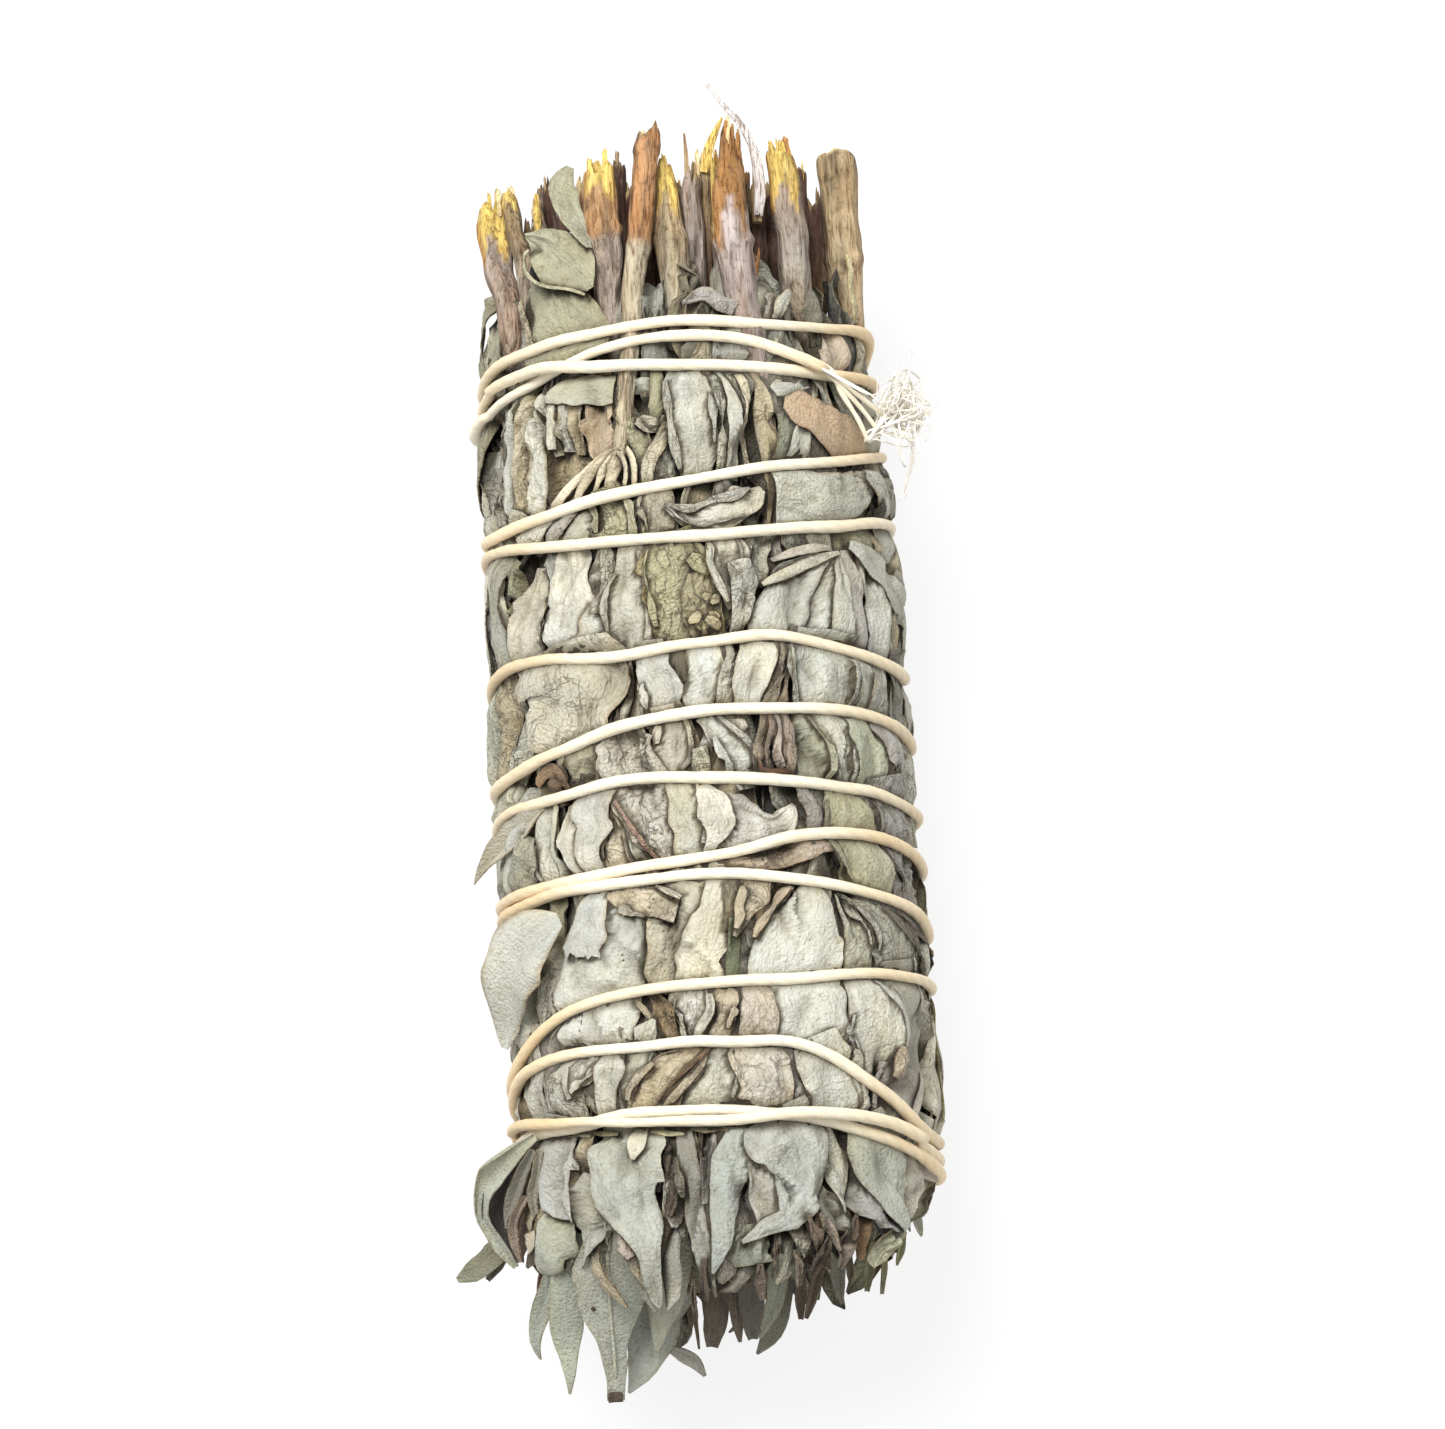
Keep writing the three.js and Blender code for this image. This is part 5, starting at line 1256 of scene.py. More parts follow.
STEMS = [
    # sprig, points from inside the bunch to the cut end (x, y, depth, radius), options
    (1, [(514, 372, 2.6, 0.8), (511, 340, 1.7, 0.95), (506, 305, 1.5, 1.0), (497, 262, 1.7, 1.25), (490, 212, 1.7, 1.4)], dict(bark="mauve", low="pink", wood="y", peel=4.6, jag=1.3, splinters=12, splint_len=2.0)),
    (2, [(538, 352, 2.6, 0.55), (531, 315, 2.0, 0.65), (523, 262, 2.6, 0.72), (508, 197, 2.9, 0.70)], dict(bark="olive", low="grey", wood="y", peel=1.6, splinters=4)),
    (10, [(536, 320, 6.0, 0.7), (528, 250, 6.0, 0.72), (524, 189, 6.0, 0.7)], dict(bark="mauve", low="mauve", wood="n", peel=0.4, splinters=2)),
    (10, [(560, 320, 6.6, 0.6), (553, 245, 6.2, 0.62), (548, 184, 6.0, 0.5)], dict(bark="dark", low="dark", wood="n", peel=0.3, splinters=1, jag=1.8)),
    (3, [(614, 350, 3.2, 0.95), (612, 318, 2.6, 1.0), (610, 280, 2.1, 1.05), (604, 240, 1.6, 1.45), (601, 215, 1.4, 1.5), (599, 168, 1.2, 1.15)], dict(bark="brown", low="mauve", mix_at=0.60, wood="y", peel=2.1, nodes=(5.4,), splinters=7)),
    (11, [(624, 300, 5.0, 0.5), (621, 230, 4.6, 0.55), (619, 161, 4.2, 0.5)], dict(bark="dark", low="dark", wood="n", peel=0.5, splinters=2)),
    (4, [(618, 462, 1.9, 0.66), (622, 430, 1.5, 0.72), (627, 385, 1.5, 0.76), (632, 335, 1.5, 0.80), (634, 285, 1.2, 0.86), (638, 250, 1.0, 0.92), (641, 205, 0.8, 0.96), (649, 134, 0.7, 0.86)], dict(bark="rust", low="straw", mix_at=0.66, wood="n", peel=0.5, nodes=(1.2, 9.3, 23.0), jag=0.7, slant=0.5, splinters=2, splint_len=0.3)),
    (5, [(676, 350, 2.6, 0.75), (676, 318, 1.9, 0.85), (675, 290, 1.7, 1.0), (672, 246, 1.7, 1.25), (667, 205, 1.9, 0.95), (663, 167, 2.2, 0.7)], dict(bark="olive", low="straw", wood="y", peel=3.2, nodes=(6.4,), splinters=2)),
    (5, [(700, 330, 4.0, 0.8), (697, 285, 3.4, 0.88), (694, 230, 3.0, 0.9), (692, 175, 2.9, 0.82)], dict(bark="mauve", low="mauve", wood="n", peel=0.6, jag=1.8, splinters=3)),
    (12, [(712, 320, 5.2, 0.7), (708, 250, 4.0, 0.8), (703, 160, 3.6, 0.85)], dict(bark="olive", low="dark", wood="c", peel=1.6, splinters=6)),
    (12, [(717, 345, 5.4, 0.8), (715, 285, 5.0, 0.85), (713, 222, 5.0, 0.8)], dict(bark="dark", low="dark", wood="n", peel=0.3, splinters=1)),
    (11, [(652, 345, 4.8, 0.5), (649, 290, 4.4, 0.5), (648, 235, 4.2, 0.5)], dict(bark="dark", low="dark", wood="n", peel=0.3, splinters=1)),
    (6, [(770, 540, 2.8, 0.45), (769, 500, 2.3, 0.6), (766, 462, 2.0, 0.95), (762, 420, 1.75, 1.2), (756, 375, 1.7, 1.25), (748, 325, 1.55, 1.35), (740, 280, 1.4, 1.45), (734, 240, 1.2, 1.45), (729, 195, 1.0, 1.35), (730, 143, 1.0, 0.85)], dict(bark="lav", low="mauve", wood="o", peel=6.4, jag=2.0, nodes=(8.2,), splinters=14, splint_len=2.4)),
    (6, [(764, 352, 2.4, 0.3), (757, 318, 2.0, 0.36), (750, 282, 1.4, 0.42), (746, 250, 1.1, 0.46), (742, 222, 1.2, 0.42)], dict(bark="rust", low="rust", wood="o", peel=1.0, jag=1.2, splinters=2, splint_len=0.3)),
    (7, [(808, 350, 3.2, 1.0), (802, 318, 2.6, 1.15), (796, 280, 2.0, 1.25), (791, 235, 1.6, 1.25), (786, 196, 1.4, 1.3), (780, 152, 1.2, 1.1)], dict(bark="mauve", low="grey", wood="y", peel=3.6, jag=1.1, splinters=12, splint_len=1.8)),
    (9, [(808, 320, 5.2, 0.42), (806, 250, 4.8, 0.42), (804, 171, 4.6, 0.4)], dict(bark="dark", low="dark", wood="n", peel=0.3, splinters=1)),
    (9, [(826, 345, 5.0, 0.7), (821, 285, 4.2, 0.75), (818, 202, 3.8, 0.7)], dict(bark="dark", low="brown", wood="n", peel=0.4, splinters=2)),
    (8, [(853, 365, 2.6, 1.2), (848, 330, 2.0, 1.3), (844, 262, 1.5, 1.44), (839, 205, 1.35, 1.50), (836, 156, 1.3, 1.54)], dict(bark="olive", low="tan", wood="c", peel=0.35, nodes=(8.8,), jag=0.45, splinters=3, splint_len=0.3, square=0.05, scars=((832, 178, 3), (846, 170, 2.5), (836, 208, 3.5), (849, 203, 2.5), (845, 232, 2.5)))),
]
for x, z, tx, ty, tz, r, sp in [(5.8, 3.0, 6.8, 45.5, 5.0, 0.9, 13), (-1.0, 0.5, -0.5, 46.8, 2.5, 1.0, 14), (3.6, -2.0, 4.0, 45.2, -2.0, 0.9, 15), (-5.6, -2.0, -6.5, 46.5, -1.5, 1.1, 16),
                                 (-9.8, -4.6, -11.0, 45.0, -4.0, 1.1, 17), (-5.4, -8.6, -6.2, 46.3, -9.0, 1.2, 18), (0.0, -8.4, 0.3, 44.8, -8.9, 1.3, 19), (5.8, -7.8, 6.4, 46.2, -8.3, 1.1, 20), (10.2, -4.0, 11.8, 45.4, -4.6, 1.2, 21)]:
    rg = np.random.default_rng(300 + sp)
    k = rg.integers(4)
    STEMS.append((sp, [(x, 26.0, AXIS_Z + z, r * 0.9), (x + (tx - x) * 0.4, 33.0, AXIS_Z + z + (tz - z) * 0.4, r), (x + (tx - x) * 0.75 + rg.normal(0, 0.25), 40.0, AXIS_Z + z + (tz - z) * 0.75, r * 1.02), (tx, ty, AXIS_Z + tz, r * 0.95)],
                  dict(raw=True, bark=["brown", "mauve", "olive", "tan"][k], low=["mauve", "grey", "tan", "grey"][k], wood=["y", "c", "y", "o"][k], peel=rg.uniform(0.6, 3.0), nodes=(rg.uniform(3, 7),), splinters=int(rg.integers(4, 10)), rng=rg)))
# stems further in; many get the dark bark for the shade they stand in: painted shade
for sp, x0, x1, d0, r, top, bk in [(2, 545, 538, 4.8, 0.55, 205, "mauve"), (10, 571, 563, 5.4, 0.6, 196, "dark"), (10, 589, 581, 5.2, 0.55, 182, "brown"), (3, 632, 630, 4.6, 0.5, 190, "dark"), (11, 606, 606, 5.6, 0.6, 178, "dark"),
                                   (11, 655, 653, 5.4, 0.65, 176, "mauve"), (5, 684, 681, 5.2, 0.6, 186, "dark"), (5, 661, 659, 6.2, 0.7, 196, "brown"), (12, 700, 699, 6.4, 0.75, 168, "dark"), (12, 724, 719, 5.4, 0.6, 172, "brown"),
                                   (6, 760, 756, 4.6, 0.62, 205, "dark"), (7, 775, 770, 5.0, 0.6, 186, "dark"), (13, 789, 784, 5.8, 0.7, 178, "brown"), (7, 812, 806, 5.2, 0.55, 188, "mauve"), (9, 833, 827, 5.6, 0.6, 200, "dark"), (1, 518, 512, 4.8, 0.6, 228, "mauve"), (13, 744, 742, 6.0, 0.6, 176, "olive")]:
    rg = np.random.default_rng(x0)
    STEMS.append((sp, [(x0, 350, d0 + 0.8, r), (x0, 300, d0 + 0.5, r), ((x0 + x1) / 2 + rg.normal(0, 1.5), 250, d0, r * 1.02), (x1, top, d0, r * 0.9)], dict(bark=bk, low="dark" if rg.random() < 0.6 else "mauve", wood=rg.choice(["n", "c", "o"]), peel=rg.uniform(0.3, 1.4), nodes=(rg.uniform(3, 6),), splinters=2, splint_len=0.6, sides=12, rng=rg)))
STEMS.append((6, [(719, 290, 3.4, 0.42), (718, 240, 2.4, 0.46), (716, 200, 1.8, 0.50), (714, 159, 1.7, 0.40)], dict(bark="tan", low="mauve", wood="y", peel=5.6, jag=1.2, splinters=3, splint_len=1.2, sides=12)))
STEMS.append((6, [(748, 335, 2.0, 0.45), (751, 300, 1.5, 0.50), (752, 262, 1.2, 0.42)], dict(bark="brown", low="lav", wood="o", peel=3.0, jag=1.4, splinters=2, splint_len=0.4, sides=12)))
_stem_pieces = {}
for sp, pts, opt in STEMS:
    pc = _stem_pieces.setdefault(sp, Piece("sprig_stem_%02d" % sp))
    opt = dict(opt)
    raw = opt.pop("raw", False)
    opt.setdefault("rng", np.random.default_rng(500 + len(pc.v) + sp * 7))
    path = pts if raw else px_path(pts)
    p = stem(pc, path, **opt)
# a long pale splinter behind, and thin slivers between the stems
for sp, pts, c in [(6, [(704, 172, 2.6, 0.36), (708, 150, 2.2, 0.42), (715, 132, 1.9, 0.30), (722, 117, 1.7, 0.10)], "y"), (10, [(538, 232, 4.4, 0.3), (537, 212, 4.2, 0.3), (536, 194, 4.2, 0.2)], "y"), (5, [(687, 180, 2.6, 0.22), (686, 155, 2.4, 0.2), (684, 133, 2.4, 0.08)], "n"),
                   (6, [(757, 222, 3.0, 0.45), (757, 185, 2.8, 0.45), (756, 151, 2.8, 0.3)], "n")]:
    q, _ = resample(np.array(px_path(pts)), 0.5)
    vv, ff, uu, m2 = tube(q[:, :3], q[:, 3], 6)
    _stem_pieces[sp].add(vv, ff, uu, m2, lin(WOOD[c]))
# a pale papery wisp of bark fibres
_wr = np.random.default_rng(9)
for k in range(9):
    sx = _wr.normal(0, 2.2)
    top = _wr.uniform(0.0, 0.35)
    pth = [(707, 84), (722, 104), (738, 122), (749, 140), (756, 162), (758, 190), (757, 214)]
    pp = [(x + sx * (0.4 + i * 0.12) + _wr.normal(0, 0.7), y + _wr.normal(0, 1.0), 1.6 + i * 0.10, 0.11 * (0.45 + 0.15 * min(i, 4))) for i, (x, y) in enumerate(pth)]
    pp = pp[int(top * 4):int(_wr.integers(5, 8))]
    q, _ = resample(np.array(px_path(pp)), 0.4)
    vv, ff, uu, m2 = tube(q[:, :3], np.maximum(q[:, 3], 0.03), 6)
    _stem_pieces[6].add(vv, ff, uu, m2, lin((232, 226, 222)))
for sp, pc in _stem_pieces.items():
    pc.build(M_STEM, "sage_stem", ["sprig_%02d" % sp])


# ------------------------------------------------------------------ leaves laid on the bunch
def auto(q, y, kind, rg, scale=1.0, col=None, angle=None, dark=1.0, step=0.6, nu=11):
    L = rg.uniform(13, 22) * scale
    a = rg.normal(0, 0.20) if angle is None else angle
    dq, dy = math.sin(a), -math.cos(a)
    bend = rg.normal(0, 0.9)
    if kind == "broad":
        W = rg.uniform(2.8, 4.6) * scale; fold = rg.uniform(-0.15, 0.30); cup = rg.uniform(-0.25, 0.30)
        rl, rr = rg.choice([-1.3, -0.7, 0.0, 1.6], 2)
    elif kind == "fold":
        W = rg.uniform(2.2, 3.6) * scale; fold = rg.choice([-1, 1]) * rg.uniform(0.55, 1.05); cup = rg.uniform(-0.1, 0.3)
        rl, rr = rg.choice([-0.6, 0.0, 0.8], 2)
    elif kind == "roll":
        W = rg.uniform(2.0, 3.4) * scale; fold = rg.uniform(0, 0.4); cup = rg.uniform(0.3, 0.9)
        rl, rr = rg.uniform(0.6, 2.8, 2)
    else:
        W = rg.uniform(0.8, 1.9) * scale; fold = rg.uniform(-0.8, 0.8); cup = rg.uniform(-0.2, 0.6); L *= 1.15
        rl, rr = rg.choice([-0.8, 0.0, 1.2], 2)
    P = []
    for s, w in ((-0.5, 0.35), (-0.36, 0.70), (-0.12, 1.0), (0.14, 0.95), (0.36, 0.62), (0.5, 0.10)):
        b = bend * (0.25 - s * s) * 2
        pq, py_ = q + dq * L * s + math.cos(a) * b, y + dy * L * s + math.sin(a) * b
        lim = float(tip_limit(pq)) + 1.5
        top = stem_limit(pq)
        P.append((pq, lim + (py_ - lim) * 0.25 if py_ < lim else top + (py_ - top) * 0.2 if py_ > top else py_, W * w))
    # painted shade: darker towards the stem end, under the stems
    dark = dark * (1 - 0.30 * float(sstep((y + L * 0.3 - 29) / 6)))
    colour = col or rg.choice(["g", "g", "w", "g", "o", "t", "l", "w"])
    crease = [(rg.uniform(-0.7, 0.7), rg.choice([-1, 1]) * rg.uniform(0.15, 0.45)) for _ in range(rg.integers(0, 3))]
    leaf(cluster(q, y), P, colour=colour, fold=fold, cup=cup, rl=rl, rr=rr, twist=(rg.normal(0, 0.15), rg.normal(0, 0.3)), rng=rg, dark=dark, end_rise=(rg.uniform(-0.2, 0.1), rg.uniform(-0.1, 0.5)), crease=crease, step=step, nu=nu)


def auto_layer(seed_, dq, dy, y_lo, y_hi, kinds, q_lo=None, q_hi=None, scale=1.0, dark=1.0, col=None, step=0.6, nu=11):
    rg = np.random.default_rng(seed_)
    lo, hi = (0, Q_TURN) if q_lo is None else (q_lo, q_hi)
    spots = []
    row = 0
    y = y_hi
    while y > y_lo:
        q = lo + (row % 2) * dq * 0.5
        while q < hi:
            spots.append((q + rg.normal(0, dq * 0.22), y + rg.normal(0, dy * 0.25)))
            q += dq
        y -= dy
        row += 1
    rg.shuffle(spots)
    for q, y in spots:
        auto((q + Q_TURN / 2) % Q_TURN - Q_TURN / 2, y, rg.choice(kinds), rg, scale=scale, dark=dark, col=col, step=step, nu=nu)


FRONT_LO, FRONT_HI = float(q_of(168)), float(q_of(12))
# under layers all round, a little darker for the shade they lie in: painted shade
auto_layer(31, 4.6, 9.0, -40, 33, ["thin", "thin", "roll"], scale=0.95, dark=0.80, step=1.2, nu=7)
auto_layer(32, 5.4, 9.5, -39, 31, ["fold", "broad", "thin"], dark=0.90, step=0.9, nu=7)
# the top layer on the sides and underneath
auto_layer(33, 5.6, 8.5, -38, 30, ["broad", "fold", "roll", "broad", "thin"], q_lo=FRONT_HI, q_hi=FRONT_LO + Q_TURN)
# the layer under the leaves on top, a little darker: painted shade
auto_layer(34, 5.8, 9.0, -38, 30, ["fold", "thin", "roll", "thin"], q_lo=FRONT_LO + 3, q_hi=FRONT_HI - 3, dark=0.9)


# ------------------------------------------------------------------ the leaves on the side that faces up, one by one
FRNG = np.random.default_rng(77)


def F(c, pts, off=-0.4, **k):
    """A leaf laid on the bunch. c: tone. pts: (x, y, width) as seen from above by the camera, in the photograph's pixels."""
    P = []
    n = len(pts)
    for i, (x, y, w) in enumerate(pts):
        a, b = pts[max(i - 1, 0)], pts[min(i + 1, n - 1)]
        dx, dy = b[0] - a[0], b[1] - a[1]
        L = math.hypot(dx, dy) or 1.0
        nx, ny = -dy / L, dx / L
        q, yy = pixel(x, y, off)
        q0, y0 = pixel(x - nx * w / 2, y - ny * w / 2, off)
        q1, y1 = pixel(x + nx * w / 2, y + ny * w / 2, off)
        hw = math.hypot(q1 - q0, y1 - y0) / 2
        P.append((q, yy, min(max(hw, 0.1), w / 12.5 * 0.85)))
    if not isinstance(c, str):
        k["tint"] = c
        c = "g"
    rim = k.pop("rim", True)
    if min(p[1] for p in pts[-2:]) > 1130 and max(p[2] for p in pts) > 20:  # the tuft's leaves are smooth
        rim = False
        for a_, b_ in (("relief", 0.55), ("crumple", 0.35), ("ragged", 0.05), ("crease", ())):
            k.setdefault(a_, b_)
        k["vein"] = min(k.get("vein", 0.2), 0.25)
        # painted shade: the tuft turns down, away from the light, so its leaves are darker
        k["dark"] = 0.79 * k.get("dark", 1.0)
    # painted shade towards the left and right sides of the bunch as seen from above
    mx = pts[len(pts) // 2][0]
    side = max(0.0, min(1.0, (520 - mx) / 22 if mx < 700 else (mx - 872) / 30))
    k["dark"] = k.get("dark", 1.0) * (1 - (0.20 if pts[0][1] > 395 else 0.0) * side * (1.0 if pts[0][1] < 1040 else 0.4))
    k.setdefault("fit", True)
    wmax = max(p[2] for p in pts)
    k.setdefault("step", 0.33 if wmax > 22 else 0.40)
    k.setdefault("nu", 19 if wmax > 50 else 15 if wmax > 30 else 13 if wmax > 20 else 9 if wmax > 11 else 7)
    # an end as wide as this one is held under the twine: it goes on under it
    for e, o in ((0, 1), (-1, -2)):
        gap = float(twine_gap(deg_of(P[e][0]), P[e][1]))
        if pts[e][2] > 11 and 0.25 < gap < 2.0 and k.get("tuck", True):
            vx, vy = P[e][0] - P[o][0], P[e][1] - P[o][1]
            l_ = math.hypot(vx, vy) or 1.0
            q_ = (P[e][0] + vx / l_ * gap, P[e][1] + vy / l_ * gap, P[e][2] * 0.85)
            if float(twine_gap(deg_of(q_[0]), q_[1])) < gap:
                P = [q_] + P if e == 0 else P + [q_]
    k.pop("tuck", None)
    if k.get("lines"):
        k["lines"] = [(*pixel(a_, b_, off), *pixel(c_, d_, off), e_, r_) for a_, b_, c_, d_, e_, r_ in k["lines"]]
    mq, my = P[len(P) // 2][:2]
    rng = np.random.default_rng(int(pts[0][0] * 131 + pts[0][1] * 17 + pts[-1][0]))
    if wmax > 16 and rim:  # some are hollow where others are domed
        k["cup"] = k.get("cup", 0.1) * rng.choice([-1.2, -0.5, 0.5])
        for e_ in ("rl", "rr"):
            if -0.95 < k.get(e_, 0) < 0:
                k[e_] = k[e_] * rng.choice([-0.8, 0.2, 0.6])
    if wmax > 16:  # pressed flat in the bunch
        k["cup"] = 0.5 * k.get("cup", 0.1)
        k["rl"], k["rr"] = (r_ if abs(r_) > 1.2 else 0.6 * r_ for r_ in (k.get("rl", 0.0), k.get("rr", 0.0)))
        k["fold"] = 0.75 * k.get("fold", 0.0)
    k.setdefault("relief", 0.65 if wmax > 34 else 1.0)
    k.setdefault("crumple", 0.5)
    k.setdefault("crease", [(rng.uniform(-0.75, 0.75), rng.choice([-1, 1]) * rng.uniform(0.10, 0.32)) for _ in range(rng.integers(1, 4))] if max(p[2] for p in pts) > 20 else ())
    leaf(cluster(mq, my), P, colour=c, rng=rng, **k)
    if wmax > 27 and rim:
        # its margins are curled: a narrow fold along each, now and then
        for side in (-1, 1):
            if rng.random() < 0.30:
                continue
            a, b = sorted(rng.choice([0.0, 0.12, 0.3, 0.5, 0.7, 0.88, 1.0], 2, replace=False))
            if b - a < 0.35:
                a, b = (0.0, b) if b > 0.5 else (a, 1.0)
            c5, _ = spline(P, 11)
            tn = np.gradient(c5[:, :2], axis=0); tn /= np.maximum(np.linalg.norm(tn, axis=1, keepdims=True), 1e-6)
            Q = []
            for t_ in np.linspace(a, b, 5):
                r_ = c5[int(round(t_ * 10))]
                n_ = np.array([-tn[int(round(t_ * 10))][1], tn[int(round(t_ * 10))][0]])
                e = side * (r_[2] - rng.uniform(0.10, 0.45))
                Q.append((r_[0] + n_[0] * e, r_[1] + n_[1] * e, rng.uniform(0.17, 0.42) * (0.45 if t_ in (a, b) else 1.0)))
            leaf(cluster(mq, my), Q, colour=c, tint=k.get("tint"), dark=k.get("dark", 1.0) * rng.uniform(0.82, 1.04), fold=rng.choice([-0.9, 0.8]), cup=-0.5, fit=True, step=0.5, nu=7, rise=0.02, over=0.06, ripple=0.05, rng=rng, crumple=0.5)


def px3(x, y, z):
    """Where the camera's line through a pixel meets the height z, in mm."""
    d = cam_f + cam_r * ((x - CX) / FOC) - cam_u * ((y - CY) / FOC)
    return cam_c + d * ((z - cam_c[2]) / d[2])


def FF(c, pts, up=(0, 0, 1), **k):
    """A leaf that stands free. pts: (x, y, width, height above the floor in mm)."""
    P = []
    for x, y, w, z in pts:
        p = px3(x, y, z)
        P.append((p[0], p[1], p[2], w / 2 / 12.5))
    if not isinstance(c, str):
        k["tint"] = c
        c = "g"
    m = P[len(P) // 3]
    q = float(q_of(math.degrees(math.atan2((m[2] - AXIS_Z) / 15.3, m[0] / 17.0)) % 360))
    rng = np.random.default_rng(int(pts[0][0] * 131 + pts[0][1] * 17 + pts[-1][0]))
    k.setdefault("depth", 0.30)
    k.setdefault("vein", 0.18)
    k["dark"] = 0.92 * k.get("dark", 1.0)
    free_leaf(cluster(q if q < Q_TURN / 2 else q - Q_TURN, m[1]), P, up, colour=c, rng=rng, **k)


# ---- stem end
F((178, 175, 148), [(528, 282, 26), (537, 296, 44), (548, 308, 60), (557, 324, 78), (563, 342, 82), (566, 362, 70)], rise=1.4, cup=-0.05, rl=0.3, rr=-0.2, vein=0.30, rim=False, ragged=0.03, relief=0.7, crumple=0.5, sink=0.9, lines=[(560, 296, 590, 330, -0.3, 0.8)])
# a near-black piece in the gap under the leaves: painted shade
F((54, 46, 34), [(536, 256, 6), (541, 267, 15), (549, 277, 15), (560, 285, 5)], rise=2.1, fold=0.1, rim=False, dark=0.5, relief=0.3)
F((184, 181, 154), [(525, 235, 5), (534, 240, 18), (545, 246, 36), (558, 254, 50), (570, 264, 56), (580, 276, 40), (588, 290, 12)], rise=2.3, fold=0.16, cup=-0.1, rl=-0.3, rr=-0.2, vein=0.30, rim=False, ragged=0.03, relief=0.8, crumple=0.4, lines=[(569, 218, 563, 262, 0.55, 0.9)])
F((174, 173, 149), [(573, 168, 8), (569, 178, 19), (566, 188, 27), (567, 200, 26), (572, 213, 22), (579, 226, 18), (586, 238, 12), (592, 249, 3)], rise=2.7, fold=0.22, cup=-0.1, rl=0.5, rr=-0.3, vein=0.35, rim=False, ragged=0.05, relief=0.8, crumple=0.5, lines=[(565, 205, 560, 228, -0.5, 0.7)])
F((216, 210, 178), [(538, 252, 2), (533, 260, 3), (533, 272, 3.4), (542, 283, 3.4), (555, 289, 3.4), (569, 290.5, 3), (580, 293, 3), (588, 296, 2)], rise=2.3, fold=-0.2, cup=-0.2, rim=False, tuck=False, ragged=0.0, relief=0.0, thick=0.2)
F("o", [(494, 290, 10), (486, 312, 15), (480, 336, 15), (480, 356, 12)], rise=0.9, fold=0.6, dark=0.7)
F("t", [(520, 300, 9), (524, 325, 10), (528, 350, 9)], rise=0.6, fold=0.5)
F("l", [(682, 303, 3), (695, 299, 11), (708, 297, 16), (718, 302, 15)], rise=1.5, fold=0.5, rl=1.2)
F("l", [(764, 296, 6), (772, 304, 14), (770, 318, 12)], rise=1.4, fold=0.8)
F("w", [(790, 292, 8), (780, 303, 14), (776, 318, 10)], rise=1.7, fold=-0.8, rl=1.4)
F((132, 130, 116), [(816, 280, 9), (818, 300, 13), (820, 322, 12)], rise=0.9, fold=0.4)
F((228, 214, 168), [(850, 257, 8), (850, 280, 8), (854, 305, 8), (858, 330, 8)], rise=2.6, fold=-0.5, cup=-0.7)

# ---- between the first turns, 350 to 470
F("p", [(836, 344, 20), (838, 357, 26), (836, 374, 24)], rise=0.2, rim=False)
F((214, 206, 180), [(857, 320, 12), (862, 345, 15), (862, 375, 16)], rise=0.4, fold=0.6)
F("g", [(500, 400, 9), (498, 440, 10), (497, 480, 9), (498, 528, 7)], fold=-0.8, dark=0.95)
F("g", [(510, 398, 8), (513, 440, 11), (513, 480, 11), (509, 522, 8)], fold=0.9)
F("t", [(521, 395, 10), (523, 425, 12), (520, 460, 12), (518, 515, 9)], fold=-0.9)
F("w", [(532, 394, 8), (533, 420, 13), (535, 450, 22), (537, 478, 27), (531, 502, 20), (524, 520, 10)], fold=0.35, cup=-0.2, rl=0.6)
F("g", [(536, 392, 8), (544, 415, 9), (552, 436, 9), (557, 455, 6)], fold=-0.8)
F("w", [(553, 405, 6), (555, 425, 7), (556, 450, 5)], fold=0.8)
F("g", [(563, 403, 9), (564, 425, 11), (564, 450, 8)], fold=-0.8)
F("t", [(574, 403, 11), (575, 425, 12), (575, 452, 9)], fold=0.7)
F((202, 182, 154), [(594, 392, 24), (594, 412, 29), (594, 432, 30), (596, 448, 24), (598, 458, 10)], fold=0.05, cup=-0.3, vein=0.15, rim=False, relief=0.3, crumple=0.15, ragged=0.03, crease=())
F((190, 189, 170), [(547, 399, 8), (560, 393, 22), (578, 390, 28), (597, 388, 28), (613, 387, 26)], rise=0.3, cup=0.05, relief=0.5, rim=False, vein=0.15)
F((190, 190, 172), [(638, 384, 14), (650, 386, 18), (664, 388, 16)], rise=0.3, cup=0.05, relief=0.5, rim=False, vein=0.15)
F("d", [(650, 392, 20), (650, 408, 28), (646, 428, 24)], fold=0.9, rise=-0.2)
F("o", [(656, 386, 14), (658, 402, 18), (652, 420, 12)], fold=-0.9, dark=0.8)
F((212, 206, 188), [(634, 420, 7), (642, 421, 14), (653, 424, 13), (663, 428, 5)], fold=0.2)
F((176, 176, 160), [(666, 415, 10), (670, 440, 22), (669, 462, 26), (668, 482, 22)], fold=0.2)
F((216, 208, 184), [(670, 420, 8), (664, 436, 14), (655, 452, 15), (649, 468, 14), (647, 484, 11)], fold=-0.4, cup=-0.2, rise=0.5)
F((214, 214, 200), [(680, 366, 30), (684, 385, 46), (690, 410, 48), (694, 438, 45), (696, 462, 38), (697, 480, 28)], rise=0.5, fold=0.08, cup=-0.25, rl=-0.6, rr=-0.4, vein=0.25)
F("g", [(712, 374, 7), (719, 405, 9), (722, 440, 9), (721, 478, 8)], fold=-0.9)
F("w", [(717, 372, 8), (729, 400, 12), (734, 435, 14), (733, 478, 14)], fold=0.8, rise=0.2)
F("g", [(727, 372, 7), (741, 405, 10), (748, 440, 10), (750, 478, 8)], fold=-0.9, rise=0.2)
F("t", [(738, 374, 8), (744, 400, 8), (746, 440, 7), (752, 475, 6)], fold=0.8)
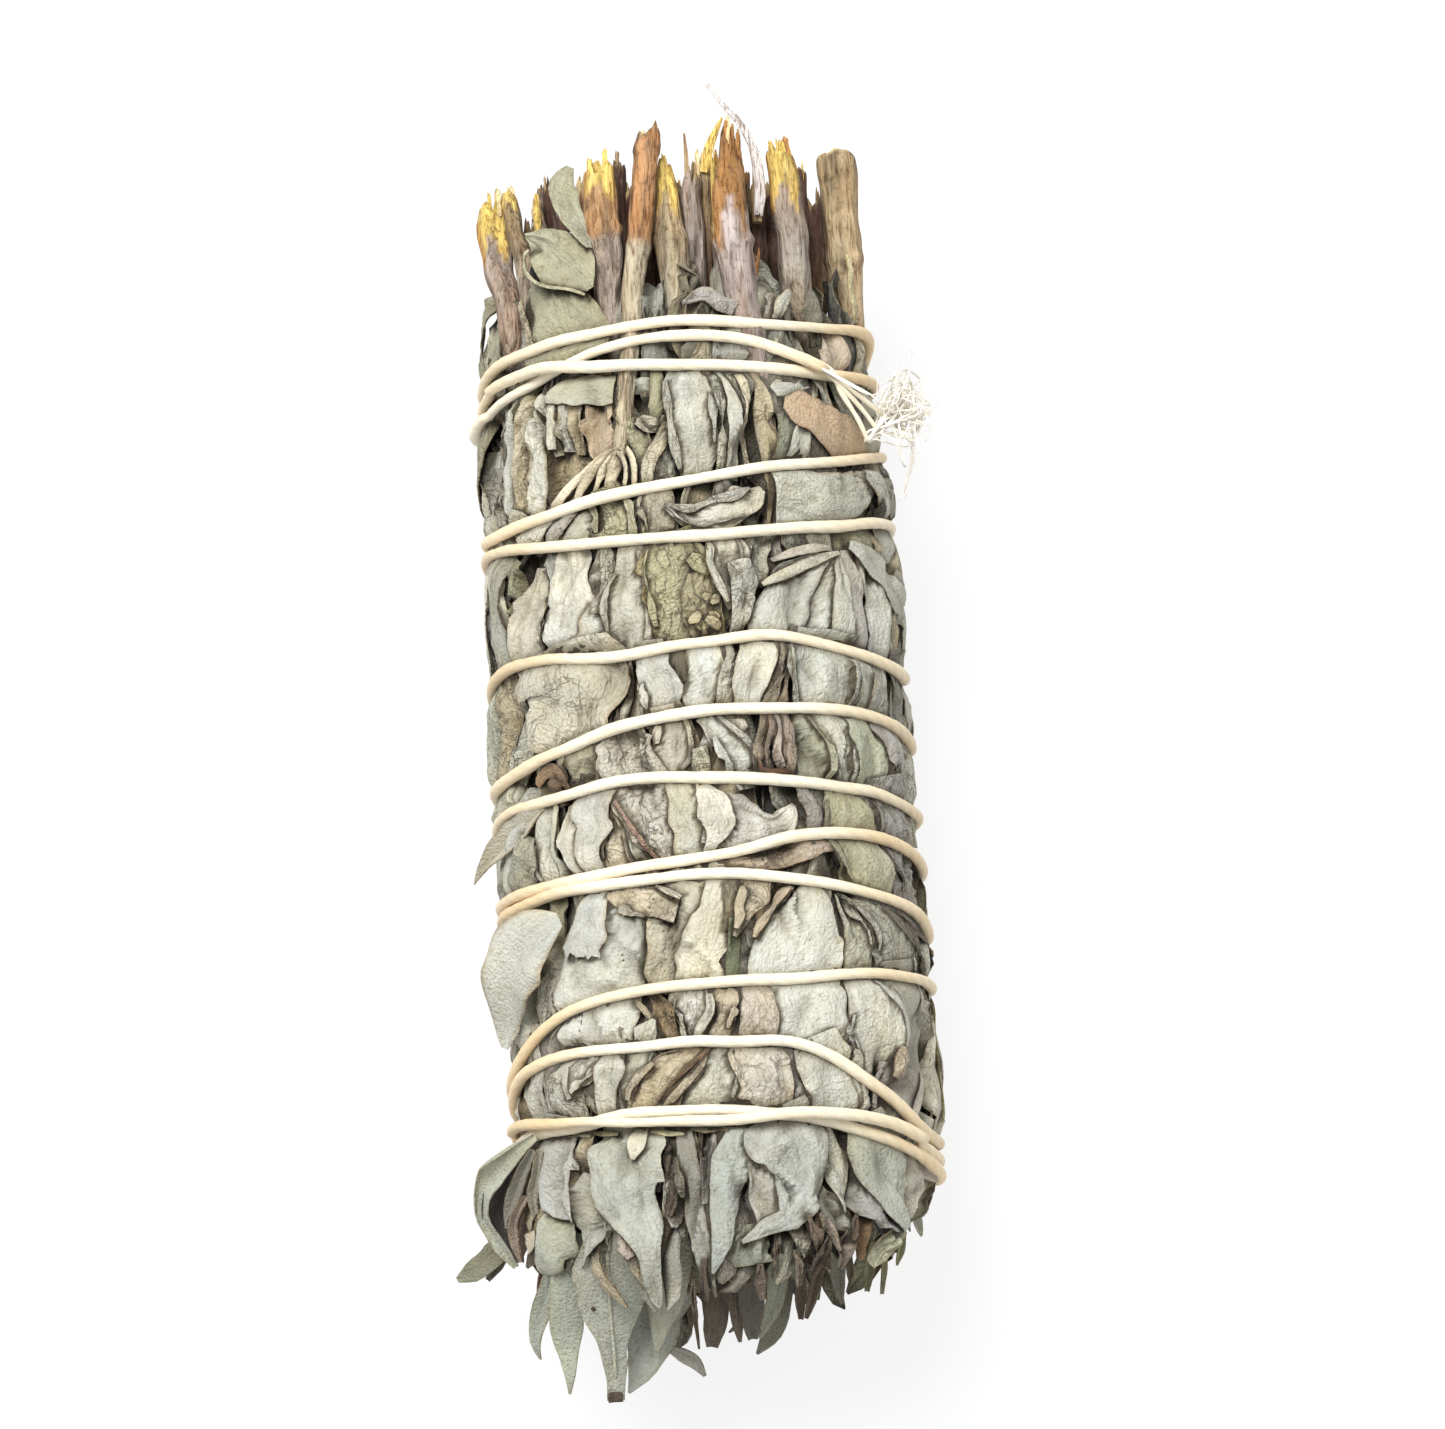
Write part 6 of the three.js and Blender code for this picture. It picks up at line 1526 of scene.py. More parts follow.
F((168, 170, 150), [(783, 392, 12), (783, 420, 18), (783, 445, 20), (782, 475, 16)], fold=0.5, dark=0.85)
F("g", [(800, 422, 10), (799, 442, 20), (797, 465, 20)], fold=0.4)
F("g", [(772, 392, 12), (780, 388, 19), (790, 386, 21), (802, 383, 16)], fold=0.3, rl=0.8)
F("d", [(812, 440, 10), (822, 456, 16), (830, 474, 14)], fold=0.4, rise=-0.3)
for (cc, pp) in [((232, 222, 196), [(618, 448, 6), (604, 456, 7), (588, 467, 7), (572, 482, 7), (557, 500, 7), (542, 518, 5)]), ((214, 200, 172), [(616, 452, 5), (602, 462, 6), (588, 476, 6), (576, 494, 6), (566, 514, 4)]),
                 ((232, 222, 196), [(619, 452, 5), (608, 464, 6), (596, 480, 6), (586, 500, 5)]), ((226, 216, 194), [(620, 452, 6), (615, 466, 8), (608, 482, 9), (602, 500, 6)]), ((232, 222, 196), [(625, 448, 7), (632, 458, 7), (634, 472, 7), (631, 492, 5)]), ((228, 218, 192), [(621, 452, 4), (625, 466, 5), (622, 484, 4)])]:
    F(cc, pp, fold=-0.35, cup=-0.4, rise=0.95, over=0.15, vein=0.1, relief=0.25, crumple=0.2, dark=1.08)
F([204, 178, 148], [(781, 404, 12), (792, 409, 27), (805, 416, 31), (820, 424, 33), (836, 433, 34), (850, 440, 30), (861, 446, 18), (870, 452, 4)], rise=1.35, fold=0.04, cup=-0.08, rl=0.0, rr=-0.1, ripple=0.03, vein=0.2, crease=(), rim=False, relief=0.30, crumple=0.4, ragged=0.07)

# ---- 470 to 540
F("g", [(508, 520, 16), (520, 532, 22), (535, 545, 20)], fold=0.7, rl=1.2)
F("w", [(545, 518, 12), (532, 530, 20), (518, 545, 16)], fold=-0.6, rl=1.4)
F("g", [(586, 510, 10), (578, 526, 20), (566, 545, 18)], fold=0.6, rr=1.2)
F("l", [(572, 508, 10), (556, 526, 16), (545, 548, 12)], fold=-0.8)
F("o", [(600, 486, 30), (606, 505, 42), (612, 526, 44), (612, 545, 36)], fold=0.15, vein=0.9, dark=0.95)
F((186, 180, 160), [(646, 484, 26), (656, 503, 38), (661, 524, 34), (660, 545, 28)], fold=0.4, vein=0.8)
F("g", [(733, 505, 40), (735, 522, 46), (738, 545, 40)], fold=0.3)
F("l", [(757, 488, 10), (750, 505, 20), (757, 525, 16), (758, 545, 10)], fold=0.4)
F((221, 219, 206), [(764, 486, 8), (755, 494, 26), (740, 504, 33), (720, 511, 30), (700, 515, 24), (682, 514, 18), (667, 508, 6)], rise=0.7, fold=0.12, cup=-0.35, rr=-0.5, vein=0.2)
F("g", [(866, 476, 8), (880, 490, 20), (892, 506, 22), (898, 524, 14)], fold=0.7, rise=0.2)
F("g", [(881, 466, 8), (895, 480, 14), (905, 500, 14), (908, 520, 8)], fold=-0.6)
F((203, 204, 190), [(775, 496, 52), (790, 496, 54), (812, 497, 53), (835, 497, 51), (852, 494, 46), (863, 487, 30), (872, 480, 14), (878, 477, 3)], rise=0.8, fold=0.04, cup=-0.04, rl=-0.1, rr=-0.2, ripple=0.04, vein=0.45, rim=False, ragged=0.03, relief=0.7, crumple=0.5, lines=[(779, 514, 862, 481, -0.5, 0.8)])
F("g", [(866, 474, 8), (872, 482, 18), (878, 494, 22), (884, 508, 18), (888, 520, 12)], rise=0.9, fold=0.6, rl=0.9, rim=False)
# a dark piece beside the leaf: painted shade
F("d", [(876, 505, 8), (880, 512, 12), (882, 520, 10)], rise=1.0, dark=0.35, rim=False, relief=0.2)

# ---- 540 to 650
F("g", [(505, 562, 13), (498, 590, 13), (496, 620, 15), (501, 648, 17), (504, 668, 12)], fold=0.7)
F("o", [(514, 560, 8), (509, 585, 8), (512, 615, 8)], fold=-0.7, dark=0.75)
F((216, 214, 199), [(570, 552, 34), (569, 580, 46), (567, 606, 56), (566, 632, 60), (568, 658, 54)], rise=0.1, fold=0.05, rim=False, rl=-0.3, rr=0.4, relief=0.6, crumple=0.3, ragged=0.05, crease=((-0.1, -0.25), (0.4, 0.2)), vein=0.25, lines=[(556, 566, 562, 600, -0.4, 0.4), (582, 560, 578, 618, 0.4, 0.5)])
F((208, 207, 193), [(606, 598, 18), (610, 612, 52), (612, 632, 62), (610, 656, 58)], fold=0.05, rim=False, relief=0.5, crumple=0.3, ragged=0.05, vein=0.25, crease=(), lines=[(592, 650, 612, 628, -0.4, 0.4), (612, 628, 642, 622, -0.4, 0.4)])
F("g", [(648, 612, 14), (650, 635, 19), (652, 660, 19)], fold=0.5)
F("w", [(602, 545, 10), (606, 565, 14), (605, 590, 12), (602, 615, 9)], fold=-0.8)
F("w", [(629, 545, 26), (630, 568, 34), (629, 592, 44), (629, 612, 47), (629, 628, 46)], rise=0.3, fold=0.15, rl=-0.4, rr=-0.8, crease=((0.2, 0.4), (-0.4, -0.3)), end_rise=(0, 0.3), vein=0.3)
F((206, 200, 180), [(528, 566, 9), (527, 582, 18), (526, 604, 29), (524, 630, 37), (526, 652, 36), (530, 668, 26)], rise=0.3, fold=0.10, cup=-0.3, rl=-0.3, rr=-0.6, crease=((0.4, 0.25), (-0.3, 0.2)), vein=0.35)
F((198, 193, 158), [(668, 532, 46), (676, 558, 64), (684, 588, 76), (690, 614, 78), (692, 640, 70), (690, 664, 52)], rise=0.25, fold=0.06, cup=-0.2, rl=-0.8, rr=-0.5, vein=0.85)
F((190, 182, 148), [(698, 572, 22), (704, 600, 36), (706, 626, 36), (702, 648, 24)], rise=0.15, fold=0.1, rim=False, relief=1.0, vein=0.8)
for i in range(8):
    a = FRNG.random() * 6.28; r = FRNG.random() ** 0.5
    x, y = 706 + 12 * r * math.cos(a), 616 + 22 * r * math.sin(a)
    g = FRNG.random() * 3.1
    w = FRNG.uniform(8, 13)
    F((196, 184, 150), [(x - w * math.cos(g) * 0.7, y - w * math.sin(g) * 0.7, w * 0.5), (x, y, w), (x + w * math.cos(g) * 0.7, y + w * math.sin(g) * 0.7, w * 0.4)], fold=FRNG.uniform(-1, 1), cup=FRNG.uniform(-0.5, 1), rl=FRNG.uniform(-1, 2), rise=0.10, step=0.3)
F("o", [(690, 556, 10), (700, 566, 18), (710, 574, 10)], fold=0.7, rl=1.2, rise=0.3)
F("g", [(762, 538, 30), (758, 560, 28), (756, 584, 22)], fold=0.6)
F("w", [(722, 532, 34), (725, 556, 38), (728, 584, 26), (731, 610, 5)], rise=0.3, fold=0.12, cup=-0.2, rr=-0.4, vein=0.3)
F("w", [(757, 597, 5), (750, 609, 10), (740, 618, 11), (729, 623, 6)], fold=-0.5, rise=0.4)
F("g", [(893, 575, 12), (901, 615, 16), (905, 660, 15)], fold=-0.6, dark=0.8)
for cc, pp in [((205, 205, 195), [(862, 553, 7), (870, 578, 18), (880, 610, 20), (882, 655, 22)]), ((196, 192, 182), [(848, 549, 7), (853, 575, 15), (858, 610, 17), (857, 655, 18)]),
               ((212, 212, 198), [(840, 552, 6), (827, 578, 19), (816, 606, 24), (810, 648, 26)]), ((203, 203, 188), [(838, 552, 6), (839, 580, 16), (841, 612, 20), (842, 655, 22)]),
               ((206, 207, 194), [(852, 545, 7), (868, 556, 17), (880, 572, 21), (892, 592, 21), (902, 618, 12), (906, 650, 4)])]:
    F(cc, pp, fold=FRNG.choice([-0.3, 0.3]), rise=0.25, over=0.12, vein=0.25, rim=False, relief=0.6, crumple=0.3)
F((205, 205, 192), [(832, 553, 5), (812, 563, 22), (796, 580, 44), (784, 602, 54), (778, 628, 54), (776, 652, 48)], rise=0.35, fold=0.05, cup=-0.1, rl=1.6, rr=-0.3, vein=0.2, rim=False, relief=0.5, crumple=0.3, crease=((0.2, 0.15),))
F((206, 199, 184), [(776, 557, 5), (792, 553, 9), (810, 549, 10), (830, 549, 6)], rise=0.15, fold=0.3)
F((206, 203, 186), [(838, 553, 4), (818, 560, 9), (798, 568, 11), (778, 576, 10), (762, 585, 5)], rise=0.45, fold=-0.4, cup=-0.3)
F((208, 208, 196), [(742, 560, 20), (745, 580, 26), (742, 604, 22), (738, 628, 14)], rise=0.25, fold=0.12, rim=False, relief=0.5, crumple=0.3)

# ---- 650 to 780
F("t", [(503, 672, 12), (500, 706, 14), (500, 742, 15), (495, 778, 14)], fold=-0.6)
F("g", [(512, 684, 9), (511, 718, 15), (513, 750, 18), (508, 782, 18)], fold=0.6)
F("g", [(688, 662, 12), (692, 688, 20), (690, 716, 18)], fold=0.6)
F((212, 212, 199), [(702, 640, 30), (703, 662, 36), (701, 686, 34), (697, 708, 26)], rise=0.15, fold=0.10, rim=False, relief=0.5, crumple=0.3, crease=((0.3, 0.2),))
# a dark piece sunk in a gap between leaves: painted shade
F("d", [(678, 652, 12), (679, 668, 16), (681, 684, 12)], rise=-0.4, dark=0.6)
F("w", [(629, 650, 5), (628, 676, 18), (627, 702, 30), (626, 728, 38)], fold=0.1, crease=((0.1, -0.3),), vein=0.3)
F((209, 208, 196), [(650, 640, 24), (654, 668, 34), (661, 692, 42), (660, 712, 30)], rise=0.1, fold=0.1, cup=-0.2, rr=-0.9, vein=0.3)
F((207, 203, 184), [(560, 645, 84), (562, 668, 104), (565, 692, 96), (560, 716, 88), (552, 738, 70), (546, 758, 50)], rise=0.45, fold=0.03, cup=-0.04, rl=-0.3, rr=-0.4, ripple=0.05, vein=0.62, rim=False, crease=((0.15, -0.12), (0.0, 0.1)))
F((202, 200, 184), [(738, 636, 22), (737, 662, 26), (730, 690, 26), (724, 708, 22)], rise=0.1, fold=0.15, rim=False, relief=0.5)
F((214, 213, 200), [(760, 634, 30), (758, 656, 38), (752, 680, 36), (745, 708, 28)], rise=0.35, fold=0.25, cup=0.1, rr=0.7, vein=0.2, rim=False, relief=0.5, crease=((-0.2, 0.35),))
F((176, 164, 142), [(787, 640, 9), (783, 668, 13), (775, 690, 15), (768, 712, 13)], fold=0.8, rise=0.1)
F((160, 144, 122), [(791, 640, 6), (789, 672, 8), (784, 704, 12)], fold=-0.8)
F((196, 198, 182), [(864, 648, 16), (862, 684, 22), (864, 722, 22)], fold=0.3, rim=False, relief=0.5)
F((186, 186, 174), [(882, 655, 14), (879, 690, 20), (882, 724, 18)], fold=-0.4, rise=0.1, rim=False)
F((160, 156, 146), [(896, 652, 12), (900, 690, 15), (905, 724, 13)], fold=0.6)
F((204, 205, 192), [(822, 630, 56), (822, 660, 62), (825, 690, 56), (829, 716, 50), (833, 742, 38), (842, 766, 27), (851, 788, 12)], rise=0.3, fold=0.05, cup=-0.15, rl=-0.3, rr=-0.7, vein=0.45, crease=((0.45, -0.35),))
F((176, 170, 144), [(573, 736, 40), (579, 760, 44), (577, 786, 36)], fold=0.2)
F("b", [(538, 786, 8), (546, 772, 14), (558, 774, 16), (566, 790, 10)], fold=0.9, cup=0.8, rise=0.1)
F("b", [(560, 806, 8), (552, 792, 16), (556, 780, 8)], fold=-0.9, dark=0.5)
F((206, 200, 182), [(668, 704, 28), (673, 732, 40), (676, 752, 40), (672, 768, 24)], rise=0.15, fold=0.2, rr=-1.2, vein=0.3)
F("o", [(728, 724, 16), (731, 744, 23), (735, 766, 18)], dark=0.7)
F("w", [(746, 722, 8), (732, 728, 22), (712, 737, 18), (701, 748, 8)], fold=0.6, rl=1.6, rise=0.2)
F("g", [(699, 748, 14), (702, 768, 20), (700, 786, 14)], fold=-0.6)
F((208, 208, 196), [(712, 722, 22), (728, 742, 32), (742, 762, 34), (752, 786, 28)], rise=0.2, fold=0.2, rl=1.0, relief=0.5)
F((186, 189, 162), [(858, 712, 18), (862, 740, 28), (868, 766, 31), (876, 796, 26)], fold=0.15, rise=0.2, rim=False, relief=0.5)
F((184, 184, 160), [(800, 708, 14), (806, 735, 28), (814, 762, 34), (820, 788, 28)], fold=0.3)
F((168, 154, 134), [(767, 706, 10), (764, 732, 13), (758, 756, 13), (762, 772, 6)], fold=1.0, rise=0.2)
F((146, 130, 116), [(774, 706, 8), (772, 730, 9), (768, 752, 7), (770, 768, 4)], fold=-0.8, rise=0.1)
F((170, 154, 138), [(781, 706, 12), (786, 732, 15), (789, 756, 12), (792, 778, 6)], fold=-1.0, rise=0.2)
F((190, 178, 164), [(776, 706, 5), (778, 730, 6), (776, 752, 6), (782, 768, 4)], fold=0.8, rise=0.35)
F((146, 116, 98), [(756, 760, 5), (764, 770, 9), (778, 773, 9), (792, 774, 5)], fold=0.9, rise=0.3)
F("l", [(872, 726, 10), (886, 734, 25), (895, 750, 24), (888, 766, 12)], fold=0.9, cup=0.7, rl=1.2, rise=0.2)
F("d", [(890, 770, 12), (900, 790, 14), (905, 812, 10)], fold=0.6)

# ---- 780 to 880
F("g", [(545, 798, 14), (545, 826, 24), (545, 852, 28), (548, 888, 22)], fold=0.5)
F((176, 174, 152), [(528, 838, 16), (523, 864, 26), (519, 896, 22)], fold=-0.4)
FF((208, 203, 186), [(545, 808, 10, 24.8), (531, 822, 30, 23.2), (515, 838, 38, 21.0), (498, 855, 30, 18.8), (485, 871, 16, 17.0), (475, 884, 2, 15.6)], up=(-0.75, 0.1, 0.8), fold=0.75, cup=0.1)
F((214, 204, 180), [(616, 802, 6), (616, 826, 20), (617, 850, 34), (618, 876, 42)], fold=0.15, rl=0.3, vein=0.5)
F("g", [(632, 796, 12), (639, 822, 26), (649, 848, 28), (657, 876, 22)], fold=0.3)
F((214, 209, 193), [(618, 722, 40), (622, 745, 56), (630, 768, 60), (642, 792, 60), (653, 816, 54), (662, 838, 44), (672, 858, 24), (678, 870, 5)], rise=0.35, fold=0.06, cup=-0.05, rim=False, relief=0.45, crumple=0.3, ragged=0.04, vein=0.8)
F((186, 156, 136), [(612, 794, 2), (624, 812, 3.4), (637, 832, 4), (651, 852, 4), (664, 868, 3)], fold=-0.5, rise=0.62, step=0.3, vein=0.9, over=0.1, tuck=False)
F("g", [(681, 784, 34), (688, 810, 40), (692, 836, 38), (694, 868, 32)], fold=0.08, cup=-0.2, rr=-0.6, vein=0.3)
F("p", [(826, 846, 14), (800, 851, 25), (765, 857, 20), (738, 862, 12), (715, 864, 4)], fold=0.4, rr=0.8, rise=0.1)
F((217, 215, 204), [(796, 803, 4), (786, 818, 28), (770, 826, 44), (750, 826, 52), (728, 822, 56), (706, 818, 50)], rise=0.35, fold=0.06, cup=-0.05, rim=False, relief=0.5, crumple=0.3, ragged=0.10, vein=0.25, lines=[(742, 800, 728, 842, -0.35, 0.6), (772, 806, 752, 846, 0.3, 0.5)])
F((222, 220, 208), [(704, 786, 14), (714, 806, 34), (718, 826, 32), (712, 842, 12)], rise=0.25, fold=0.05, cup=-0.2, rim=False, relief=0.6, vein=0.3)
F("l", [(806, 794, 14), (812, 812, 18), (816, 832, 12)], fold=0.7, dark=0.8)
F("l", [(885, 776, 30), (893, 810, 38), (905, 842, 44), (915, 874, 36), (922, 906, 22)], fold=0.15, vein=0.7)
F((184, 182, 154), [(838, 786, 28), (846, 812, 42), (856, 840, 48), (870, 864, 44), (885, 884, 22), (894, 896, 4)], rise=0.25, fold=0.06, cup=-0.2, rl=-0.2, rr=-0.3, vein=0.25)
# a dark piece sunk in a gap between leaves: painted shade
F("d", [(822, 858, 10), (826, 868, 14), (836, 878, 8)], rise=-0.5, dark=0.5)

# ---- 880 to 1045
F("g", [(568, 932, 12), (560, 958, 28), (551, 990, 34), (546, 1018, 28), (543, 1036, 14)], fold=0.4)
F((210, 211, 200), [(630, 896, 36), (618, 926, 68), (606, 956, 86), (598, 988, 82), (594, 1018, 76), (592, 1048, 66)], rise=0.1, fold=0.04, cup=-0.05, rim=False, relief=0.35, crumple=0.2, ragged=0.03, vein=0.15, crease=())
F((120, 120, 98), [(652, 908, 6), (650, 935, 7), (648, 960, 8), (646, 990, 9)], fold=-0.8, rise=0.1)
F((206, 202, 184), [(688, 866, 32), (684, 896, 46), (675, 928, 46), (666, 958, 36), (658, 992, 26)], rise=0.2, fold=0.08, cup=-0.1, rr=0.5, vein=0.35, rim=False, relief=0.55, crumple=0.3)
F("w", [(716, 866, 18), (715, 898, 26), (708, 930, 38), (701, 960, 48), (697, 990, 48)], rise=0.15, fold=0.08, cup=-0.2, rl=-0.3, rr=-0.3, vein=0.25, rim=False, relief=0.55, crumple=0.3)
F((150, 142, 120), [(736, 866, 16), (734, 898, 17), (728, 934, 10)], fold=-0.7)
F((130, 136, 108), [(734, 920, 10), (733, 950, 13), (731, 990, 13)], fold=0.3, rise=-0.2)
F("g", [(840, 892, 8), (850, 914, 20), (857, 940, 26), (861, 970, 28)], fold=0.4)
F("g", [(852, 896, 12), (874, 910, 28), (893, 930, 44), (900, 952, 46), (905, 974, 34)], fold=0.15, cup=-0.1, rr=-0.4, rise=0.1)
F((214, 214, 200), [(814, 880, 14), (812, 902, 40), (804, 930, 76), (799, 960, 94), (801, 990, 90), (809, 1015, 80), (816, 1044, 66)], rise=0.35, fold=0.05, cup=-0.12, rim=False, rl=-0.2, rr=-0.3, relief=0.5, crumple=0.3, ragged=0.04, vein=0.2, crease=((0.30, 0.15),), lines=[(800, 955, 841, 969, -0.5, 0.5), (806, 905, 812, 950, -0.35, 0.5)])
F((206, 190, 162), [(786, 878, 28), (771, 896, 22), (762, 915, 14), (756, 940, 4)], fold=0.9, rise=0.3)
F((208, 196, 172), [(758, 870, 34), (754, 890, 30), (744, 912, 20), (734, 938, 4)], fold=0.4, rl=1.3, rise=0.3)
F("g", [(900, 960, 34), (905, 990, 50), (912, 1020, 46), (918, 1052, 38), (918, 1080, 24)], fold=0.1, vein=0.3)
F((212, 212, 198), [(862, 974, 28), (866, 992, 36), (875, 1014, 52), (880, 1038, 56), (878, 1062, 44), (872, 1078, 22)], rise=0.3, fold=0.08, cup=-0.2, rr=0.9, end_rise=(0, 0.5), vein=0.3)
for cc, pp in [("d", [(890, 898, 6), (914, 922, 9), (932, 946, 9), (941, 974, 6)]), ("b", [(878, 893, 5), (905, 907, 7), (930, 930, 7), (943, 956, 5)]), ("d", [(884, 906, 4), (905, 930, 7), (922, 955, 7), (930, 985, 5)])]:
    F(cc, pp, fold=0.8, rise=0.2)
F((200, 196, 142), [(934, 998, 4), (943, 1014, 6), (948, 1040, 8), (950, 1075, 8), (948, 1102, 6), (940, 1120, 4)], fold=0.7, rise=0.7)
F((208, 198, 182), [(752, 980, 24), (756, 1010, 36), (760, 1044, 38)], fold=0.15, vein=0.45, rim=False)
F((208, 196, 174), [(726, 984, 30), (718, 1010, 38), (711, 1044, 30)], fold=0.2, vein=0.5)
F("w", [(690, 978, 34), (692, 1002, 42), (692, 1022, 30), (689, 1038, 12)], rise=0.2, fold=0.2, rr=-0.4)
F("t", [(633, 1000, 5), (650, 1018, 6), (668, 1042, 5)], fold=-0.8, rise=0.1)
F("t", [(643, 994, 5), (656, 1014, 6), (672, 1034, 5)], fold=-0.8)
F((160, 140, 110), [(654, 1000, 14), (662, 1013, 22), (668, 1030, 14)], fold=-0.4)
F((206, 206, 190), [(646, 1034, 22), (655, 1020, 4)], fold=0.3)
# the long leaf on the left, standing a little proud, and what shows under it
FF((150, 146, 128), [(512, 960, 18, 19.5), (506, 985, 30, 18.6), (503, 1010, 24, 17.8), (504, 1034, 12, 17.2)], up=(-0.6, 0.1, 0.8), fold=0.2, depth=0.5)
FF((210, 210, 198), [(560, 920, 16, 27.2), (547, 928, 42, 26.8), (531, 940, 66, 26.2), (518, 957, 74, 25.3), (511, 978, 66, 24.2), (508, 1000, 53, 22.9), (506, 1024, 34, 21.7), (506, 1048, 8, 20.4)], up=(-0.5, 0.1, 0.86), fold=0.34, cup=-0.25, rl=-0.5, rr=-0.4, vein=0.12, crumple=0.9, step=0.42, nu=19)
F((222, 218, 200), [(571, 800, 12), (569, 826, 20), (575, 850, 26), (586, 866, 22), (597, 880, 12)], rise=0.5, fold=-0.4, rl=1.3, rr=1.0, vein=0.2)
F((208, 207, 196), [(596, 788, 36), (594, 812, 42), (592, 838, 34), (594, 858, 24), (597, 872, 18)], rise=0.6, fold=0.25, cup=-0.3, rl=-0.4, rr=1.1, vein=0.25, rim=False)
F((206, 206, 197), [(597, 884, 16), (594, 900, 26), (592, 916, 34), (591, 932, 38), (590, 946, 38), (589, 957, 36)], rise=0.75, fold=0.12, cup=-0.2, rl=-0.3, rr=-0.3, vein=0.15, rim=False, relief=1.2, ragged=0.06, torn=0.22, nu=21, step=0.30, crease=((-0.45, 0.25), (0.0, -0.2), (0.4, 0.25)))
F((208, 198, 176), [(609, 889, 10), (622, 892, 27), (640, 898, 31), (660, 904, 30), (678, 910, 24)], rise=0.7, fold=0.2, cup=-0.9, rl=-1.6, rr=-1.6, vein=0.6)
F((218, 212, 196), [(655, 886, 4), (668, 892, 6), (682, 900, 5)], rise=1.4, fold=-0.7)
F((190, 182, 160), [(622, 910, 8), (634, 914, 14), (648, 918, 12)], rise=0.7, fold=0.9, rl=2.2, rr=1.8)

# ---- 1045 to 1125
F("g", [(636, 1044, 34), (634, 1070, 38), (632, 1098, 30), (630, 1124, 22)], fold=0.2, dark=0.92)
F("g", [(565, 1050, 16), (567, 1072, 26), (567, 1096, 36), (566, 1124, 42)], fold=0.15)
F("w", [(590, 1044, 28), (585, 1064, 30), (580, 1082, 18), (577, 1100, 3)], rise=0.2, fold=0.2)
F("g", [(608, 1044, 8), (608, 1068, 25), (606, 1092, 22), (605, 1124, 16)], rise=0.15, fold=0.3)
F((206, 206, 190), [(719, 1040, 38), (712, 1064, 58), (705, 1086, 66), (700, 1112, 68)], fold=0.08, rr=-0.5, vein=0.4)
F((208, 196, 172), [(704, 1040, 16), (684, 1060, 40), (662, 1080, 46), (646, 1098, 40), (632, 1118, 24)], rise=0.25, fold=0.1, rl=2.2, vein=0.6)
F((140, 112, 86), [(708, 1048, 5), (692, 1066, 8), (674, 1084, 9), (658, 1102, 6)], rise=0.5, fold=0.9, step=0.3, ripple=0.3)
F("l", [(790, 1040, 8), (794, 1066, 15), (798, 1090, 17), (800, 1116, 16)], fold=-0.5)
F((210, 204, 190), [(757, 1038, 56), (760, 1062, 56), (765, 1086, 52), (765, 1116, 50)], fold=0.05, rl=-0.2, rr=-0.3, vein=0.6, rim=False, relief=0.6, crumple=0.35, crease=((0.1, 0.2), (-0.3, -0.2)))
F("g", [(828, 1058, 56), (837, 1084, 66), (840, 1116, 64)], fold=0.08, vein=0.3)
F((210, 210, 196), [(814, 1036, 40), (822, 1056, 54), (829, 1074, 52), (834, 1090, 44)], rise=0.35, fold=0.06, cup=-0.1, rr=-0.4, end_rise=(0, 0.4), vein=0.3)
F("g", [(874, 1074, 18), (872, 1094, 17), (868, 1118, 12)], fold=0.4)
F("l", [(906, 1066, 44), (906, 1094, 50), (900, 1122, 42), (896, 1146, 24)], fold=0.12, vein=0.3)
F("p", [(898, 1048, 8), (896, 1062, 12), (894, 1078, 6)], fold=0.9, rise=0.5)

# ---- the tuft, from behind to the front
UPT = (0, -0.35, 0.94)
FF((140, 132, 126), [(718, 1225, 18, 20), (720, 1275, 26, 17), (716, 1320, 24, 14.5), (712, 1347, 12, 13)], up=UPT, fold=0.2)
FF((152, 148, 138), [(750, 1235, 26, 21), (750, 1275, 33, 19), (750, 1308, 29, 17.4), (753, 1339, 12, 16)], up=UPT, fold=0.3, rr=0.8)
FF((146, 134, 120), [(736, 1240, 14, 20), (735, 1280, 18, 18), (737, 1318, 14, 16.4), (740, 1342, 4, 15.2)], up=UPT, fold=-0.4)
FF((162, 161, 146), [(789, 1280, 12, 17), (779, 1318, 20, 15.6), (769, 1338, 17, 14.7), (757, 1354, 3, 14)], up=UPT, fold=0.3)
FF((144, 130, 114), [(824, 1215, 12, 21), (821, 1255, 15, 19.2), (815, 1288, 15, 17.8), (806, 1318, 5, 16.6)], up=UPT, fold=0.6)
FF((128, 114, 100), [(802, 1262, 9, 19), (801, 1290, 13, 17.6), (801, 1319, 7, 16.2)], up=UPT, fold=0.5)
FF((168, 166, 156), [(836, 1220, 13, 21), (838, 1256, 16, 19.4), (839, 1284, 13, 18.2), (842, 1304, 3, 17.4)], up=UPT, fold=0.3)
FF("d", [(689, 1262, 8, 20), (693, 1300, 9, 17.8), (699, 1349, 2, 15.4)], up=UPT, fold=0.6)
FF("d", [(703, 1262, 8, 19.5), (706, 1302, 9, 17.6), (708, 1333, 2, 16)], up=UPT, fold=-0.6)
FF("d", [(683, 1280, 7, 19), (688, 1305, 8, 17.6), (692, 1327, 3, 16.6)], up=UPT, fold=0.6)
FF((184, 182, 172), [(668, 1346, 9, 17.0), (682, 1355, 14, 16.4), (695, 1362, 14, 16.0), (705, 1376, 4, 15.5)], up=UPT, fold=0.35)
FF((192, 194, 180), [(668, 1250, 46, 21.6), (661, 1293, 58, 19.6), (655, 1326, 54, 18.1), (648, 1352, 40, 17), (640, 1373, 24, 16.2), (629, 1393, 3, 15.4)], up=UPT, fold=0.1, cup=-0.15, depth=0.1, dark=1.05)
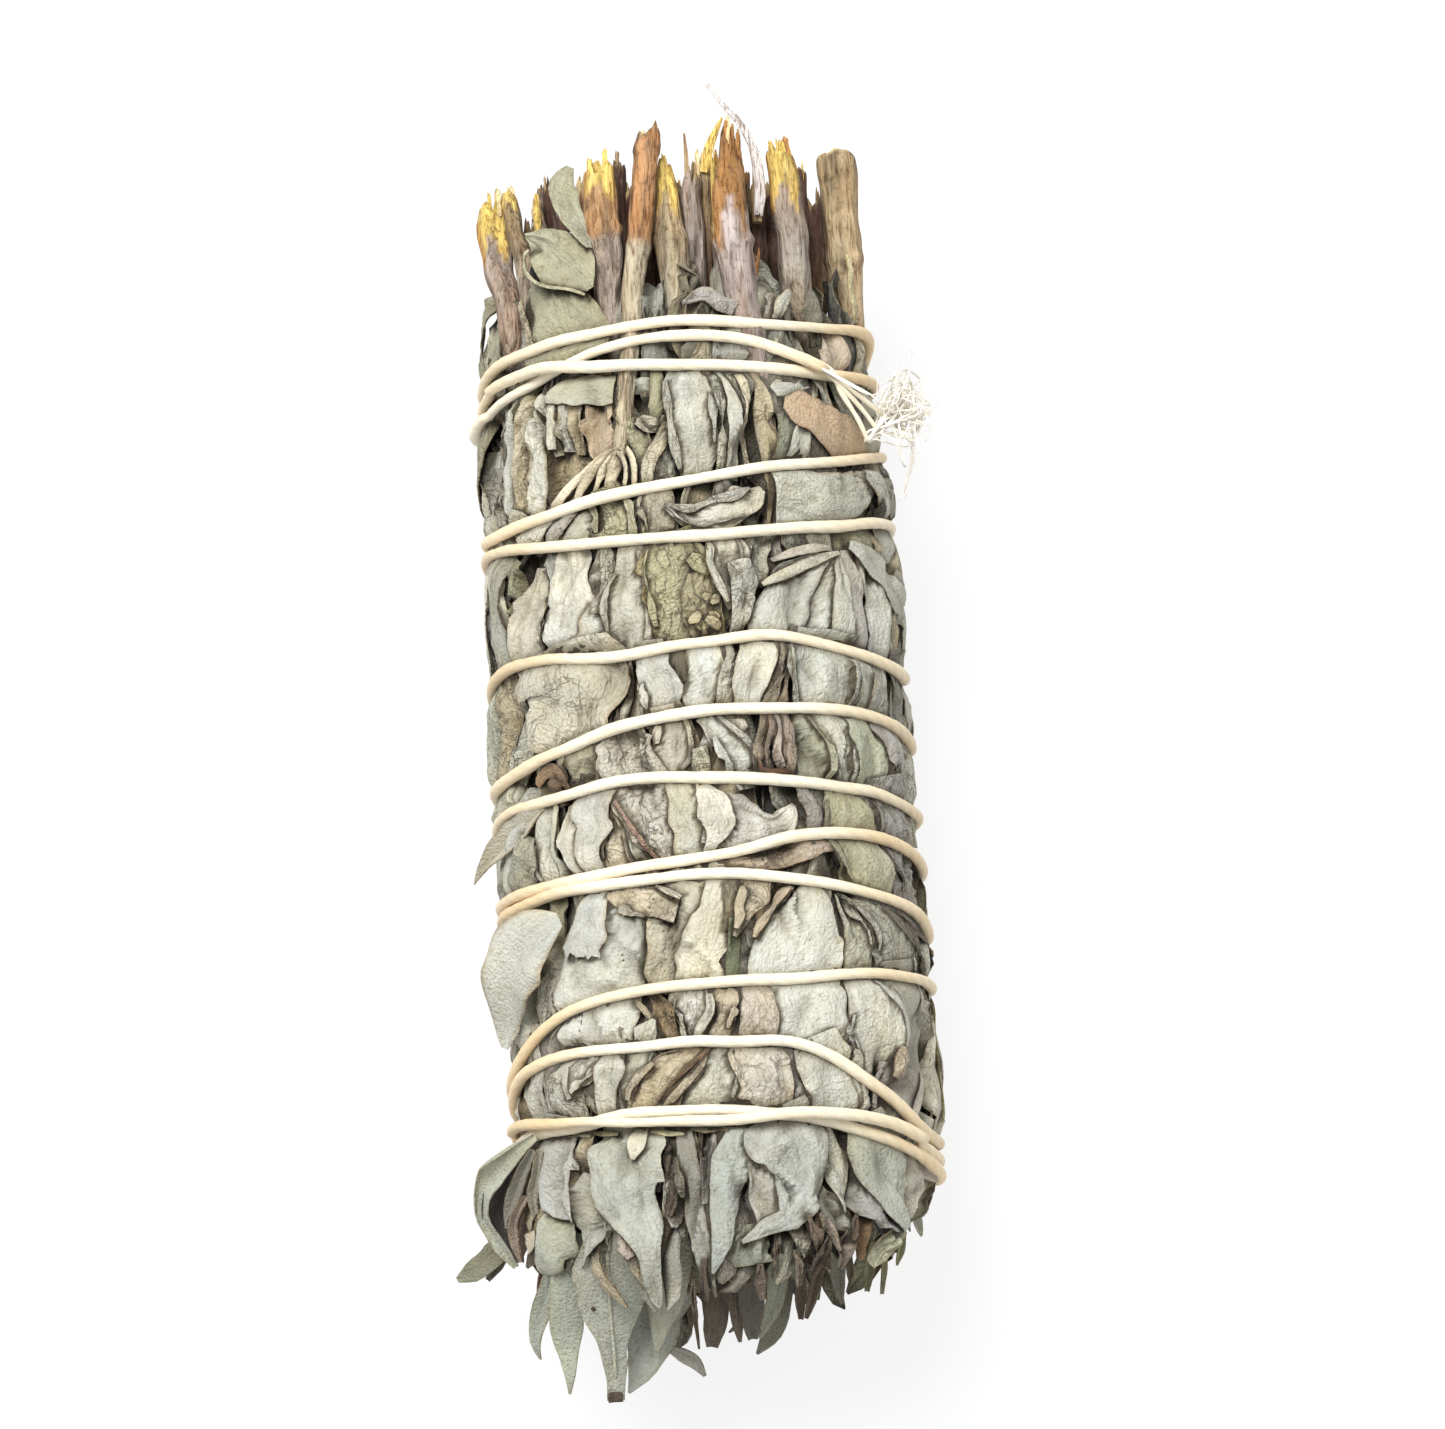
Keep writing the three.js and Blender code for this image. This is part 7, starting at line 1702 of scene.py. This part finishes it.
FF((182, 186, 168), [(576, 1232, 24, 23), (568, 1272, 35, 21), (566, 1308, 34, 19.3), (568, 1341, 27, 18), (570, 1369, 14, 17), (570, 1394, 2, 16.2)], up=(-0.25, -0.4, 0.88), fold=0.2, cup=-0.2)
FF((178, 182, 168), [(568, 1232, 12, 22), (557, 1266, 16, 20), (548, 1294, 22, 18.2), (538, 1322, 20, 16.8), (536, 1342, 13, 15.8), (541, 1359, 2, 15)], up=(-0.35, -0.4, 0.85), fold=0.25)
FF((92, 66, 58), [(560, 1246, 12, 20.5), (548, 1274, 18, 18.8), (540, 1298, 6, 17.4)], up=(-0.3, -0.4, 0.85), fold=0.4)
FF((190, 192, 177), [(674, 1200, 28, 25.2), (672, 1238, 42, 23.7), (668, 1275, 41, 22), (664, 1308, 32, 20.5), (660, 1332, 18, 19.4), (657, 1351, 3, 18.6)], up=UPT, fold=0.12, cup=-0.1, depth=0.12, dark=1.05)
FF((186, 188, 174), [(613, 1208, 20, 26.4), (611, 1240, 50, 25.2), (609, 1272, 73, 23.8), (609, 1299, 67, 22.5), (611, 1325, 46, 21.3), (614, 1350, 27, 20.1), (616, 1378, 19, 19), (616, 1400, 17, 18.2)], up=UPT, fold=0.10, cup=-0.12, nu=19, step=0.4)
FF((206, 208, 184), [(605, 1222, 1.5, 26.25), (607, 1250, 3, 25.02), (608, 1276, 3, 23.85), (610, 1306, 3, 22.5), (613, 1340, 3, 20.95), (616, 1376, 3, 19.3)], up=UPT, fold=-0.4, cup=-0.5, nu=7, thick=0.12)
FF((92, 80, 66), [(616, 1392, 15, 18.75), (616, 1402, 15, 18.3)], up=UPT, fold=0.1, nu=9, step=0.4)
FF((80, 70, 54), [(592, 1307, 4, 22.75), (595, 1311, 4, 22.6)], up=UPT, nu=7, step=0.3, thick=0.1)
FF((164, 166, 138), [(776, 1210, 18, 24), (784, 1242, 28, 22.8), (793, 1264, 22, 21.8), (801, 1285, 4, 21)], up=(0.2, -0.3, 0.9), fold=0.25)
FF((192, 197, 178), [(764, 1222, 10, 24.6), (771, 1252, 19, 23), (777, 1280, 26, 21.4), (774, 1302, 23, 20.3), (767, 1321, 13, 19.3), (760, 1338, 3, 18.5)], up=(-0.1, -0.3, 0.9), fold=0.35, rr=0.9)
F((190, 195, 176), [(748, 1228, 22), (748, 1250, 36), (750, 1268, 35)], off=-2.0, rise=0.2, fold=0.15)
F("b", [(800, 1218, 12), (808, 1238, 15), (812, 1256, 5)], off=-2.0, rise=0.1, fold=0.8)
F((190, 178, 166), [(618, 1222, 8), (629, 1238, 20), (639, 1260, 8)], off=-1.6, rise=0.2, fold=0.3)
F("d", [(662, 1146, 8), (657, 1186, 13), (655, 1226, 6)], off=-1.2, fold=0.5, dark=0.8)
F("o", [(684, 1124, 16), (688, 1144, 22), (688, 1164, 18)], off=-1.0, fold=0.3, dark=0.85)
F("l", [(677, 1158, 9), (675, 1188, 17), (674, 1212, 16), (673, 1228, 5)], off=-1.0, rise=0.1, fold=0.8, rl=1.4, rr=1.4)
F((182, 180, 165), [(686, 1126, 14), (689, 1150, 18), (693, 1180, 19), (697, 1210, 21), (703, 1240, 22), (709, 1268, 18), (717, 1298, 2)], off=-1.2, rise=0.3, fold=0.4, vein=0.2)
F("l", [(710, 1140, 12), (709, 1172, 16), (706, 1206, 6)], off=-1.0, fold=0.3)
F("t", [(588, 1124, 14), (588, 1152, 19), (586, 1184, 14), (585, 1208, 3)], off=-1.0, fold=0.4, dark=0.85)
F((200, 200, 186), [(606, 1180, 36), (598, 1208, 42), (589, 1232, 30), (580, 1254, 16), (572, 1272, 3)], off=-1.2, rise=0.3, fold=0.15, rr=0.4, vein=0.5)
F((203, 206, 188), [(578, 1222, 20), (563, 1238, 30), (547, 1254, 27), (531, 1268, 12)], off=-1.4, rise=0.4, fold=-0.2, cup=-0.9, rl=-1.0, rr=-1.0)
F((196, 186, 164), [(548, 1240, 10), (534, 1258, 16), (518, 1280, 8)], off=-1.4, rise=0.1, fold=0.5)
F((206, 206, 199), [(562, 1116, 30), (560, 1146, 38), (558, 1174, 50), (566, 1196, 34), (576, 1214, 14), (580, 1223, 2)], off=-0.8, rise=0.4, fold=0.06, cup=-0.2, rl=-0.5, rr=-0.3, vein=0.4)
F((204, 208, 196), [(736, 1116, 12), (739, 1138, 28), (733, 1164, 40), (725, 1190, 29), (722, 1216, 23), (722, 1240, 20), (719, 1260, 12), (715, 1276, 2)], off=-0.8, rise=0.35, fold=0.1, cup=-0.2, rl=-0.4, rr=-0.4, vein=0.25)
F("l", [(748, 1136, 4), (759, 1166, 11), (770, 1190, 11), (778, 1216, 3)], off=-0.8, rise=0.2, fold=0.5)
F("w", [(752, 1152, 10), (758, 1178, 23), (763, 1204, 27), (765, 1228, 20)], off=-0.8, rise=0.3, fold=0.2, cup=-0.7, end_rise=(0, 0.3))
F((150, 140, 118), [(812, 1216, 8), (820, 1230, 14), (822, 1250, 8)], off=-1.5, fold=0.7)
F((184, 184, 172), [(812, 1178, 8), (822, 1200, 27), (835, 1219, 18), (847, 1234, 3)], off=-1.0, rise=0.2, fold=0.15)
F("b", [(848, 1186, 10), (856, 1212, 20), (862, 1238, 15), (860, 1260, 6)], off=-1.2, rise=0.2, fold=0.9, rl=1.0)
F((196, 197, 170), [(902, 1226, 10), (886, 1244, 20), (868, 1263, 11)], off=-1.5, rise=0.2, fold=0.5, rl=1.2)
FF((150, 150, 118), [(874, 1240, 10, 15.0), (870, 1266, 14, 12.2), (867, 1291, 6, 10.0)], fold=0.6)
FF((160, 160, 128), [(885, 1245, 7, 14.0), (884, 1272, 8, 12.0), (882, 1294, 4, 10.5)], fold=0.5)
FF((165, 168, 130), [(903, 1228, 8, 15.0), (901, 1248, 10, 13.5), (897, 1265, 3, 12.5)], fold=0.5)
FF((120, 112, 92), [(848, 1250, 8, 14.0), (850, 1268, 9, 12.6), (850, 1282, 3, 11.8)], fold=0.5)
F((188, 186, 178), [(831, 1116, 20), (845, 1146, 30), (858, 1178, 35), (872, 1204, 30), (888, 1222, 18), (902, 1232, 3)], off=-0.8, rise=0.2, fold=0.1, vein=0.3)
F("g", [(824, 1122, 7), (832, 1152, 20), (840, 1178, 19), (841, 1202, 6), (841, 1214, 2)], off=-0.8, rise=0.3, fold=0.25)
F((208, 210, 200), [(772, 1110, 60), (784, 1138, 80), (793, 1160, 66), (796, 1184, 50), (792, 1204, 40), (780, 1222, 22), (762, 1233, 15), (742, 1244, 4)], off=-0.7, rise=0.5, fold=0.12, cup=-0.15, rl=-0.3, rr=-0.4, vein=0.35)
F((202, 206, 190), [(868, 1114, 36), (879, 1146, 58), (888, 1178, 48), (895, 1204, 29), (900, 1222, 16), (903, 1231, 8)], off=-0.6, rise=0.5, fold=0.1, cup=-0.2, rl=-0.3, rr=-0.3, vein=0.3)
FF((120, 126, 104), [(908, 1168, 12, 19.0), (914, 1185, 14, 17.5), (918, 1205, 8, 16.0)], fold=0.7)
FF((200, 202, 186), [(903, 1178, 6, 20.0), (910, 1202, 17, 18.0), (916, 1222, 13, 16.6), (921, 1236, 2, 15.6)], up=(0.5, -0.3, 0.8), fold=0.4)
FF((200, 192, 178), [(896, 1136, 18, 22.0), (912, 1156, 23, 20.5), (927, 1172, 15, 19.2), (937, 1182, 3, 18.4)], up=(0.5, -0.3, 0.8), fold=0.35)
# folded bits between the leaves of the tuft, coloured dark for the shade they lie in: painted shade
for x, y, w, l, g, c in [(672, 1160, 11, 34, 1.5, (104, 92, 76)), (676, 1200, 10, 36, 1.7, (118, 104, 88)), (683, 1180, 9, 40, 1.45, (150, 144, 128)), (664, 1176, 8, 36, 1.6, (92, 82, 70)), (806, 1236, 12, 40, 1.2, (124, 110, 96)), (816, 1258, 13, 42, 1.8, (108, 94, 82)),
                         (794, 1270, 11, 36, 1.4, (150, 138, 122)), (838, 1252, 12, 38, 1.7, (146, 134, 120)), (826, 1238, 8, 34, 1.3, (160, 146, 130)), (846, 1230, 9, 30, 1.9, (104, 90, 78)), (772, 1262, 10, 34, 1.6, (120, 106, 94)), (760, 1284, 11, 34, 1.5, (140, 124, 112)), (708, 1282, 10, 40, 1.6, (104, 88, 76)), (696, 1300, 11, 40, 1.5, (134, 122, 112))]:
    F(c, [(x - l / 2 * math.cos(g), y - l / 2 * math.sin(g), w * 0.5), (x, y, w), (x + l / 2 * math.cos(g), y + l / 2 * math.sin(g), w * 0.4)], off=-1.4, fold=0.9, rise=0.3, rl=0.8, crumple=1.0, ragged=0.12)
# the folded leaf that stands out on the left, with painted shade inside the fold
FF((96, 90, 84), [(534, 1140, 14, 22.0), (516, 1170, 44, 19.5), (504, 1200, 50, 17.5), (508, 1230, 40, 16.0), (520, 1262, 14, 14.5)], up=(-0.2, -0.4, 0.9), fold=0.5, cup=0.2)
FF((160, 140, 128), [(528, 1200, 8, 18.5), (524, 1222, 18, 17.4), (522, 1245, 16, 16.4), (520, 1262, 5, 15.6)], up=(0.2, -0.4, 0.9), fold=-0.5)
for cc_, pp_ in (((150, 146, 132), [(533, 1150, 10, 23.0), (521, 1176, 18, 21.0), (512, 1204, 17, 19.2), (508, 1228, 6, 18.0)]), ((128, 116, 104), [(538, 1152, 8, 22.4), (530, 1182, 14, 20.6), (520, 1210, 15, 18.8), (517, 1240, 5, 17.4)]),
                 ((172, 168, 150), [(540, 1150, 8, 23.4), (536, 1176, 15, 22.0), (533, 1200, 15, 20.6), (538, 1224, 5, 19.4)]), ((166, 150, 136), [(526, 1196, 8, 20.0), (514, 1222, 12, 18.4), (516, 1246, 10, 17.2), (521, 1262, 3, 16.4)])):
    FF(cc_, pp_, up=(-0.1, -0.4, 0.9), fold=0.5, rl=0.8, depth=0.2)
FF((190, 192, 174), [(536, 1136, 12, 23.2), (515, 1152, 22, 21.8), (494, 1172, 34, 20.0), (484, 1196, 26, 18.4), (486, 1220, 20, 17.0), (500, 1243, 16, 16.0), (517, 1266, 7, 15.0)], up=(-0.55, -0.3, 0.8), fold=0.3, cup=0.3, rl=0.0, rr=1.6)
FF((158, 156, 132), [(508, 1236, 16, 14.5), (492, 1256, 24, 12.6), (474, 1271, 22, 11.0), (458, 1280, 6, 10.0)], up=(-0.3, -0.3, 0.9), fold=0.2, cup=-0.3)
FF((110, 106, 92), [(506, 1252, 10, 13.0), (498, 1266, 12, 11.6), (488, 1280, 5, 10.6)], fold=0.4)
# the big leaf in front, split in two below
F((206, 208, 194), [(632, 1112, 52), (630, 1142, 66), (627, 1170, 74), (627, 1192, 70), (634, 1212, 50), (643, 1234, 34), (649, 1258, 20), (653, 1284, 15), (656, 1302, 11), (658, 1308, 4)], off=-0.5, rise=0.6, fold=0.12, cup=-0.15, rl=-0.3, rr=-0.4, vein=0.25, crease=((-0.35, 0.12),))
F("w", [(641, 1126, 10), (637, 1144, 19), (633, 1160, 4)], off=-0.3, rise=0.6, fold=0.3)
for x, y, w, l, g in [(600, 1134, 6, 26, 0.1), (572, 1136, 5, 30, -0.1), (706, 1130, 6, 30, 0.1), (725, 1128, 5, 22, -0.2), (668, 1134, 6, 24, 0.2), (850, 1130, 5, 22, 0.2)]:
    F("o", [(x - l * 0.7, y - 2, w * 0.5), (x, y, w), (x + l * 0.7, y + 1, w * 0.5)], off=-0.8, fold=0.9, rise=0.3, step=0.3)


for _n, _pc in CLUSTER.items():
    if _pc.n:
        _pc.build(M_LEAF, "sage_leaf", [_n], sharp=30)
    else:
        print("empty cluster", _n)
WORLD, EXPOSURE = 0.54, 0.0
LIGHTS = [("key", (-0.32, 0.48, 1.15), (0, 0, 0.02), 0.7, 19.0), ("fill", (0.5, -0.1, 1.2), (0, 0, 0.02), 1.0, 3.5)]


# ------------------------------------------------------------------ camera, floor and light
def v3(p):
    return Vector(((p[0] - ORIGIN[0]) * 0.001, (p[1] - ORIGIN[1]) * 0.001, p[2] * 0.001))


cam = bpy.data.cameras.new("camera")
cam.sensor_fit = "HORIZONTAL"
cam.sensor_width = 36.0
cam.lens = FOC / PX_W * 36.0
cam.clip_start, cam.clip_end = 0.01, 20
co = bpy.data.objects.new("camera", cam)
bpy.context.scene.collection.objects.link(co)
co.matrix_world = Matrix(((cam_r[0], cam_u[0], -cam_f[0], 0), (cam_r[1], cam_u[1], -cam_f[1], 0), (cam_r[2], cam_u[2], -cam_f[2], 0), (0, 0, 0, 1)))
co.location = v3(cam_c)
bpy.context.scene.camera = co

fm = bpy.data.meshes.new("floor")
fm.from_pydata([(-3, -3, 0), (3, -3, 0), (3, 3, 0), (-3, 3, 0)], [], [(0, 1, 2, 3)])
floor = bpy.data.objects.new("floor", fm)
bpy.context.scene.collection.objects.link(floor)
mf, ntf, bf = new_material("floor")
fl = noise(ntf, nd(ntf, "ShaderNodeTexCoord").outputs["Object"], 40, 3)
ntf.links.new(mix(ntf, "MIX", fl, (0.15, 0.15, 0.15), (0.16, 0.16, 0.16)), bf.inputs["Base Color"])
bf.inputs["Roughness"].default_value = 0.9
bf.inputs["Specular IOR Level"].default_value = 0.1
bf.inputs["Emission Color"].default_value = (1, 1, 1, 1)
bf.inputs["Emission Strength"].default_value = 0.82
fm.materials.append(mf)

w = bpy.data.worlds.new("studio")
bpy.context.scene.world = w
w.use_nodes = True
w.node_tree.nodes["Background"].inputs[0].default_value = (1.0, 1.0, 1.0, 1)
w.node_tree.nodes["Background"].inputs[1].default_value = WORLD


def area(name, pos, target, size, power, colour=(1, 1, 1)):
    l = bpy.data.lights.new(name, "AREA")
    l.shape = "DISK"
    l.size = size
    l.energy = power
    l.color = colour
    o = bpy.data.objects.new(name, l)
    bpy.context.scene.collection.objects.link(o)
    o.location = Vector(pos)
    o.rotation_euler = (Vector(target) - Vector(pos)).to_track_quat("-Z", "Y").to_euler()
    return o


for args in LIGHTS:
    area(*args)
sc = bpy.context.scene
sc.view_settings.view_transform = "Standard"
sc.view_settings.look = "None"
sc.view_settings.exposure = EXPOSURE
sc.view_settings.gamma = 1.0
try:
    sc.cycles.max_bounces = 6
    sc.cycles.diffuse_bounces = 4
except Exception:
    pass
